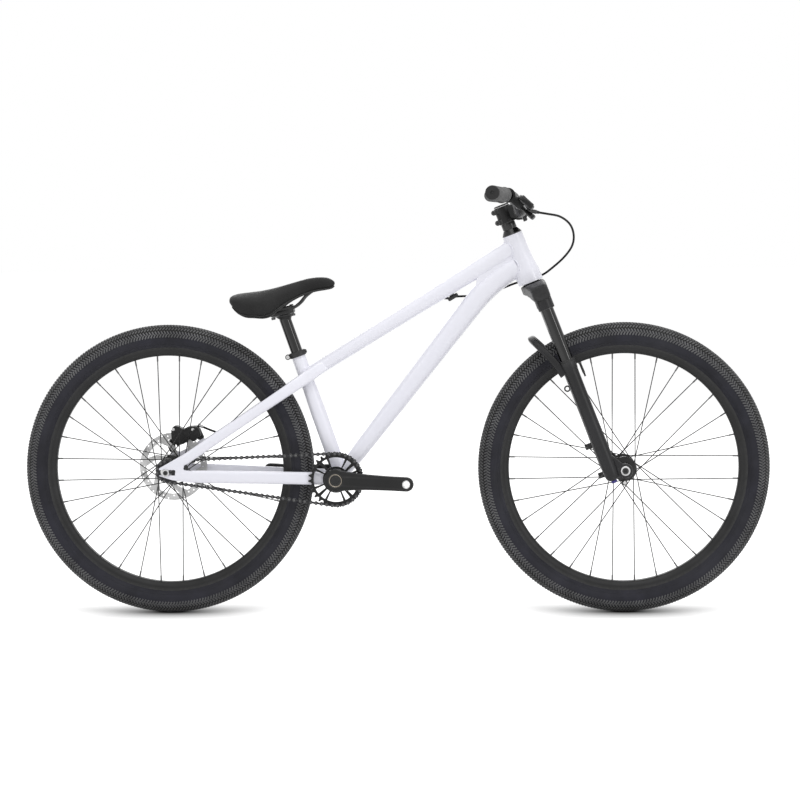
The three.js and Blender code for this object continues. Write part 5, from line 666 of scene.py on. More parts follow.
hose_plastic = finish(
    "hose_plastic", "hose", grey(8), grey(14), (0.4, 0.55), patch=60, grain=1500, bump=0.00002,
    specular=0.2,
)
print("steels and plastics are ready")

# %% [markdown]
# ## Rubber
# A tyre's rubber is a dull charcoal with a bluish bloom on its sidewall. Mould lines run round it,
# and grey dust stays in its grain. The tread bars get a lighter copy of the same rubber, a painted
# highlight, and the grooves between them a near-black copy, a painted shade. The grips are a softer,
# lighter rubber.

# %% Tyre and grip rubber
def tyre_finish(name, dark, light):
    material = finish(
        name, "tyre_rubber", dark, light, (0.6, 0.78), patch=22, grain=1500, bump=0.00003, specular=0.22,
    )
    tree, shader, where = reopen(material)
    dust = ramp(tree, noise(tree, where, 9, 2), BLACK, (0.12, 0.12, 0.12, 1), 0.45, 0.8)
    clean = shader.inputs["Base Color"].links[0].from_socket
    feed(tree, shader.inputs["Base Color"], blend_colours(tree, dust, clean, grey(84, 0.04)))
    feed(tree, shader.inputs["Sheen Weight"], 0.12)
    return material


sidewall_rubber = tyre_finish("sidewall_rubber", grey(34, 0.36), grey(44, 0.4))
# The same tyre rubber painted lighter for the tread bars, a painted highlight.
painted_highlight_tread = tyre_finish("painted_highlight_tread", grey(76, 0.02), grey(104, 0.02))
# A near-black copy of the tyre rubber, painted shade in the grooves between the bars.
painted_shade_groove = tyre_finish("painted_shade_groove", grey(8), grey(16))
grip_rubber = finish(
    "grip_rubber", "grip_rubber", grey(86), grey(104), (0.6, 0.8), patch=40, grain=1500, bump=0.00006,
    worn=grey(122), specular=0.35,
)
grip_end_rubber = finish(
    "grip_end_rubber", "grip_rubber", grey(30), grey(42), (0.55, 0.75), patch=50, grain=1500,
    bump=0.00005, specular=0.35,
)
for bearing in ("headset_lower_bearing", "headset_upper_bearing"):
    for slot in bpy.data.objects[bearing].material_slots:
        slot.material = dark_steel
print("rubbers are ready")

# %% [markdown]
# ## Saddle cover
# The saddle is padded foam under a black synthetic leather. The grain is a fine network of cells
# with shallow creases between them, which a Voronoi pattern gives, and a little noise over it stops
# the cells from looking printed.

# %% Saddle leather
def leather(name, dark, light):
    material = finish(
        name, "saddle_cover", dark, light, (0.55, 0.7), patch=26, grain=2200, bump=0.00004, sheen=0.1,
        specular=0.22,
    )
    tree, shader, where = reopen(material)
    cells = node(tree, "TexVoronoi", {"Vector": where, "Scale": 620}, feature="DISTANCE_TO_EDGE")
    creases = ramp(tree, cells.outputs["Distance"], BLACK, WHITE, 0.0, 0.16)
    grain = shader.inputs["Normal"].links[0].from_socket
    feed(tree, shader.inputs["Normal"], bump_up(tree, creases, 0.00012, 0.7, grain))
    return material


saddle_leather = leather("saddle_leather", grey(24), grey(32))
saddle_shell = finish(
    "saddle_shell", "black_plastic", grey(24), grey(34), (0.45, 0.6), patch=30, grain=1800, bump=0.00004,
)
print("saddle cover is ready")

# %% [markdown]
# ## The frame's tubes
# The frame is welded from drawn aluminium tubes whose sections change along their length: the top
# tube grows towards the head tube, the down tube bends to meet it, and the stays are flattened
# ovals that spread round the wheel. Each could be a bevelled curve, but a curve keeps one section.
# A skin over many ovals, whose widths follow a smooth curve through a few measured stations, gives
# each tube the real one's taper.

# %% Tube helpers
def eased(shares, values, at):
    """A smooth value between measured stations."""
    for i in range(len(shares) - 1):
        if at <= shares[i + 1] or i == len(shares) - 2:
            t = min(max((at - shares[i]) / (shares[i + 1] - shares[i]), 0), 1)
            step = t * t * (3 - 2 * t) * 0.35 + t * 0.65
            return values[i] + (values[i + 1] - values[i]) * step


def crossways(way, level):
    """The two directions of a ring across a way. The first is as near as it can be to a level one."""
    across = (level - way * way.dot(level)).normalized()
    return across, way.cross(across)


def tube_rings(path, wides, deeps, shares, square):
    """Ovals along a path that stays upright, so that flat sides don't twist."""
    rings = []
    for i, (at, way) in enumerate(zip(path, directions(path))):
        across, upward = crossways(way, LEFT)
        share = i / (len(path) - 1)
        wide, deep = eased(shares, wides, share), eased(shares, deeps, share)
        rings.append(oval(at, across, upward, wide, deep, square, 40))
    return rings


def scaled(values, size):
    return [value * size for value in values]


def head_point(height):
    return HEAD_BOTTOM + STEER_UP * height


def seat_point(below_top):
    return SEAT_TUBE_TOP - SEAT_UP * below_top

# %% Top tube
HEAD_TUBE_LENGTH = 117.9
TOP_TUBE_REAR = seat_point(58.5)
TOP_TUBE_FRONT = head_point(HEAD_TUBE_LENGTH - 26.5)
TOP_TUBE_SHARES = [0, 0.3, 0.55, 0.75, 0.88, 1]
TOP_TUBE_DEEP = scaled([0.97, 1, 1.07, 1.17, 1.26, 1.28], 32)
TOP_TUBE_WIDE = scaled([1, 1, 1.03, 1.08, 1.14, 1.16], 35)

way = (TOP_TUBE_FRONT - TOP_TUBE_REAR).normalized()
start = TOP_TUBE_REAR + way * 12
end = TOP_TUBE_FRONT - way * 10
path = [start.lerp(end, i / 40) for i in range(41)]
skin(tube_rings(path, TOP_TUBE_WIDE, TOP_TUBE_DEEP, TOP_TUBE_SHARES, 2.6))
piece("top_tube_paint", frame_paint, "frame", stands_for=["top_tube"])
print("top tube", round((end - start).length), "mm")

# %% Down tube
DOWN_TUBE_SLOPE = 52 * DEGREE
DOWN_TUBE_STRAIGHT = 505
DOWN_TUBE_BEND = 76.7
DOWN_TUBE_WAY = Vector((math.cos(DOWN_TUBE_SLOPE), 0, math.sin(DOWN_TUBE_SLOPE)))
DOWN_TUBE_FOOT = BB_CENTRE + Vector((5, 0, 0))


def down_tube_path():
    """A straight run, then one long bend that meets the head tube square."""
    bend_start = DOWN_TUBE_FOOT + DOWN_TUBE_WAY * DOWN_TUBE_STRAIGHT
    corner = bend_start + DOWN_TUBE_WAY * DOWN_TUBE_BEND
    joint = head_point(47)
    path = [DOWN_TUBE_FOOT.lerp(bend_start, 0.035 + 0.965 * i / 40) for i in range(41)]
    for i in range(1, 19):
        t = i / 20
        path.append(bend_start * (1 - t) ** 2 + corner * 2 * t * (1 - t) + joint * t**2)
    return path


path = down_tube_path()
shares = scaled([0, 0.14, 0.42, 0.72, 1, 1.1, 1.22, 1.36], 40 / 58)
shares[-1] = 1
deeps = scaled([0.76, 0.88, 0.98, 1.07, 1.16, 1.18, 1.17, 1.15], 42)
wides = scaled([1.12, 1.04, 1, 1.02, 1.06, 1.08, 1.08, 1.08], 42)
skin(tube_rings(path, wides, deeps, shares, 2.5))
piece("down_tube_paint", frame_paint, "frame", stands_for=["down_tube"])
print("down tube", round(sum((b - a).length for a, b in zip(path, path[1:]))), "mm")

# %% Web between the tubes
WEB_START = 184
WEB_HALF_WIDTH = 15

# Just behind the head tube the two tubes are welded to each other along their sides.
upper = [TOP_TUBE_REAR.lerp(TOP_TUBE_FRONT, i / 60) for i in range(61)]
lower = down_tube_path()
high = [(p.x, p.z) for p in upper if p.x > WEB_START]
low = [(p.x, p.z) for p in lower if p.x > WEB_START - 4]
plate(high + low[::-1], -WEB_HALF_WIDTH, WEB_HALF_WIDTH, bevel=2.5)
piece("tube_web_paint", frame_paint, "frame", sharp=60)
print("web", 2 * WEB_HALF_WIDTH, "mm wide")

# %% Seat tube, head tube and bottom bracket shell
SEAT_TUBE_BORE = 13.9

profile = [(SEAT_TUBE_BORE, -60), (SEAT_TUBE_BORE, 0), (15.6, 0), (16.1, -0.6), (16.1, -82), (18, -150),
           (18, -SEAT_TUBE_LENGTH + 20), (14, -SEAT_TUBE_LENGTH + 20)]
turned(profile)
piece("seat_tube_paint", frame_paint, "frame", AT_SEAT, ["seat_tube"])
profile = [
    (26.4, 6), (26.4, 0.4), (27, 0), (29, 0), (29.5, 0.5), (29.5, 22), (29.2, 26), (27.6, 34), (25.9, 46),
    (24.7, 62), (23.7, 88), (23.4, 104), (23.4, HEAD_TUBE_LENGTH - 0.5), (22.9, HEAD_TUBE_LENGTH),
    (21.6, HEAD_TUBE_LENGTH), (21.3, HEAD_TUBE_LENGTH - 0.4), (21.3, HEAD_TUBE_LENGTH - 7),
]
turned(profile, count=64)
piece("head_tube_paint", frame_paint, "frame", AT_STEERING, ["head_tube"])
half = 36.5
profile = rounded([(19.5, -half), (24, -half), (24, half), (19.5, half), (19.5, -half)], 0.8)
turned(profile, "Y", count=64)
piece("bottom_bracket_paint", frame_paint, "frame", AT_BB, ["bottom_bracket_shell"])
print("bottom bracket shell", 2 * half, "mm wide")

# %% Stays
CHAINSTAY_SHARES = [-0.13, 0, 0.12, 0.3, 0.5, 0.72, 0.88, 0.985]
CHAINSTAY_SPREAD = [71.5, 69.6, 65.8, 58.8, 49, 39.2, 35, 30]
CHAINSTAY_WIDE = [8.3, 13.4, 15.2, 16, 16, 15.4, 13.8, 13.8]
CHAINSTAY_DEEP = [20, 28.4, 29, 29, 29, 29, 29, 29]
SEATSTAY_SHARES = [-0.07, 0, 0.14, 0.32, 0.54, 0.72, 0.82, 0.91, 1, 1.07]
SEATSTAY_SPREAD = [71.5, 69.6, 64.4, 57.4, 49, 42, 34.3, 24.5, 18, 8]
SEATSTAY_DEEP = [17, 23.6, 24, 24, 24, 25, 26.4, 27.8, 26, 20]
SEATSTAY_WIDE = [8.3, 12.8, 15, 15, 15, 15, 14.2, 12.8, 10, 8]
SEATSTAY_END = TOP_TUBE_REAR.lerp(TOP_TUBE_FRONT, 0.067) - Vector((0, 0, 2.4))


def spread_path(rear, front, shares, spreads, side):
    """A stay's middle line, which leaves the wheel room and closes in at the frame."""
    marks = [rear.lerp(front, share) + LEFT * side * spread for share, spread in zip(shares, spreads)]
    return smooth_values(marks, 72)


def even_shares(marks):
    """The share of a path's points at which each mark lies, as its marks are evenly stepped."""
    return [i / (len(marks) - 1) for i in range(len(marks))]


def stays(side, word):
    rear = REAR_AXLE + Vector((62.3, 0, -9.5))
    front = BB_CENTRE + Vector((-12, 0, 0))
    path = spread_path(rear, front, CHAINSTAY_SHARES, CHAINSTAY_SPREAD, side)
    skin(tube_rings(path, CHAINSTAY_WIDE, CHAINSTAY_DEEP, even_shares(CHAINSTAY_SHARES), 3.4))
    piece("chainstay_" + word + "_paint", frame_paint, "frame", stands_for=["chainstay_" + word])
    foot = REAR_AXLE + Vector((46.2, 0, 31.1))
    path = spread_path(foot, SEATSTAY_END, SEATSTAY_SHARES, SEATSTAY_SPREAD, side)
    skin(tube_rings(path, SEATSTAY_WIDE, SEATSTAY_DEEP, even_shares(SEATSTAY_SHARES), 3))
    piece("seatstay_" + word + "_paint", frame_paint, "frame", stands_for=["seatstay_" + word])


for side, word in SIDES:
    stays(side, word)
print("stays end at", [round(v) for v in SEATSTAY_END])

# %% [markdown]
# ## Dropouts
# The rear dropouts are cut plates with a long horizontal slot. The axle slides in it to tighten the
# chain, and a small screw block in the slot's front keeps it there. A flat outline with a rounded
# bevel is how the real plate is machined, so the plate helper suits it.

# %% Dropouts and tensioners
def smooth_outline(corners, radius, steps=5):
    """The same closed outline with every corner rounded."""
    result = []
    for i, middle in enumerate(corners):
        result += corner(corners[i - 1], middle, corners[(i + 1) % len(corners)], radius, 0.45, steps)
    return result


SEATSTAY_RISE = math.atan2(SEATSTAY_END.z - REAR_AXLE.z - 31, SEATSTAY_END.x - REAR_AXLE.x - 46)
STAY_TOP = (46 - math.sin(SEATSTAY_RISE) * 12, 31 + math.cos(SEATSTAY_RISE) * 12)
DROPOUT_OUTLINE = [
    (-15.5, 10), (-15.5, 6.2), (22, 6.2), (22, -6.2), (-15.5, -6.2), (-15.5, -7.5), (13.2, -17),
    (62, -24), (62, 4), (43, 5), (40.5, 8), (42, 14), STAY_TOP,
]

# The outline of a black block for the shaded recess in the crotch of the stays, a painted shade.
STAY_CROTCH_SHADE = [(40, 6.5), (48, 6.5), (51, 10), (48, 17), (43, 16)]


def dropouts(side, word):
    inner, outer = side * 67.5, side * 75.5
    plate(smooth_outline(DROPOUT_OUTLINE, 3), inner, outer, bevel=0.8)
    piece("dropout_" + word + "_paint", frame_paint, "frame", AT_REAR, ["dropout_" + word])
    block = [(12.8, -5.8), (21.6, -5.8), (21.6, 5.8), (12.8, 5.8)]
    plate(smooth_outline(block, 1.2), inner - side * 0.2, outer + side * 0.2, bevel=0.5)
    middle = (inner + outer) / 2
    round_rod([(x, middle, 0) for x in (5.8, 10, 14)], 2, 16)
    piece("chain_tensioner_" + word + "_alloy", satin_black, "frame", AT_REAR, ["chain_tensioner_" + word])
    # A black block inside the dropout, in the crotch of the stays: painted shade where that recess lies in
    # shade.
    plate(smooth_outline(STAY_CROTCH_SHADE, 2), side * 62.5, side * 69.5, bevel=0.8)
    piece("stay_plug_" + word, black_plastic, "frame", AT_REAR)


for side, word in SIDES:
    dropouts(side, word)
print("seatstay rise", round(SEATSTAY_RISE / DEGREE, 1), "degrees")

# %% [markdown]
# ## Weld beads
# Where two tubes meet, a welder leaves a bead like a row of overlapping coins, and the paint flows
# over it. The line where two tubes meet could be found with a boolean, but walking round one tube
# and dropping each point onto the other finds it too, and gives an ordered path. The bead is a rod
# along that path whose radius swells a little at each coin.

# %% Bead helpers
COIN_LENGTH = 3.6
BEAD_RADIUS = 2.3


def bead(path, name, closed=True):
    """A scaly rod along a path of points, in paint."""
    dense = smooth_values(path + [path[0]] if closed else path, len(path) * 6)
    length = sum((b - a).length for a, b in zip(dense, dense[1:]))
    coins = max(length / COIN_LENGTH, 1)

    def swell(share):
        return BEAD_RADIUS * (0.86 + 0.14 * math.sin(share * coins * TURN))

    round_rod(dense, swell, count=8)
    piece(name, weld_paint, "frame", sharp=60)


def outside_cylinder(point, axis_foot, axis_way, radius_at):
    """How far a point lies outside a turned tube."""
    rel = point - axis_foot
    along = rel.dot(axis_way)
    return (rel - axis_way * along).length - radius_at(along)


def meet(rings_of, start, end, outside, count=36):
    """Where each line of a tube's surface first dives into another tube, between two shares."""
    path = []
    for i in range(count):
        low, high = start, end
        for _ in range(22):
            middle = (low + high) / 2
            if outside(rings_of(middle, i, count)) > 0:
                low = middle
            else:
                high = middle
        path.append(rings_of(low, i, count))
    return path


def line_tube(foot, tip, wide, deep, square):
    """A function that gives the point number i of the oval at a share of the way."""
    way = (tip - foot).normalized()
    across, upward = crossways(way, LEFT)

    def point(share, i, count):
        return oval(foot.lerp(tip, share), across, upward, wide, deep, square, count)[i]

    return point

# %% Beads where the tubes meet
def head_radius(height):
    return eased([-10, 24, 60, 104, 140], [29.5, 29.5, 24.8, 23.4, 23.4], height)


outside_head = lambda p: outside_cylinder(p, HEAD_BOTTOM, STEER_UP, head_radius)
outside_seat = lambda p: outside_cylinder(p, SEAT_TUBE_TOP, -SEAT_UP, lambda a: 16.1)
outside_shell = lambda p: math.hypot(p.x - BB_CENTRE.x, p.z - BB_CENTRE.z) - 24
top = line_tube(TOP_TUBE_REAR, TOP_TUBE_FRONT, 40.2, 39.4, 2.6)
bead(meet(top, 0.8, 1, outside_head), "weld_top_tube_to_head_tube")
low = line_tube(TOP_TUBE_FRONT, TOP_TUBE_REAR, 35.2, 31.4, 2.6)
bead(meet(low, 0.85, 1, outside_seat), "weld_top_tube_to_seat_tube")
path = down_tube_path()
into_head = line_tube(path[-6], head_point(47), 45.4, 48.6, 2.5)
bead(meet(into_head, 0, 1, outside_head), "weld_down_tube_to_head_tube")
down = line_tube(DOWN_TUBE_FOOT + DOWN_TUBE_WAY * 90, DOWN_TUBE_FOOT, 46, 33.5, 2.5)
bead(meet(down, 0, 1, outside_shell), "weld_down_tube_to_shell")
seat_foot = seat_point(SEAT_TUBE_LENGTH)
up = line_tube(seat_foot + SEAT_UP * 60, seat_foot, 36, 36, 2)
bead(meet(up, 0, 1, outside_shell), "weld_seat_tube_to_shell")

# %% [markdown]
# ## Tyres
# A dirt tyre for hard ground has a round casing, a smooth sidewall and many low bars of rubber set
# at a slant. The casing is one profile turned about the axle. Texture bars would vanish at the
# tyre's outline, so every bar is real: a small block with a narrower top, stood on the casing
# and turned a little, the slant changing from row to row. The bars are in a lighter rubber, a
# painted highlight, and a thin near-black band over the crown under them is painted shade in the
# grooves between the bars.

# %% Tyre casing
CASING_HALF = [
    (284.9, 14.4), (287.2, 17.4), (290, 21), (294.5, 24.9), (300, 27.6), (306, 28.8), (311, 28.7),
    (317, 27.2), (323, 24), (328, 19.4), (331.8, 13.6), (334.3, 7.4), (335.3, 0),
]
TREAD_ROWS = [(0, 0.5), (10, -0.5), (20, 0.5), (29.5, -0.48), (38.5, 0.48)]
TREAD_STEPS = 288
BAR_HALF_LENGTH = 4.7
BAR_HALF_WIDTH = 1.7
BAR_HEIGHT = 1.8
BAR_ROOT = 0.4
BAR_LENGTH_TAPER = 0.5
BAR_WIDTH_TAPER = 0.35
GROOVE_SHADE_EDGE = 320.5


def casing_profile():
    left = [Vector((r, y)) for r, y in CASING_HALF]
    right = [Vector((r, -y)) for r, y in CASING_HALF[-2::-1]]
    return smooth_values([(v.x, v.y, 0) for v in left + right], 64)


def row_index(profile, middle, hand, reach):
    """The profile's point that lies this far round from the tyre's crown."""
    walked = 0
    index = middle
    while walked < reach:
        walked += (profile[index - hand] - profile[index]).length
        index -= hand
    return index

# %% Casing, painted groove shade and tread bars
def tyre(word, place, body):
    profile = casing_profile()
    inner = [(288, -12.6), (300, -24), (316, -24.5), (330, 0), (316, 24.5), (300, 24), (288, 12.6)]
    loop = [(p.x, p.y) for p in profile] + inner
    turned(loop, "Y", count=180, closed=True)
    for line in (292.5, 319.4):
        spot = min(profile[:32], key=lambda p: abs(p.x - line))
        for hand in (1, -1):
            rise = ((-0.7, -0.3), (0, 0.55), (0.7, -0.3))
            turned([(spot.x + out, hand * (spot.y + up)) for out, up in rise], "Y", count=180)
    piece(word + "_tyre_casing", sidewall_rubber, body, place, [word + "_tyre"], sharp=50)
    # A thin near-black shell over the crown, under the bars, is painted shade in the grooves between them.
    band = [p for p in profile if p.x > GROOVE_SHADE_EDGE]
    outer = [(p.x + 0.35, p.y * 1.01) for p in band]
    inner = [(p.x - 0.5, p.y * 0.98) for p in band[::-1]]
    turned(outer + inner, "Y", count=180, closed=True)
    piece(word + "_tyre_grooves", painted_shade_groove, body, place, sharp=50)
    bars = 0
    middle = len(profile) // 2
    for row, (reach, slant) in enumerate(TREAD_ROWS):
        for hand in ((1,) if reach == 0 else (1, -1)):
            index = row_index(profile, middle, hand, reach)
            at = profile[index]
            along = (profile[index + 1] - profile[index - 1]).normalized()
            outward = Vector((along.y, -along.x, 0)) * math.copysign(1, along.y)
            for step in range(TREAD_STEPS):
                angle = (step + (row % 2) * 0.5) * TURN / TREAD_STEPS
                radial = Vector((math.sin(angle), 0, math.cos(angle)))
                round_way = Vector((math.cos(angle), 0, -math.sin(angle)))
                up = radial * outward.x + LEFT * outward.y
                side = round_way.cross(up)
                base = radial * at.x + Vector((0, at.y, 0))
                c, s = math.cos(slant * hand), math.sin(slant * hand)
                long_way = side * c + round_way * s
                wide_way = round_way * c - side * s
                low, high = [], []
                for u, v in ((-1, -1), (1, -1), (1, 1), (-1, 1)):
                    foot = base - up * BAR_ROOT + long_way * u * BAR_HALF_LENGTH
                    foot = foot + wide_way * v * BAR_HALF_WIDTH
                    inward = long_way * u * BAR_LENGTH_TAPER + wide_way * v * BAR_WIDTH_TAPER
                    low.append(foot)
                    high.append(foot + up * (BAR_HEIGHT + BAR_ROOT) - inward)
                small_pad(low, high)
                bars += 1
    # The bars take the lighter rubber, a painted highlight.
    piece(word + "_tyre_tread", painted_highlight_tread, body, place, sharp=20)
    print(word, "tyre has", bars, "bars")


WHEELS = (("rear", AT_REAR), ("front", AT_FRONT))
for word, place in WHEELS:
    tyre(word, place, word + "_wheel")

# %% [markdown]
# ## Rims, spokes and hubs
# The rims are box sections of black alloy with 32 spokes laced three-cross. Each spoke is a thin rod
# from a hole in the hub flange, with a small bent elbow there, to a nipple in the rim. Modelling all
# of them is cheap, and a wheel's crossing lines are the first thing the eye checks.

# %% Rims
RIM_LOOP = [
    (265.4, 0), (265.4, 6.6), (265.9, 8), (268.5, 10.6), (273, 13.6), (275.4, 14.7), (277, 15),
    (285.6, 15), (286.1, 14.4), (285.8, 13.2), (283.2, 12.8), (281.5, 11.2), (277, 7.6), (275.6, 4),
    (275.4, 0),
]

rim_loop = RIM_LOOP + [(r, -y) for r, y in RIM_LOOP[-2:0:-1]]
for word, place in WHEELS:
    turned(rim_loop, "Y", count=180, closed=True)
    piece(word + "_rim_alloy", rim_black, word + "_wheel", place, [word + "_rim"], sharp=30)
print("rims", 2 * max(r for r, y in RIM_LOOP), "mm across")

# %% Spokes and nipples
SPOKES = 32
SPOKE_CIRCLE = 26


def round_point(radius, angle, y):
    return Vector((radius * math.sin(angle), y, radius * math.cos(angle)))


def spokes(word, flange_right, flange_left, place, body):
    wires, nipples = [], []
    for i in range(SPOKES):
        rim_angle = (i + 0.5) * TURN / SPOKES
        side = -1 if i % 2 == 0 else 1
        hand = 1 if i % 4 < 2 else -1
        hub_angle = rim_angle + hand * 6 * TURN / SPOKES
        flange = -flange_right if side < 0 else flange_left
        lacing = hand * 1.4
        start = round_point(SPOKE_CIRCLE, hub_angle, flange + lacing * 1.9)
        end = round_point(264.6, rim_angle, side * 3 + lacing)
        way = (end - start).normalized()
        elbow = round_point(SPOKE_CIRCLE, hub_angle, flange - lacing * 1.2)
        wires.append([elbow, start.lerp(elbow, 0.15), start + way * 3, start + way * 8, end])
        nipples.append([end + way * along for along in (-12, -11.4, -1, 1.2)])
    for path in wires:
        round_rod(path, 1.15, 8)
    piece(word + "_spoke_wires", spoke_black, body, place)
    for path in nipples:
        round_rod(path, lambda t: 1.4 if t < 0.2 else 1.9, 8)
    piece(word + "_spoke_nipples", dark_steel, body, place)


def valve(word, place, body, gap):
    angle = gap * TURN / SPOKES
    way = round_point(1, angle, 0)
    root = way * 266
    path = [root - way * depth for depth in (0, 4, 4.2, 28, 28.2, 36)]
    round_rod(path, lambda t: 4 if t < 0.3 else (3 if t < 0.7 else 2.2), 16)
    piece(word + "_valve", dark_steel, body, place)


spokes("rear", 30, 33, AT_REAR, "rear_wheel")
spokes("front", 29, 29, AT_FRONT, "front_wheel")
valve("rear", AT_REAR, "rear_wheel", 5)
valve("front", AT_FRONT, "front_wheel", 30)
print("spokes laced:", 2 * SPOKES)

# %% Hubs
def flange(y):
    edge = [(15.5, 5), (17, 3.4), (27.6, 2.4), (28.8, 1.6)]
    return [(r, y - half) for r, half in edge] + [(r, y + half) for r, half in edge[::-1]]


loop = [(8, -54.5), (12.8, -54.5), (13.6, -53.8), (13.6, -47), (12.6, -46), *flange(-29), (12.2, -14),
        (11.8, 0), (12.2, 14), *flange(29), (12.6, 46), (13.6, 47), (13.6, 53.8), (12.8, 54.5), (8, 54.5)]
turned(loop, "Y", count=56, closed=True)
piece("front_hub_shell", turned_black, "front_wheel", AT_FRONT, ["front_hub_and_spokes"])
loop = [(5.6, -45.4), (15.8, -45.4), (16.6, -44.6), (16.6, -38), *flange(-30), (14.6, -12), (14.2, 0),
        (14.6, 12), *flange(33), (16.4, 41), (17.2, 45.6), (25.4, 46.6), (26, 47.2), (26, 50.4),
        (5.6, 50.4)]
turned(loop, "Y", count=56, closed=True)
piece("rear_hub_shell", turned_black, "rear_wheel", AT_REAR, ["rear_hub_and_spokes"])
print("hub shells turned")

# %% [markdown]
# ## Brake rotor
# The rotor is a disc of stainless steel, laser cut with slanted arms, drilled round its band and
# held by six bolts. Its face carries a fine even grain.

# %% Rotor
def rotor_windows():
    outer, inner = 65, 29
    middle = (outer + inner) / 2
    step = TURN / 6
    width = step * 0.7
    lean = step * 0.3
    windows = []
    for i in range(6):
        start = i * step
        row = [(outer, start + width * k / 3) for k in range(4)] + [(middle, start + width - lean)]
        row += [(inner, start + width * k - 2 * lean) for k in (1, 0.5, 0)] + [(middle, start - lean)]
        windows.append([polar(r, a) for r, a in row])
    return [smooth_outline(window, 3, 3) for window in windows]


holes = rotor_windows() + [circle(18, 32)]
for i in range(36):
    holes.append(circle(1.9, 10, polar((69.5, 73, 76.2)[i % 3], i * TURN / 36)))
plate(circle(79.9, 144), 50.95, 52.65, holes, bevel=0.2)
piece("brake_rotor_disc", rotor_steel, "rear_wheel", AT_REAR, ["rear_brake_rotor"])
for i in range(6):
    at = round_point(22, (i + 0.5) * TURN / 6, 52.6)
    socket_bolt(at, (0, 1, 0), 4, 2.4)
piece("brake_rotor_bolts", dark_steel, "rear_wheel", AT_REAR)
print("rotor drilled")

# %% Axles
for side in (-1, 1):
    ring = rounded([(5.2, 0), (9, 0), (9, 3), (7.8, 5.6), (5.2, 5.6), (5.2, 0)], 0.5)
    turned([(r, side * (75.8 + h)) for r, h in ring], "Y", count=48)
    lock = rounded([(5.2, 0), (8.8, 0), (8.8, 5.8), (5.2, 5.8), (5.2, 0)], 0.5)
    turned([(r, side * (61.3 + h)) for r, h in lock], "Y", count=6)
piece("rear_axle_washers", bright_steel, "frame", AT_REAR, ["rear_axle"])
turned([(0, -81), (4.9, -81), (4.9, 81), (0, 81)], "Y", count=32)
for side in (-1, 1):
    socket_bolt((0, side * 80.6, 0), (0, side, 0), 5.4, 2.6)
piece("rear_axle_bolts", turned_black, "frame", AT_REAR)
end = [(7.2, 66), (8, 72.2), (10.4, 72.3), (11, 71.8), (11, 70.3), (7.4, 70.3)]
turned([(r, -y) for r, y in end] + end[::-1], "Y", count=48, closed=True)
piece("front_axle_shaft", bright_steel, "lower_legs", AT_FRONT, ["front_axle"])
for side in (-1, 1):
    socket_bolt((0, side * 66, 0), (0, side, 0), 7.3, 3.6)
piece("front_axle_sockets", dark_steel, "lower_legs", AT_FRONT)
print("axles fitted")

# %% [markdown]
# ## Chain
# A chain alternates wide outer links and narrow inner ones, each a pair of plates with a waist. Its
# pins stand about half an inch apart along one closed line round the chainring and the cog. Walking
# that line gives each pin's place, and a link is then two plates between neighbouring pins. An array
# on a curve would bend the plates, so each one is stood there one by one.

# %% Where the chain runs
RING_TEETH = 30
COG_TEETH = 12
PITCH = 12.7
CHAIN_LINE = -48
RING_RADIUS = RING_TEETH * PITCH / TURN
COG_RADIUS = COG_TEETH * PITCH / TURN
CHAIN_LEAN = math.asin((RING_RADIUS - COG_RADIUS) / CHAINSTAY_LENGTH)
RING_HALF_WRAP = RING_RADIUS * (math.pi / 2 + CHAIN_LEAN)
CHAIN_RUN = CHAINSTAY_LENGTH * math.cos(CHAIN_LEAN)
COG_WRAP = COG_RADIUS * (math.pi - 2 * CHAIN_LEAN)
CHAIN_LENGTH = 2 * RING_HALF_WRAP + 2 * CHAIN_RUN + COG_WRAP
CHAIN_PINS = round(CHAIN_LENGTH / PITCH)
DRIVE_ANGLE = math.atan2(BB_CENTRE.z - REAR_AXLE.z, BB_CENTRE.x - REAR_AXLE.x)


def on_circle(centre, radius, angle):
    turn = DRIVE_ANGLE + angle
    return Vector((centre.x + radius * math.cos(turn), CHAIN_LINE, centre.z + radius * math.sin(turn)))


def chain_point(distance):
    s = distance % CHAIN_LENGTH
    wrap = math.pi / 2 + CHAIN_LEAN
    upper_end = RING_HALF_WRAP + CHAIN_RUN
    cog_end = upper_end + COG_WRAP
    lower_end = cog_end + CHAIN_RUN
    if s <= RING_HALF_WRAP:
        return on_circle(BB_CENTRE, RING_RADIUS, s / RING_RADIUS)
    if s <= upper_end:
        first = on_circle(BB_CENTRE, RING_RADIUS, wrap)
        return first.lerp(on_circle(REAR_AXLE, COG_RADIUS, wrap), (s - RING_HALF_WRAP) / CHAIN_RUN)
    if s <= cog_end:
        return on_circle(REAR_AXLE, COG_RADIUS, wrap + (s - upper_end) / COG_RADIUS)
    if s <= lower_end:
        first = on_circle(REAR_AXLE, COG_RADIUS, -wrap)
        return first.lerp(on_circle(BB_CENTRE, RING_RADIUS, -wrap), (s - cog_end) / CHAIN_RUN)
    return on_circle(BB_CENTRE, RING_RADIUS, (s - CHAIN_LENGTH) / RING_RADIUS)


print("chain", CHAIN_PINS, "pins,", round(CHAIN_LENGTH), "mm")

# %% Links
def link_outline(length, end_radius, waist):
    ends = [polar(end_radius, math.pi / 2 - math.pi * i / 8) for i in range(17)]
    far = [(length + x, z) for x, z in ends[:9]] + [(length * 0.66, -waist), (length * 0.34, -waist)]
    return far + ends[8:] + [(length * 0.34, waist), (length * 0.66, waist)]


def flat_plate(outline, low, high, spot, chamfer=0.25):
    """A small plate with chamfered edges, cheaper than the curve-made one."""
    middle = sum((Vector((x, z)) for x, z in outline), Vector((0, 0))) / len(outline)

    def ring(y, inset):
        points = []
        for x, z in outline:
            toward = (middle - Vector((x, z))).normalized() * inset
            points.append(spot @ Vector((x + toward.x, y, z + toward.y)))
        return points

    skin([ring(low, chamfer), ring(low + chamfer, 0), ring(high - chamfer, 0), ring(high, chamfer)])


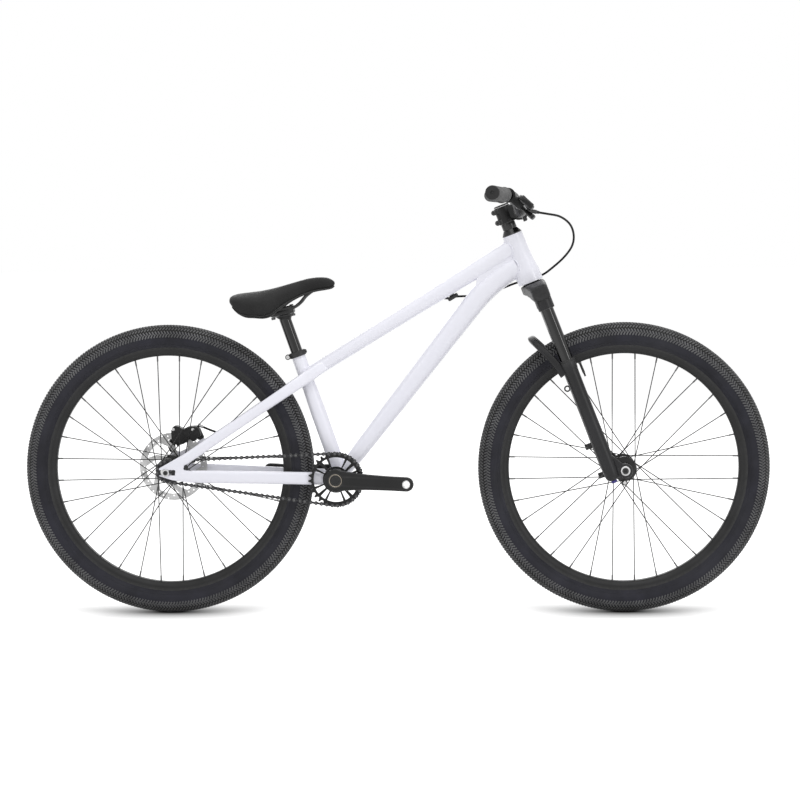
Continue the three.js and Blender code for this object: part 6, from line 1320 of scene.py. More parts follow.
link_length = CHAIN_LENGTH / CHAIN_PINS
pin_places = [chain_point(i * CHAIN_LENGTH / CHAIN_PINS) for i in range(CHAIN_PINS + 1)]
for i, (at, following) in enumerate(zip(pin_places, pin_places[1:])):
    way = following - at
    spot = Matrix.Translation(at) @ Matrix.Rotation(-math.atan2(way.z, way.x), 4, "Y")
    near, far, waist = (2.45, 3.2, 1.9) if i % 2 == 0 else (1.7, 2.4, 2.2)
    for side in (-1, 1):
        low, high = sorted((side * near, side * far))
        flat_plate(link_outline(link_length, 4.3, waist), low, high, spot)
piece("chain_plates", chain_steel, "frame", stands_for=["chain"], sharp=30)
for at in pin_places[:-1]:
    for radius, reach in ((1.75, 3.6), (3.1, 1.65)):
        round_rod([at + LEFT * y for y in (-reach, -reach + 0.2, reach - 0.2, reach)], radius, 14)
piece("chain_pins_and_rollers", dark_steel, "frame", sharp=30)
print("links", round(link_length, 2), "mm long")

# %% [markdown]
# ## Chainring and cog
# A tooth fills the space between two rollers, so each gap in the outline is part of a roller's
# circle and each tip is short and blunt. The chainring is cut away between four spiders, where the
# photograph shows open windows.

# %% Teeth
GAP_RADIUS = 3.3
TOOTH_HALF = 1.15
CRANK_TURN = 2.66 * DEGREE


def toothed(teeth, radius, gap_angle):
    outline = []
    for i in range(teeth):
        gap = gap_angle + i * TURN / teeth
        radial = Vector((math.cos(gap), math.sin(gap)))
        tangent = Vector((-math.sin(gap), math.cos(gap)))
        for k in range(7):
            u = (-66 + 22 * k) * DEGREE
            point = radial * (radius - GAP_RADIUS * math.cos(u)) + tangent * GAP_RADIUS * math.sin(u)
            outline.append(tuple(point))
        tip = gap + TURN / teeth / 2
        for shift in (-1.3, 1.3):
            angle = tip + shift / radius
            outline.append(polar(radius + 3.7, angle))
    return outline


def arc_window(inner, outer, start, end):
    out = [polar(outer, start + (end - start) * i / 10) for i in range(11)]
    back = [polar(inner, end + (start - end) * i / 10) for i in range(11)]
    return smooth_outline(out + back, 2.2, 2)


windows = [circle(15, 40)]
for quarter in range(4):
    middle = quarter * math.pi / 2 - CRANK_TURN
    windows.append(arc_window(30.5, 51.8, middle - 21.4 * DEGREE, middle + 21.4 * DEGREE))
    for hand in (1, -1):
        ends = sorted((middle + hand * 27.4 * DEGREE, middle + hand * 40.6 * DEGREE))
        windows.append(arc_window(30.5, 51.8, *ends))
planes = (CHAIN_LINE - TOOTH_HALF, CHAIN_LINE + TOOTH_HALF)
plate(toothed(RING_TEETH, RING_RADIUS, DRIVE_ANGLE), *planes, windows, bevel=0.35)
piece("chainring_teeth", satin_black, "crank", AT_BB, ["chainring"], sharp=25)
gap = DRIVE_ANGLE + math.pi + CHAIN_PINS / 2 * TURN / COG_TEETH
plate(toothed(COG_TEETH, COG_RADIUS, gap), *planes, [circle(16, 40)], bevel=0.35)
piece("cog_teeth", chain_steel, "rear_cog", AT_REAR, ["cog"], sharp=25)
loop = rounded([(6, -54), (15.4, -54), (15.4, -45.9), (6, -45.9), (6, -54)], 0.8)
turned(loop, "Y", count=56)
piece("freewheel_shell", bright_steel, "rear_cog", AT_REAR, ["freewheel_body"])
print("ring", RING_TEETH, "teeth, cog", COG_TEETH, "teeth")

# %% [markdown]
# ## Cranks
# The arms are forged alloy: flat faces, soft edges, a wide boss on the spindle and an open threaded
# hole for each pedal. A bevelled plate that leans outward towards its tip is close to the forging,
# and the boss is turned.

# %% Crank arms
ARM_LENGTH = 163.8
ARM_EDGE = [(0.12, 22.6), (0.25, 20), (0.45, 17.8), (0.65, 16.9), (0.82, 16.4), (0.93, 16.6)]
BOSS_RADIUS = 25.5


def arm_outline():
    tip = [polar(16.5, math.pi * (0.5 - i / 16)) for i in range(17)]
    points = [(share * ARM_LENGTH, half) for share, half in ARM_EDGE]
    points += [(ARM_LENGTH + x, z) for x, z in tip]
    points += [(share * ARM_LENGTH, -half) for share, half in reversed(ARM_EDGE)]
    return points + [polar(BOSS_RADIUS, (-76 - 208 * i / 24) * DEGREE) for i in range(25)]


def crank(side, word, turn):
    place = AT_BB @ Matrix.Rotation(turn, 4, "Y")
    lean = Matrix.Identity(4)
    lean[1][0] = side * 13.5 / ARM_LENGTH
    holes = [circle(7.3, 32, (ARM_LENGTH, 0)), circle(16.2, 48)]
    plate(arm_outline(), side * 58.5, side * 71.4, holes, bevel=2.6, place=lean)
    boss = rounded([(12.3, 49.6), (24, 49.6), (26.5, 52), (26.5, 69), (25, 71.5), (17, 71.5), (16, 70.8),
                    (15.8, 68.6), (12.3, 68.6), (12.3, 49.6)], 1.2)
    turned([(r, side * y) for r, y in boss], "Y", count=64)
    piece("crank_arm_" + word + "_forging", crank_black, "crank", place, ["crank_arm_" + word], sharp=32)
    face = side * 84.9
    for step in range(10):
        y = side * (84.4 - step * 1.25)
        turned([(7.35, y + 0.3), (6.9, y), (7.35, y - 0.3)], "Y", (ARM_LENGTH, 0, 0), 32)
    edge = [(7.3, face), (9.6, face), (9.6, face - side * 0.4), (7.3, face - side * 0.8)]
    turned(edge, "Y", (ARM_LENGTH, 0, 0), 32)
    piece("pedal_thread_" + word, bright_steel, "crank", place)


crank(-1, "right", CRANK_TURN)
crank(1, "left", CRANK_TURN - math.pi)
print("cranks", ARM_LENGTH, "mm long")

# %% Spindle, caps and cups
turned([(0, -66), (11.9, -66), (11.9, 66), (0, 66)], "Y", count=48)
for side in (-1, 1):
    cap = [(12.9, 66.4), (12.9, 71), (13.3, 71.4), (14.9, 71.4), (15.3, 71), (15.6, 69), (12.9, 66.4)]
    turned([(r, side * y) for r, y in cap], "Y", count=48)
piece("crank_cap_rings", bronze_ring, "crank", AT_BB, ["crank_spindle"])
for side in (-1, 1):
    socket_bolt((0, side * 66.2, 0), (0, side, 0), 12.8, 1.4, 36)
piece("crank_cap_sockets", turned_black, "crank", AT_BB)
for side, word in SIDES:
    loop = rounded([(12.4, 24), (18.6, 24), (18.6, 36.9), (21.9, 36.9), (21.9, 44.7), (17.2, 44.7),
                    (17, 43.9), (12.4, 43.9), (12.4, 24)], 0.5, 2)
    turned([(r, side * y) for r, y in loop], "Y", count=48)
    for x, z in circle(21.9, 16):
        round_rod([(x, side * y, z) for y in (37.8, 40.8, 43.8)], 0.9, 8)
    piece("bottom_bracket_cup_" + word, turned_black, "frame", AT_BB, ["bb_cup_" + word])
print("spindle and cups fitted")

# %% [markdown]
# ## Fork
# The fork is drawn about the steering axis, like the real one. The crown is a forging that bridges
# the two black stanchions. The lowers are one casting: two legs with a collar round each seal,
# a thick arch behind the legs' front line, and a foot for the axle. The crown and the arch are skins
# over ovals. The legs are turned, because each swells and narrows several times along its length.

# %% Crown
FORK_LEG_X = 10.6
FORK_LEG_Y = 66
CROWN_HALF = 85
CROWN_SHARES = [-1, -0.96, -0.86, -0.7, -0.5, -0.28, 0, 0.28, 0.5, 0.7, 0.86, 0.96, 1]

rings = []
for share in CROWN_SHARES:
    out = abs(share)
    deep = 54 - 16 * out**1.5
    top = -2 - 13 * out**3
    low = -25 - 20.7 * min(out * 1.25, 1) ** 1.6
    end = 0.9 if out > 0.99 else 1
    middle = (FORK_LEG_X * out**0.6, share * CROWN_HALF, (top + low) / 2)
    rings.append(oval(middle, AHEAD, UP, deep * end, (top - low) * end, 6, 48))
skin(rings)
for side in (-1, 1):
    boss = rounded([(15.4, -68.3), (18.2, -68.3), (19, -67), (19, -16), (18, -14.4), (12.6, -14.4),
                    (12.6, -17), (0, -17)], 0.8, 2)
    turned(boss, "Z", (FORK_LEG_X, side * FORK_LEG_Y, 0), 48)
turned([(19, -30), (19, -1), (25.6, -0.3), (25.6, 0.4), (19.9, 1.7), (0, 1.7)], count=64)
piece("fork_crown_forging", fork_paint, "steering", AT_STEERING, ["fork_crown"], sharp=40)
for side in (-1, 1):
    at = Vector((FORK_LEG_X, side * FORK_LEG_Y, -16.8))
    cap = rounded([(0, 3.4), (7.4, 3.4), (7.8, 5.6), (11.4, 5.6), (12.2, 4.6), (12.2, 0), (0, 0)], 0.4, 2)
    turned(cap, "Z", at, 48)
piece("fork_crown_caps", turned_black, "steering", AT_STEERING)
turned([(14.25, 1), (14.25, 182), (0, 182)], count=48)
piece("steerer_tube", dark_steel, "steering", AT_STEERING)
print("crown", 2 * CROWN_HALF, "mm wide")

# %% Stanchions, seals and knob
def stanchions(side, word):
    at = (FORK_LEG_X, side * FORK_LEG_Y, 0)
    turned([(0, -300), (15, -300), (15, -60), (14.9, -17), (0, -17)], "Z", at, 64)
    piece("stanchion_" + word + "_tube", stanchion_black, "steering", AT_STEERING, ["stanchion_" + word])
    lip = rounded([(15.1, -196.8), (17.2, -196.8), (17.2, -193.6), (16.6, -192.6), (15.9, -191.9),
                   (15.1, -191.9), (15.1, -196.8)], 0.4, 2)
    turned(lip, "Z", at, 64)
    turned([(16.9, -194.4), (17.5, -194.1), (16.9, -193.8)], "Z", at, 64)
    piece("fork_seal_" + word + "_lip", black_plastic, "lower_legs", AT_STEERING, ["fork_seal_" + word])


for side, word in SIDES:
    stanchions(side, word)

KNOB_GROOVES = 18
KNOB_ROWS = ((3, -488.4), (5.6, -488.6), (6.7, -489.4), (6.9, -490.2), (6.9, -493.6), (6.2, -494.8),
             (5, -495.3))

at = Vector((FORK_LEG_X, -FORK_LEG_Y, 0))
rings = []
for radius, height in KNOB_ROWS:
    ring = []
    for i in range(4 * KNOB_GROOVES):
        r = radius - (0.35 if radius > 6.5 and i % 4 < 2 else 0)
        ring.append(at + Vector((*polar(r, i * TURN / (4 * KNOB_GROOVES)), height)))
    rings.append(ring)
skin(rings)
piece("rebound_knob_alloy", knob_blue, "rebound_adjuster", AT_STEERING, ["rebound_knob"], sharp=25)
print("knob has", KNOB_GROOVES, "grooves")

# %% Lower legs
LEG_PROFILE = [
    (15.6, -197), (17.4, -197), (18, -197.7), (18, -213.6), (17.7, -214.6), (17, -218), (16.6, -232),
    (16.5, -290), (16.8, -340), (17.3, -385), (17.5, -400.7), (17.5, -440), (17.4, -458.9), (16.9, -469),
    (16.3, -476.4), (15.3, -481.5), (13.4, -485.6), (10.5, -488), (0, -488),
]
ARCH_MARKS = [
    (0.3, -1, -0.1), (0.52, -0.97, 0.34), (0.86, -0.7, 0.82), (0.98, -0.35, 0.97), (1, 0, 1),
    (0.98, 0.35, 0.97), (0.86, 0.7, 0.82), (0.52, 0.97, 0.34), (0.3, 1, -0.1),
]
EYE = Vector((FORK_OFFSET, 0, -AXLE_TO_HEAD_TUBE))


def fork_foot(side):
    """The plate that joins a leg to the axle, with an eye round the axle and a split clamp."""
    round_eye = [polar(17, angle * DEGREE) for angle in range(-150, 91, 10)]
    outline = [(EYE.x + x, EYE.z + z) for x, z in round_eye]
    root = [(14, -428), (4, -405), (-10, -430), (-12, -470), (-2, -486.5)]
    outline += [(FORK_LEG_X + x, z) for x, z in root]
    hole = circle(7.6, 40, (EYE.x, EYE.z))
    plate(outline, side * 55.4, side * 70, [hole], bevel=2.2)


for side in (-1, 1):
    turned(LEG_PROFILE, "Z", (FORK_LEG_X, side * FORK_LEG_Y, 0), 64)
marks = [Vector((FORK_LEG_X - s0 * 56.6, s1 * 66, -214 + s2 * 91)) for s0, s1, s2 in ARCH_MARKS]
path = smooth_values(marks, 64)
rings = []
for i, (at, way) in enumerate(zip(path, directions(path))):
    forward, upward = crossways(way, AHEAD)
    near = abs(i / 64 - 0.5) * 2
    rings.append(oval(at, forward, upward, 17 + 5 * near**6, 13 + 6 * near**6, 3, 32))
skin(rings)
piece("fork_lowers_casting", fork_paint, "lower_legs", AT_STEERING, ["fork_lowers"], sharp=40)
for side, word in SIDES:
    fork_foot(side)
    piece("fork_foot_" + word, fork_paint, "lower_legs", AT_STEERING, sharp=40)
for height, reach in ((-411, -22.4), (-485, -17.7)):
    path = [(x, 62, height) for x in (FORK_LEG_X, reach + 1.2, reach + 0.3, reach)]
    round_rod(path, lambda t: 7 if t < 0.9 else 6.2, 28)
piece("fork_brake_posts", fork_paint, "lower_legs", AT_STEERING, sharp=40)
print("legs", 2 * FORK_LEG_Y, "mm apart")

# %% Axle clamp and hose clip
lug = [(31.6, y, -503.5) for y in (-69.5, -68.9, -56.1, -55.5)]
round_rod(lug, lambda t: 6.5 if 0.1 < t < 0.9 else 6, 28)
piece("axle_clamp_lug", fork_paint, "lower_legs", AT_STEERING, sharp=40)
socket_bolt((31.6, -69.2, -503.5), (0, -1, 0), 3.9, 2.4)
piece("axle_clamp_bolt", bright_steel, "lower_legs", AT_STEERING)
at = Vector((-11, 60, -266))
loop = [at + Vector((x, 0, z)) for x, z in circle(6, 24)]
round_rod([*loop, loop[0]], 1.8, 10)
round_rod([at + Vector((x, y, 0)) for x, y in ((5, 0), (8, 1.5), (12, 3))], 2.6, 12)
piece("front_hose_clip", black_plastic, "lower_legs", AT_STEERING)
print("fork", round(AXLE_TO_HEAD_TUBE), "mm from crown to axle")

# %% [markdown]
# ## Headset and stem
# Above the head tube sit a conical cover, a spacer and the stem. The stem is a short block: a
# round clamp on the steerer at the back, a body with a hollow below, and a front plate that four
# bolts pull against the bar. Two more bolts close the split behind the steerer.

# %% Cover, spacer and top cap
BAR_CENTRE = Vector((35, 0, 162.3))

cover = [(15, 118.3), (23, 118.3), (23.4, 118.6), (23.4, 119.9), (23, 120.4), (21.2, 123.4), (17.3, 129.8),
         (16.5, 130.6), (15, 130.6)]
turned(cover, count=64)
piece("headset_cover_alloy", turned_black, "steering", AT_STEERING, ["headset_cover"])
ring = rounded([(14.4, 131.1), (16.5, 131.1), (16.5, 145.9), (14.4, 145.9), (14.4, 131.1)], 0.5, 2)
turned(ring, count=64)
piece("headset_spacer_alloy", turned_black, "steering", AT_STEERING, ["headset_spacer"])
cap = rounded([(0, 186.7), (17.4, 186.7), (17.4, 189.4), (15.8, 190.5), (6, 190.5), (5.4, 189.8),
               (0, 189.8)], 0.4, 2)
turned(cap, count=64)
socket_bolt((0, 0, 189.8), (0, 0, 1), 4.6, 0.8)
piece("stem_top_cap", turned_black, "steering", AT_STEERING, ["top_cap"])
print("bar clamp", round(BAR_CENTRE.z, 1), "mm above the head tube's foot")

# %% Stem
PINCH_HEIGHTS = (153.8, 178.8)

column = rounded([(14.4, 146.4), (18.4, 146.4), (19, 147.2), (19, 185.4), (18.2, 186.2), (14.4, 186.2),
                  (14.4, 146.4)], 0.6, 2)
turned(column, count=64)
body = ((0, 30, 185, 152), (9, 30.6, 184.6, 152), (16, 33, 184.2, 149), (24, 41, 184, 143.5),
        (34.6, 46, 184.1, 140.5))
skin([oval((x, 0, (top + low) / 2), LEFT, UP, wide, top - low, 5, 48) for x, wide, top, low in body])
for height in PINCH_HEIGHTS:
    round_rod([(-21.7, y, height) for y in (-15, -14.4, 14.4, 15)],
              lambda t: 6 if 0.01 < t < 0.99 else 5.4, 28)
    ears = ((-21.7, 30), (-16, 31), (-10, 33))
    skin([oval((x, 0, height), LEFT, UP, wide, 11.6, 6, 32) for x, wide in ears])
piece("stem_forging", satin_black, "steering", AT_STEERING, ["stem"], sharp=40)
for height in PINCH_HEIGHTS:
    socket_bolt((-21.7, -14.9, height), (0, -1, 0), 4.2, 1.8)
    hex_nut((-21.7, 14.9, height), (0, 1, 0), 3.8, 1.4)
piece("stem_pinch_bolts", dark_steel, "steering", AT_STEERING)
print("stem clamped by bolts at", PINCH_HEIGHTS, "mm")

# %% Faceplate
sweep = [(-88 + 176 * i / 24) * DEGREE for i in range(25)]
rings = []
for y, grow in ((-22.8, -0.6), (-22.2, 0), (-11.5, 0), (-10.8, -1.2), (10.8, -1.2), (11.5, 0), (22.2, 0),
                (22.8, -0.6)):
    outer = [polar(22 + grow, angle) for angle in sweep]
    inner = [polar(16.1 - grow * 0.3, -angle) for angle in sweep]
    loop = outer + [(x + 0.2, z) for x, z in inner]
    rings.append([BAR_CENTRE + Vector((x, y, z)) for x, z in loop])
skin(rings)
piece("stem_faceplate_forging", satin_black, "steering", AT_STEERING, ["stem_faceplate"], sharp=35)
corners = [BAR_CENTRE + Vector((0.6, y, up)) for y in (-16.6, 16.6) for up in (-21.7, 21.7)]
for at in corners:
    round_rod([at + AHEAD * x for x in (0, 0.6, 7, 7.6)], lambda t: 5.6 if 0.2 < t < 0.8 else 5.2, 28)
piece("stem_faceplate_ears", satin_black, "steering", AT_STEERING, sharp=35)
for at in corners:
    socket_bolt(at + AHEAD * 7.5, AHEAD, 4, 1.9)
piece("stem_faceplate_bolts", dark_steel, "steering", AT_STEERING)
print("stem reach", BAR_CENTRE.x, "mm")

# %% [markdown]
# ## Bar and grips
# The bar is one tapered tube that rises and sweeps back. Its path is a smooth curve through ten
# measured marks on each side, and its radius shrinks outside the clamp. The grips are soft rubber
# with raised diamonds in their middle, which are real small pads rather than a bump, because the
# grip's outline shows against the white.

# %% Bar
BAR_MARKS = [
    (0, 0, 0), (0, 0.13, 0), (0, 0.21, 0.03), (0.01, 0.265, 0.2), (0.03, 0.322, 0.44), (0.07, 0.38, 0.58),
    (0.2, 0.47, 0.66), (0.5, 0.67, 0.785), (0.8, 0.87, 0.914), (1, 1, 1),
]
BAR_HALF = 388
BAR_SWEEP = 46
BAR_RISE = 59
CLAMP_RADIUS = 15.85
GRIP_RADIUS = 11.1
GRIP_LENGTH = 132


def bar_path(side):
    size = Vector((-BAR_SWEEP, side * BAR_HALF, BAR_RISE))
    return smooth_values([BAR_CENTRE + size * Vector(mark) for mark in BAR_MARKS], 120)


def bar_radius(at):
    """Thick in the clamp, thinner where the hands and the lever sit."""
    t = min(max((abs(at) - 52) / 73, 0), 1)
    return CLAMP_RADIUS + (GRIP_RADIUS - CLAMP_RADIUS) * t * t * (3 - 2 * t)


left, right = bar_path(1), bar_path(-1)
path = right[:0:-1] + left
round_rod(path, lambda t: bar_radius(path[round(t * (len(path) - 1))].y), 40)
piece("handlebar_tube", satin_black, "steering", AT_STEERING, ["handlebar"], sharp=50)
print("bar", round(2 * BAR_HALF), "mm wide")

# %% Grips
def along_bar(side, reach):
    """The place on the bar at a distance from its end, with Z pointing outward."""
    path = bar_path(side)
    back = path[::-1]
    walked = 0
    for a, b in zip(back, back[1:]):
        step = (b - a).length
        if walked + step >= reach:
            at = a.lerp(b, (reach - walked) / step)
            return facing(at, (a - b).normalized())
        walked += step


def grip(side, word):
    profile = [
        (11.2, 0), (16.2, 0), (16.8, 0.8), (16.8, 3.2), (16.2, 4), (15, 5.4), (14.6, 8), (14.9, 14),
        (15, 30), (14.8, 70), (15, 110), (15, 124), (14.6, 126.4), (11.2, 126.4),
    ]
    foot = along_bar(side, GRIP_LENGTH)
    tip = along_bar(side, 4)
    base = facing(foot.translation, tip.translation - foot.translation)
    turned(profile, count=72)
    for row in range(16):
        for k in range(22):
            angle = (k + row % 2 * 0.5) * TURN / 22
            height = 32 + row * 4.6
            middle = Vector((*polar(14.7, angle), height))
            outward = Vector((*polar(1, angle), 0))
            round_way = UP.cross(outward)
            edges = [round_way * u * 1.8 + UP * v * 2.1 for u, v in ((-1, 0), (0, -1), (1, 0), (0, 1))]
            top = [middle + edge * 0.72 + outward * 0.75 for edge in edges]
            small_pad([middle + edge for edge in edges], top)
    rib = ((14.7, -0.8), (15.5, -0.3), (15.5, 0.3), (14.7, 0.8))
    for height in [9 + 2.6 * i for i in range(8)] + [108 + 2.6 * i for i in range(6)]:
        turned([(r, height + up) for r, up in rib], count=72)
    board.transform(base)
    piece("grip_" + word + "_rubber", grip_rubber, "steering", AT_STEERING, ["grip_" + word])
    end = rounded([(3, 127), (3, 133.4), (4.4, 135.6), (13.6, 135.6), (15.4, 134.4), (15.4, 126.2),
                   (3, 126.2)], 0.8, 2)
    turned(end, count=56)
    board.transform(base)
    piece("grip_end_" + word, grip_end_rubber, "steering", AT_STEERING)


for side, word in SIDES:
    grip(side, word)
print("grips", GRIP_LENGTH, "mm long")

# %% [markdown]
# ## Brake lever
# A hydraulic lever is a clamp ring round the bar, an arm, a master cylinder with its flat reservoir,
# and a blade on a pivot. It is drawn in the lever's own frame: X reaches out towards the fingers'
# side, Y runs along the bar and Z is up from the bar.

# %% Lever body
LEVER_TILT = 63.5 * DEGREE
BLADE_SHARES = [
    (-0.02, -0.03, 0.55), (0.1, 0.06, 0.6), (0.44, 0.17, 0.62), (0.84, 0.4, 1), (0.98, 0.62, 0.98),
    (0.98, 0.84, 0.9), (0.92, 0.97, 0.95), (0.9, 1, 0.7),
]
ARM_ROWS = [
    (11.5, -7, 12, -8, 9), (18, -7, 16, -8, 12), (27, -8, 17.5, -8, 14), (38, -8, 18, -8, 13),
    (41, -6, 16, -6.5, 11),
]
RESERVOIR_ROWS = [
    (-47.6, 34, 52, 10.5, 19.5), (-45, 29.5, 57, 8.8, 21), (-36, 23, 60, 8.4, 21.3),
    (-14, 19.4, 61, 8.3, 21.3), (10, 19, 61, 8.3, 21.3), (21, 20.5, 59.5, 8.8, 21),
    (23.8, 24, 56, 10.5, 19.6),
]
LEVER_TURN = Matrix.Rotation(-HEAD_TILT, 4, "Y") @ Matrix.Rotation(LEVER_TILT, 4, "Y")
AT_LEVER = place_at(Vector((259.39, -214, 965.95))) @ LEVER_TURN

ring = [(11.3, -7), (16.2, -7), (16.5, -6.4), (16.5, 6.4), (16.2, 7), (11.3, 7), (11.3, -7)]
turned(rounded(ring, 0.5, 2), "Y", count=56)
rings = []
for x, low, high, down, up in ARM_ROWS:
    rings.append(oval((x, (low + high) / 2, (down + up) / 2), LEFT, UP, high - low, up - down, 4, 36))
skin(rings)
rings = []
for y, near, far, down, up in RESERVOIR_ROWS:
    rings.append(oval(((near + far) / 2, y, (down + up) / 2), AHEAD, UP, far - near, up - down, 4.5, 44))
skin(rings)
piece("brake_lever_casting", satin_black, "steering", AT_LEVER, ["brake_lever_body"], sharp=40)
lid = smooth_outline([(24.5, -39), (56.5, -39), (56.5, 15), (24.5, 15)], 8)
stand = Matrix.Rotation(-math.pi / 2, 4, "X")
plate([(x, y) for x, y in lid], -22.3, -20.8, bevel=0.5, place=stand)
piece("brake_lever_lid", black_plastic, "steering", AT_LEVER)
for x, y in ((28.5, -34.5), (52.5, 10.5)):
    socket_bolt((x, y, 22.1), (0, 0, 1), 2.6, 0.9)
socket_bolt((16.3, 0, 3), (1, 0, 0.2), 2.8, 1)
piece("brake_lever_screws", bright_steel, "steering", AT_LEVER)
print("lever tilted", round(LEVER_TILT / DEGREE, 1), "degrees")

# %% Lever blade
pivot = Vector((32, 9, 0))
marks = [Vector((pivot.x + reach * 41, pivot.y - out * 107, 0)) for reach, out, high in BLADE_SHARES]
path = smooth_values(marks, 48)
heights = [high * 12 for reach, out, high in BLADE_SHARES]
shares = [i / 7 for i in range(8)]
rings = []
for i, (at, way) in enumerate(zip(path, directions(path))):
    across = UP.cross(way).normalized()
    tall = eased(shares, heights, i / 48)
    end = 0.72 if i in (0, 48) else 1
    rings.append(oval(at, across, UP, 7 * end, tall * end, 2.8, 28))
skin(rings)
round_rod([pivot + UP * z for z in (-5.6, -5.2, 5.2, 5.6)], lambda t: 5.9 if 0.1 < t < 0.9 else 5.4, 32)
piece("brake_lever_blade_forging", satin_black, "brake_lever", AT_LEVER, ["brake_lever_blade"], sharp=40)
round_rod([pivot + UP * z for z in (-8.6, -8.4, 8.2, 8.4)], 2.4, 20)
piece("brake_lever_pivot_pin", bright_steel, "steering", AT_LEVER)
print("blade reaches", round((path[-1] - pivot).length), "mm from its pivot")

# %% [markdown]
# ## Seat clamp, post and rails
# A collar with two ears and one bolt holds the post in the seat tube. At the post's top a cradle
# and a clamp plate hold the two saddle rails between them with two bolts. The rails are one bent
# steel rod in outline: they run from the saddle's tail, level through the clamp, and up to its nose.

# %% Seat clamp
EAR_X = -23.3
EAR_Z = -3.5

collar = [(16.4, -9.9), (19.2, -9.9), (19.6, -9.4), (19.6, 1.4), (18.6, 2.6), (17, 2.9), (14, 2.9),
          (14, 0.5), (16.4, 0.4)]
turned(collar, count=64, closed=True)
for side in (-1, 1):
    rows = ((-16, 0), (-20, 0), (-24, -0.4), (-25, -2.2))
    skin([oval((x, side * 4.9, EAR_Z), LEFT, UP, 7.2 + grow, 9.6 + grow, 5, 28) for x, grow in rows])
    ear = [(EAR_X, side * y, EAR_Z) for y in (1.3, 1.6, 8.2, 8.7)]
    round_rod(ear, lambda t: 6.2 if 0.1 < t < 0.9 else 5.7, 32)
nub = [(x, 0, -3.4) for x in (18, 21.6, 22.2)]
round_rod(nub, lambda t: 4.4 if t < 0.9 else 3.8, 24)
piece("seat_clamp_alloy", satin_black, "frame", AT_SEAT, ["seat_clamp"])
socket_bolt((EAR_X, -8.5, EAR_Z), (0, -1, 0), 4.2, 1.6)
hex_nut((EAR_X, 8.5, EAR_Z), (0, 1, 0), 3.9, 2.5)
round_rod([(EAR_X, y, EAR_Z) for y in (-8, 0, 8)], 2.4, 16)
piece("seat_clamp_bolt", bright_steel, "frame", AT_SEAT)
print("clamp bolt", -EAR_X, "mm behind the post's axis")

# %% Post and rail clamp
POST_RADIUS = 13.6

top = RAIL_ABOVE_SEAT_TUBE
tube = [(10.6, -109.5), (13.2, -109.5), (POST_RADIUS, -109), (POST_RADIUS, top - 23), (13.2, top - 15),
        (12.4, top - 7), (0, top - 7)]
turned(tube, count=64)
piece("seatpost_tube", stanchion_black, "seat", AT_SEAT, ["seatpost"])
cradle = ((-12.2, 40, 30), (-11.6, 50, 42), (-9.5, 56, 50), (-6, 57.6, 53.4), (-1.2, 57.6, 53.4),
          (-0.5, 56.8, 52.6))
skin([oval((0, 0, z), AHEAD, LEFT, long_side, wide, 6, 48) for z, long_side, wide in cradle])
neck = ((-23.5, 25, 25), (-20, 28, 27), (-16, 36, 32.5), (-11.8, 44, 38))
skin([oval((3 - (z + 12) * 0.12, 0, z), AHEAD, LEFT, long_side, wide, 2.6, 48)
      for z, long_side, wide in neck])
piece("seatpost_head", satin_black, "seat", AT_RAILS)
lid = ((0.5, 56.8, 52.6), (1.1, 57.6, 53.4), (5.6, 57.6, 53.4), (6.6, 56, 51.6), (7.1, 50, 46))
skin([oval((0, 0, z), AHEAD, LEFT, long_side, wide, 6, 48) for z, long_side, wide in lid])
piece("rail_clamp_plate", satin_black, "seat", AT_RAILS, ["rail_clamp"])
for x in (-23.5, 23.5):
    socket_bolt((x, 0, -12.4), (0, 0, -1), 5, 5.4)
    round_rod([(x, 0, z) for z in (-12, 0, 7.4, 8.8)], 2.9, 20)
    hex_nut((x, 0, 6.9), (0, 0, 1), 4.6, 2.6)
piece("rail_clamp_bolts", dark_steel, "seat", AT_RAILS)
print("post", 2 * POST_RADIUS, "mm across")

# %% Rails
RAIL_HALF = 22
RAIL_RISE = 34
RAIL_REACH = 92
RAIL_MARKS = [
    (0.97, 0.25, 0.97), (0.88, 0.5, 0.88), (0.66, 0.72, 0.6), (0.5, 0.86, 0.26), (0.33, 1, 0.04),
    (0.1, 1, 0), (-0.25, 1, 0), (-0.5, 1, 0), (-0.7, 1.1, 0.17), (-0.88, 1.3, 0.56), (-1, 1.42, 1.08),
]


def half(side):
    return [Vector((x * RAIL_REACH, side * y * RAIL_HALF, z * RAIL_RISE)) for x, y, z in RAIL_MARKS]


marks = half(-1)[::-1] + [Vector((RAIL_REACH, 0, RAIL_RISE))] + half(1)
round_rod(smooth_values(marks, 160), 3.5, 20)
piece("saddle_rails_steel", dark_steel, "seat", AT_RAILS, ["saddle_rails"])
print("rails", 2 * RAIL_HALF, "mm apart")

# %% [markdown]
# ## Saddle
# The saddle is a plastic shell, a foam pad and a stretched cover. Its shape is a row of sections
# from the broad tail to the narrow nose. The hard shell below is a skin over the sections' lower
# edges. The cushion is simulated: a closed surface is remeshed into even cells and blown up a
# little as cloth, without gravity, so the cover pulls tight over its edges and bulges between them
# as foam does. Its movement is capped, so the form keeps to the sections.

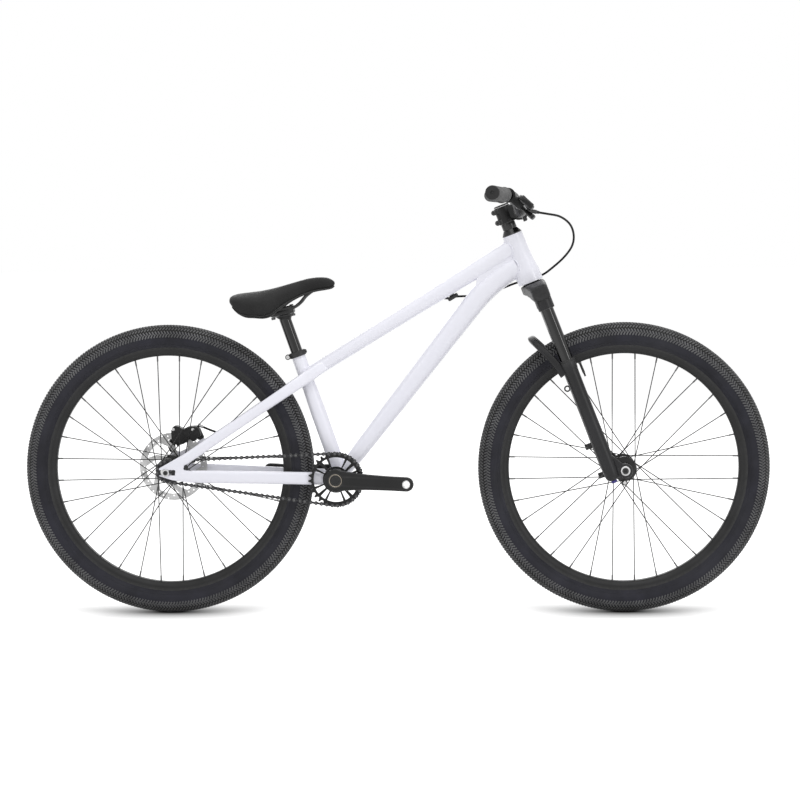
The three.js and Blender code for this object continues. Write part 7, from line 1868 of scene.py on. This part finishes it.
# %% Saddle sections
SADDLE_LENGTH = 247
SADDLE_TAIL_REACH = 112
SADDLE_WIDTH = 138
SADDLE_HEIGHT = 58
SADDLE_STATIONS = [0, 0.03, 0.065, 0.13, 0.21, 0.295, 0.37, 0.43, 0.555, 0.69, 0.805, 0.907, 0.963, 1]
SADDLE_WIDTHS = [0.62, 0.8, 0.88, 0.98, 1, 0.95, 0.84, 0.72, 0.47, 0.34, 0.29, 0.27, 0.21, 0.12]
SADDLE_TOPS = [0.95, 1.0, 0.995, 0.965, 0.935, 0.905, 0.9, 0.905, 0.94, 0.985, 1, 0.95, 0.85, 0.69]
SADDLE_SKIRTS = [1.3, 0.85, 0.45, 0.05, -0.14, -0.33, -0.28, 0, 0.47, 0.77, 0.86, 0.83, 0.85, 1.05]
SADDLE_SKIRT_DEPTH = 30
SADDLE_HALF_SECTION = [
    (0.9, 0.0), (0.985, 0.14), (1, 0.42), (0.94, 0.7), (0.74, 0.89), (0.38, 0.98), (0, 1),
]
PAD_CELL = 4.2
PAD_BULGE = 2.2
PAD_FRAMES = 14
PAD_PRESSURE = 4
PAD_STIFFNESS = 30


def station_value(values, share, size):
    marks = [Vector((s, v, 0)) for s, v in zip(SADDLE_STATIONS, values)]
    for i in range(len(marks) - 1):
        if share <= marks[i + 1].x or i == len(marks) - 2:
            before = marks[max(i - 1, 0)]
            after = marks[min(i + 2, len(marks) - 1)]
            a, b = marks[i], marks[i + 1]
            t = min(max((share - a.x) / (b.x - a.x), 0), 1)
            slope_a = (b.y - before.y) / (b.x - before.x) * (b.x - a.x)
            slope_b = (after.y - a.y) / (after.x - a.x) * (b.x - a.x)
            h = t * t * (3 - 2 * t)
            bend = t * (1 - t) ** 2 * slope_a - t * t * (1 - t) * slope_b
            return size * (a.y + (b.y - a.y) * h + bend)


def section_ring(share, inset=0.0, low=0.0):
    """One closed section of the saddle. inset draws it in, low raises its lower edge."""
    x = share * SADDLE_LENGTH - SADDLE_TAIL_REACH
    skirt = station_value(SADDLE_SKIRTS, share, SADDLE_SKIRT_DEPTH)
    height = station_value(SADDLE_TOPS, share, SADDLE_HEIGHT) - skirt
    half = station_value(SADDLE_WIDTHS, share, SADDLE_WIDTH / 2) - inset
    line = [(0.82, low + 0.05), *[(y, max(z, low)) for y, z in SADDLE_HALF_SECTION]]
    full = [Vector((0, y * half, skirt + z * height - inset * z)) for y, z in line]
    smooth = smooth_values(full, 18)
    return [Vector((x, p.y, p.z)) for p in smooth] + [Vector((x, -p.y, p.z)) for p in smooth[-2::-1]]

# %% Cushion
def bake_modifiers(thing):
    """The mesh as its modifiers leave it, kept as the object's own."""
    seen = thing.evaluated_get(bpy.context.evaluated_depsgraph_get())
    made = bpy.data.meshes.new_from_object(seen)
    thing.modifiers.clear()
    thing.data = made


def saddle_cushion():
    skin([section_ring(0.002 + 0.998 * i / 44, 0.5, 0.1) for i in range(45)])
    cushion = in_scene("saddle_cushion", mesh_of("saddle_cushion", AT_RAILS))
    remesh = cushion.modifiers.new("cells", "REMESH")
    remesh.mode = "VOXEL"
    remesh.voxel_size = PAD_CELL * MM
    bake_modifiers(cushion)
    before = [v.co.copy() for v in cushion.data.vertices]
    cloth = cushion.modifiers.new("cover", "CLOTH")
    cloth.settings.quality = 6
    cloth.settings.use_pressure = True
    cloth.settings.uniform_pressure_force = PAD_PRESSURE
    cloth.settings.tension_stiffness = PAD_STIFFNESS
    cloth.settings.compression_stiffness = PAD_STIFFNESS
    cloth.settings.effector_weights.gravity = 0
    cloth.collision_settings.use_collision = False
    for frame_number in range(1, PAD_FRAMES + 1):
        bpy.context.scene.frame_set(frame_number)
    bake_modifiers(cushion)
    furthest = 0
    for vertex, start in zip(cushion.data.vertices, before):
        move = vertex.co - start
        furthest = max(furthest, move.length)
        if move.length > PAD_BULGE * MM:
            vertex.co = start + move * (PAD_BULGE * MM / move.length)
    bpy.context.scene.frame_set(1)
    smoother = cushion.modifiers.new("smooth", "CORRECTIVE_SMOOTH")
    smoother.use_only_smooth = True
    smoother.iterations = 3
    finer = cushion.modifiers.new("finer", "SUBSURF")
    finer.levels = 1
    finer.render_levels = 1
    bake_modifiers(cushion)
    cushion.data.materials.clear()
    cushion.data.materials.append(saddle_leather)
    cushion.data.shade_smooth()
    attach(cushion, "seat")
    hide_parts("saddle")
    print("cushion", len(cushion.data.vertices), "points, moved up to", round(furthest / MM, 1), "mm")


saddle_cushion()

# %% Shell and seams
SHELL_THICKNESS = 2.4

rings = []
for i in range(45):
    share = 0.02 + 0.96 * i / 44
    x = share * SADDLE_LENGTH - SADDLE_TAIL_REACH
    skirt = station_value(SADDLE_SKIRTS, share, SADDLE_SKIRT_DEPTH)
    top = station_value(SADDLE_TOPS, share, SADDLE_HEIGHT)
    half = station_value(SADDLE_WIDTHS, share, SADDLE_WIDTH / 2)
    height = top - skirt
    edge = 0.89 * half
    ceiling = skirt + max(1 - 22 / height, 0.16) * height
    low = skirt + 0.02 * height
    line = [(-edge, low), (-edge + 3, low - 0.4), (-edge * 0.62, ceiling), (0, ceiling + 0.6),
            (edge * 0.62, ceiling), (edge - 3, low - 0.4), (edge, low)]
    upper = [(y, z + SHELL_THICKNESS) for y, z in line[::-1]]
    rings.append([Vector((x, y, z)) for y, z in line + upper])
skin(rings)
piece("saddle_shell_base", saddle_shell, "seat", AT_RAILS, sharp=50)
# A fine rolled hem where the cover turns in under the pad's edge, on each side.
for index in (-5, 4):
    marks = [section_ring(0.05 + 0.86 * i / 29, -0.4, 0.1)[index] for i in range(30)]
    round_rod(smooth_values(marks, 90), 0.9, 10)
piece("saddle_hems", saddle_shell, "seat", AT_RAILS)
print("saddle", SADDLE_LENGTH, "by", SADDLE_WIDTH, "mm")

# %% [markdown]
# ## Brake caliper
# The caliper is two forged halves that straddle the rotor, each with a piston boss, bolted to a tab
# on the seatstay. A bent fitting and a bolt bring the hose in at its back. Plates with bevels give the
# forging's flat sides.

# %% Caliper
CALIPER_ORIGIN = Vector((-504.4, 51.8, 408.8))
CALIPER_TILT = -23 * DEGREE
AT_CALIPER = place_at(CALIPER_ORIGIN, -CALIPER_TILT)
CALIPER_LENGTH = 88
CALIPER_HEIGHT = 54
TAB_NEAR = 5.5
TAB_FAR = 15.3
CALIPER_OUTLINE = [
    (-0.27, -0.1), (-0.18, -0.255), (-0.045, -0.32), (0.075, -0.28), (0.165, -0.22), (0.2, -0.37),
    (0.29, -0.4), (0.35, -0.3), (0.48, -0.29), (0.5, -0.03), (0.48, 0.17), (0.37, 0.245), (0.235, 0.3),
    (0.115, 0.27), (0.03, 0.45), (-0.04, 0.56), (-0.125, 0.56), (-0.21, 0.435), (-0.29, 0.1),
]
CALIPER_FEET = [
    (-0.5, -0.44), (-0.34, -0.44), (-0.3, -0.2), (0.28, -0.2), (0.34, -0.44), (0.5, -0.44), (0.5, 0.05),
    (0.3, 0.15), (-0.3, 0.15), (-0.5, -0.03),
]
BRAKE_TAB = [
    (-0.5, 0), (-0.34, 0), (-0.26, -0.45), (0.2, -0.3), (0.34, 0), (0.5, 0), (0.5, -0.9), (-0.2, -1.55),
    (-0.5, -1.25),
]


def caliper_outline(shares, radius):
    return smooth_outline([(x * CALIPER_LENGTH, z * CALIPER_HEIGHT) for x, z in shares], radius, 4)


outline = caliper_outline(CALIPER_OUTLINE, 4)
for low, high in ((-13, -2.6), (2.6, 13)):
    plate(outline, low, high, bevel=1.6)
bridge = [(x, z) for x, z in outline if z > 6]
plate(bridge, -3, 3, bevel=0.3)
for side in (-1, 1):
    boss = rounded([(0, 15.4), (11, 15.4), (12.5, 14.6), (14.6, 14.6), (16.3, 13.2), (16.3, 11)], 0.8, 2)
    turned([(r, side * y) for r, y in boss], "Y", (-8.8, 0, 0), 48)
piece("brake_caliper_forging", satin_black, "frame", AT_CALIPER, ["rear_brake_caliper"])
plate(caliper_outline(CALIPER_FEET, 3), TAB_NEAR, TAB_FAR, bevel=0.9)
piece("brake_caliper_feet", satin_black, "frame", AT_CALIPER)
for x in (-37, 37):
    socket_bolt((x, 10.4, -2 if x > 0 else -1.4), (0, 0, 1), 4.6, 4.4)
for x, z in ((30, 6), (-12, 24)):
    socket_bolt((x, -12.8, z), (0, -1, 0), 3.4, 1.6)
piece("brake_caliper_bolts", bright_steel, "frame", AT_CALIPER)
for side in (-1, 1):
    plate([(-22, -16), (8, -16), (10, 10), (-4, 22), (-20, 12)], side * 1.2, side * 2.5, bevel=0.2)
piece("brake_pads", dark_steel, "frame", AT_CALIPER)
seat = -0.44 * CALIPER_HEIGHT - 0.3
outline = smooth_outline([(x * CALIPER_LENGTH, seat + z * 16) for x, z in BRAKE_TAB], 3, 4)
plate(outline, TAB_NEAR, TAB_FAR, bevel=0.9)
piece("brake_mount_paint", frame_paint, "frame", AT_CALIPER, ["brake_mount"])
print("caliper tilted", round(-CALIPER_TILT / DEGREE), "degrees nose up")

# %% [markdown]
# ## Brake hose
# The hose is a real length of stiff plastic tube. Its first run hangs from the lever in a loop in
# front of the head tube, which has to bend when the bar turns; here it rides on no body. Its second
# run is held along the top tube and the left seatstay, and rides on the frame. Both are rods along
# smooth curves, and the loop's path and true length are worked out as well.

# %% Hose routes
HOSE_RADIUS = 2.5
HOSE_LOOP = [
    (318.7, -198, 929.4), (329.5, -191.5, 927.4), (346, -179, 924.6), (376.3, -145, 918.1),
    (399.6, -110, 900.8), (409.6, -75, 876.2), (407.2, -42, 851.1), (391.1, -12, 826), (364.6, 14, 800.6),
    (342.8, 33, 784.1), (313.4, 43, 772.6), (282.5, 46, 765.1), (242.3, 45, 750.3), (206.4, 40, 740.3),
    (178.5, 28.5, 736), (163.5, 20.8, 735.8), (154.5, 16.2, 735.8),
]
HOSE_ALONG_FRAME = [
    (154.2, 16, 735.7), (145.5, 11.6, 735.6), (134.6, 8.6, 734.3), (120.7, 16.5, 731.1),
    (104.7, 22.5, 731.9), (85.8, 23.8, 726.7), (41, 24.4, 701.3), (-38.7, 24.4, 652.3),
    (-108.4, 24.4, 609.5), (-150, 25, 589.5), (-170, 28.5, 576.5), (-190, 32.5, 562.9), (-215, 39, 546.1),
    (-240, 47.2, 529.6), (-290, 57.5, 496), (-340, 63.8, 463), (-385, 69.5, 433), (-405, 72.8, 421),
    (-418, 74.4, 415.8), (-428.1, 74, 416.6), (-437, 70, 420), (-446, 64.5, 424.3), (-455, 59.5, 429),
    (-463, 57.2, 433),
]


def hose(name, marks, replaced, steps):
    path = smooth_values(marks, steps)
    round_rod(path, HOSE_RADIUS, 16)
    mesh = mesh_of(name, WORLD)
    mesh.materials.append(hose_plastic)
    mesh.shade_smooth()
    made = in_scene(name, mesh)
    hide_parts(replaced)
    length = sum((b - a).length for a, b in zip(path, path[1:]))
    print(name, round(length), "mm")
    return made, [tuple(p * MM) for p in path], length * MM


loop, loop_path, loop_length = hose("brake_hose_loop_tube", HOSE_LOOP, "brake_hose_loop", 128)
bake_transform(loop)
held = hose("brake_hose_frame_tube", HOSE_ALONG_FRAME, "brake_hose_frame", 160)[0]
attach(held, "frame")

# %% Hose guide and fittings
def fitting(name, body, start, way, finish_of_it, reach=0):
    """A collar, a nut and a rubber sleeve where a hose goes in."""
    way = way.normalized()
    places = (-reach, 5, 5.2, 12.6, 13)
    radii = (4.6, 4.6, 3.6, 3.4, 3)
    round_rod([start + way * along for along in places], lambda share: radii[round(share * 4)], 20)
    piece(name, finish_of_it, body)


way = (TOP_TUBE_FRONT - TOP_TUBE_REAR).normalized()
upward = Vector((-way.z, 0, way.x))
at = Vector((134.6, 8.6, 734.3))
ends = ((-13, -4), (-11.6, -1), (-9, 0), (9, 0), (11.6, -1), (13, -4))
skin([oval(at + way * x, LEFT, upward, 10 + grow, 9.5 + grow, 2.6, 32) for x, grow in ends])
stalk = ((0, 0), (8, 0), (12, 1))
skin([oval(at + upward * z, way, LEFT, 12 + grow, 6 + grow, 4, 32) for z, grow in stalk])
piece("hose_guide_block", black_plastic, "frame", stands_for=["hose_guide"], sharp=40)
lever_end, lever_next = Vector(HOSE_LOOP[0]), Vector(HOSE_LOOP[1])
fitting("lever_hose_fitting", "steering", lever_end - (lever_next - lever_end).normalized() * 2,
        lever_next - lever_end, satin_black, 17)
caliper_end, before_end = Vector(HOSE_ALONG_FRAME[-1]), Vector(HOSE_ALONG_FRAME[-2])
fitting("caliper_hose_fitting", "frame", caliper_end + (caliper_end - before_end).normalized() * 6,
        before_end - caliper_end, bright_steel)

# Small bands that hold the hose to the top tube and the seatstay.
path = [Vector(m) for m in HOSE_ALONG_FRAME]
for index in (6, 7, 8, 13, 14, 15):
    at = path[index]
    way = (path[index + 1] - path[index - 1]).normalized()
    round_rod([at + way * x for x in (-4, -3.4, 3.4, 4)], 3.5, 20)
piece("hose_clips", black_plastic, "frame")
print("guide and fittings placed")
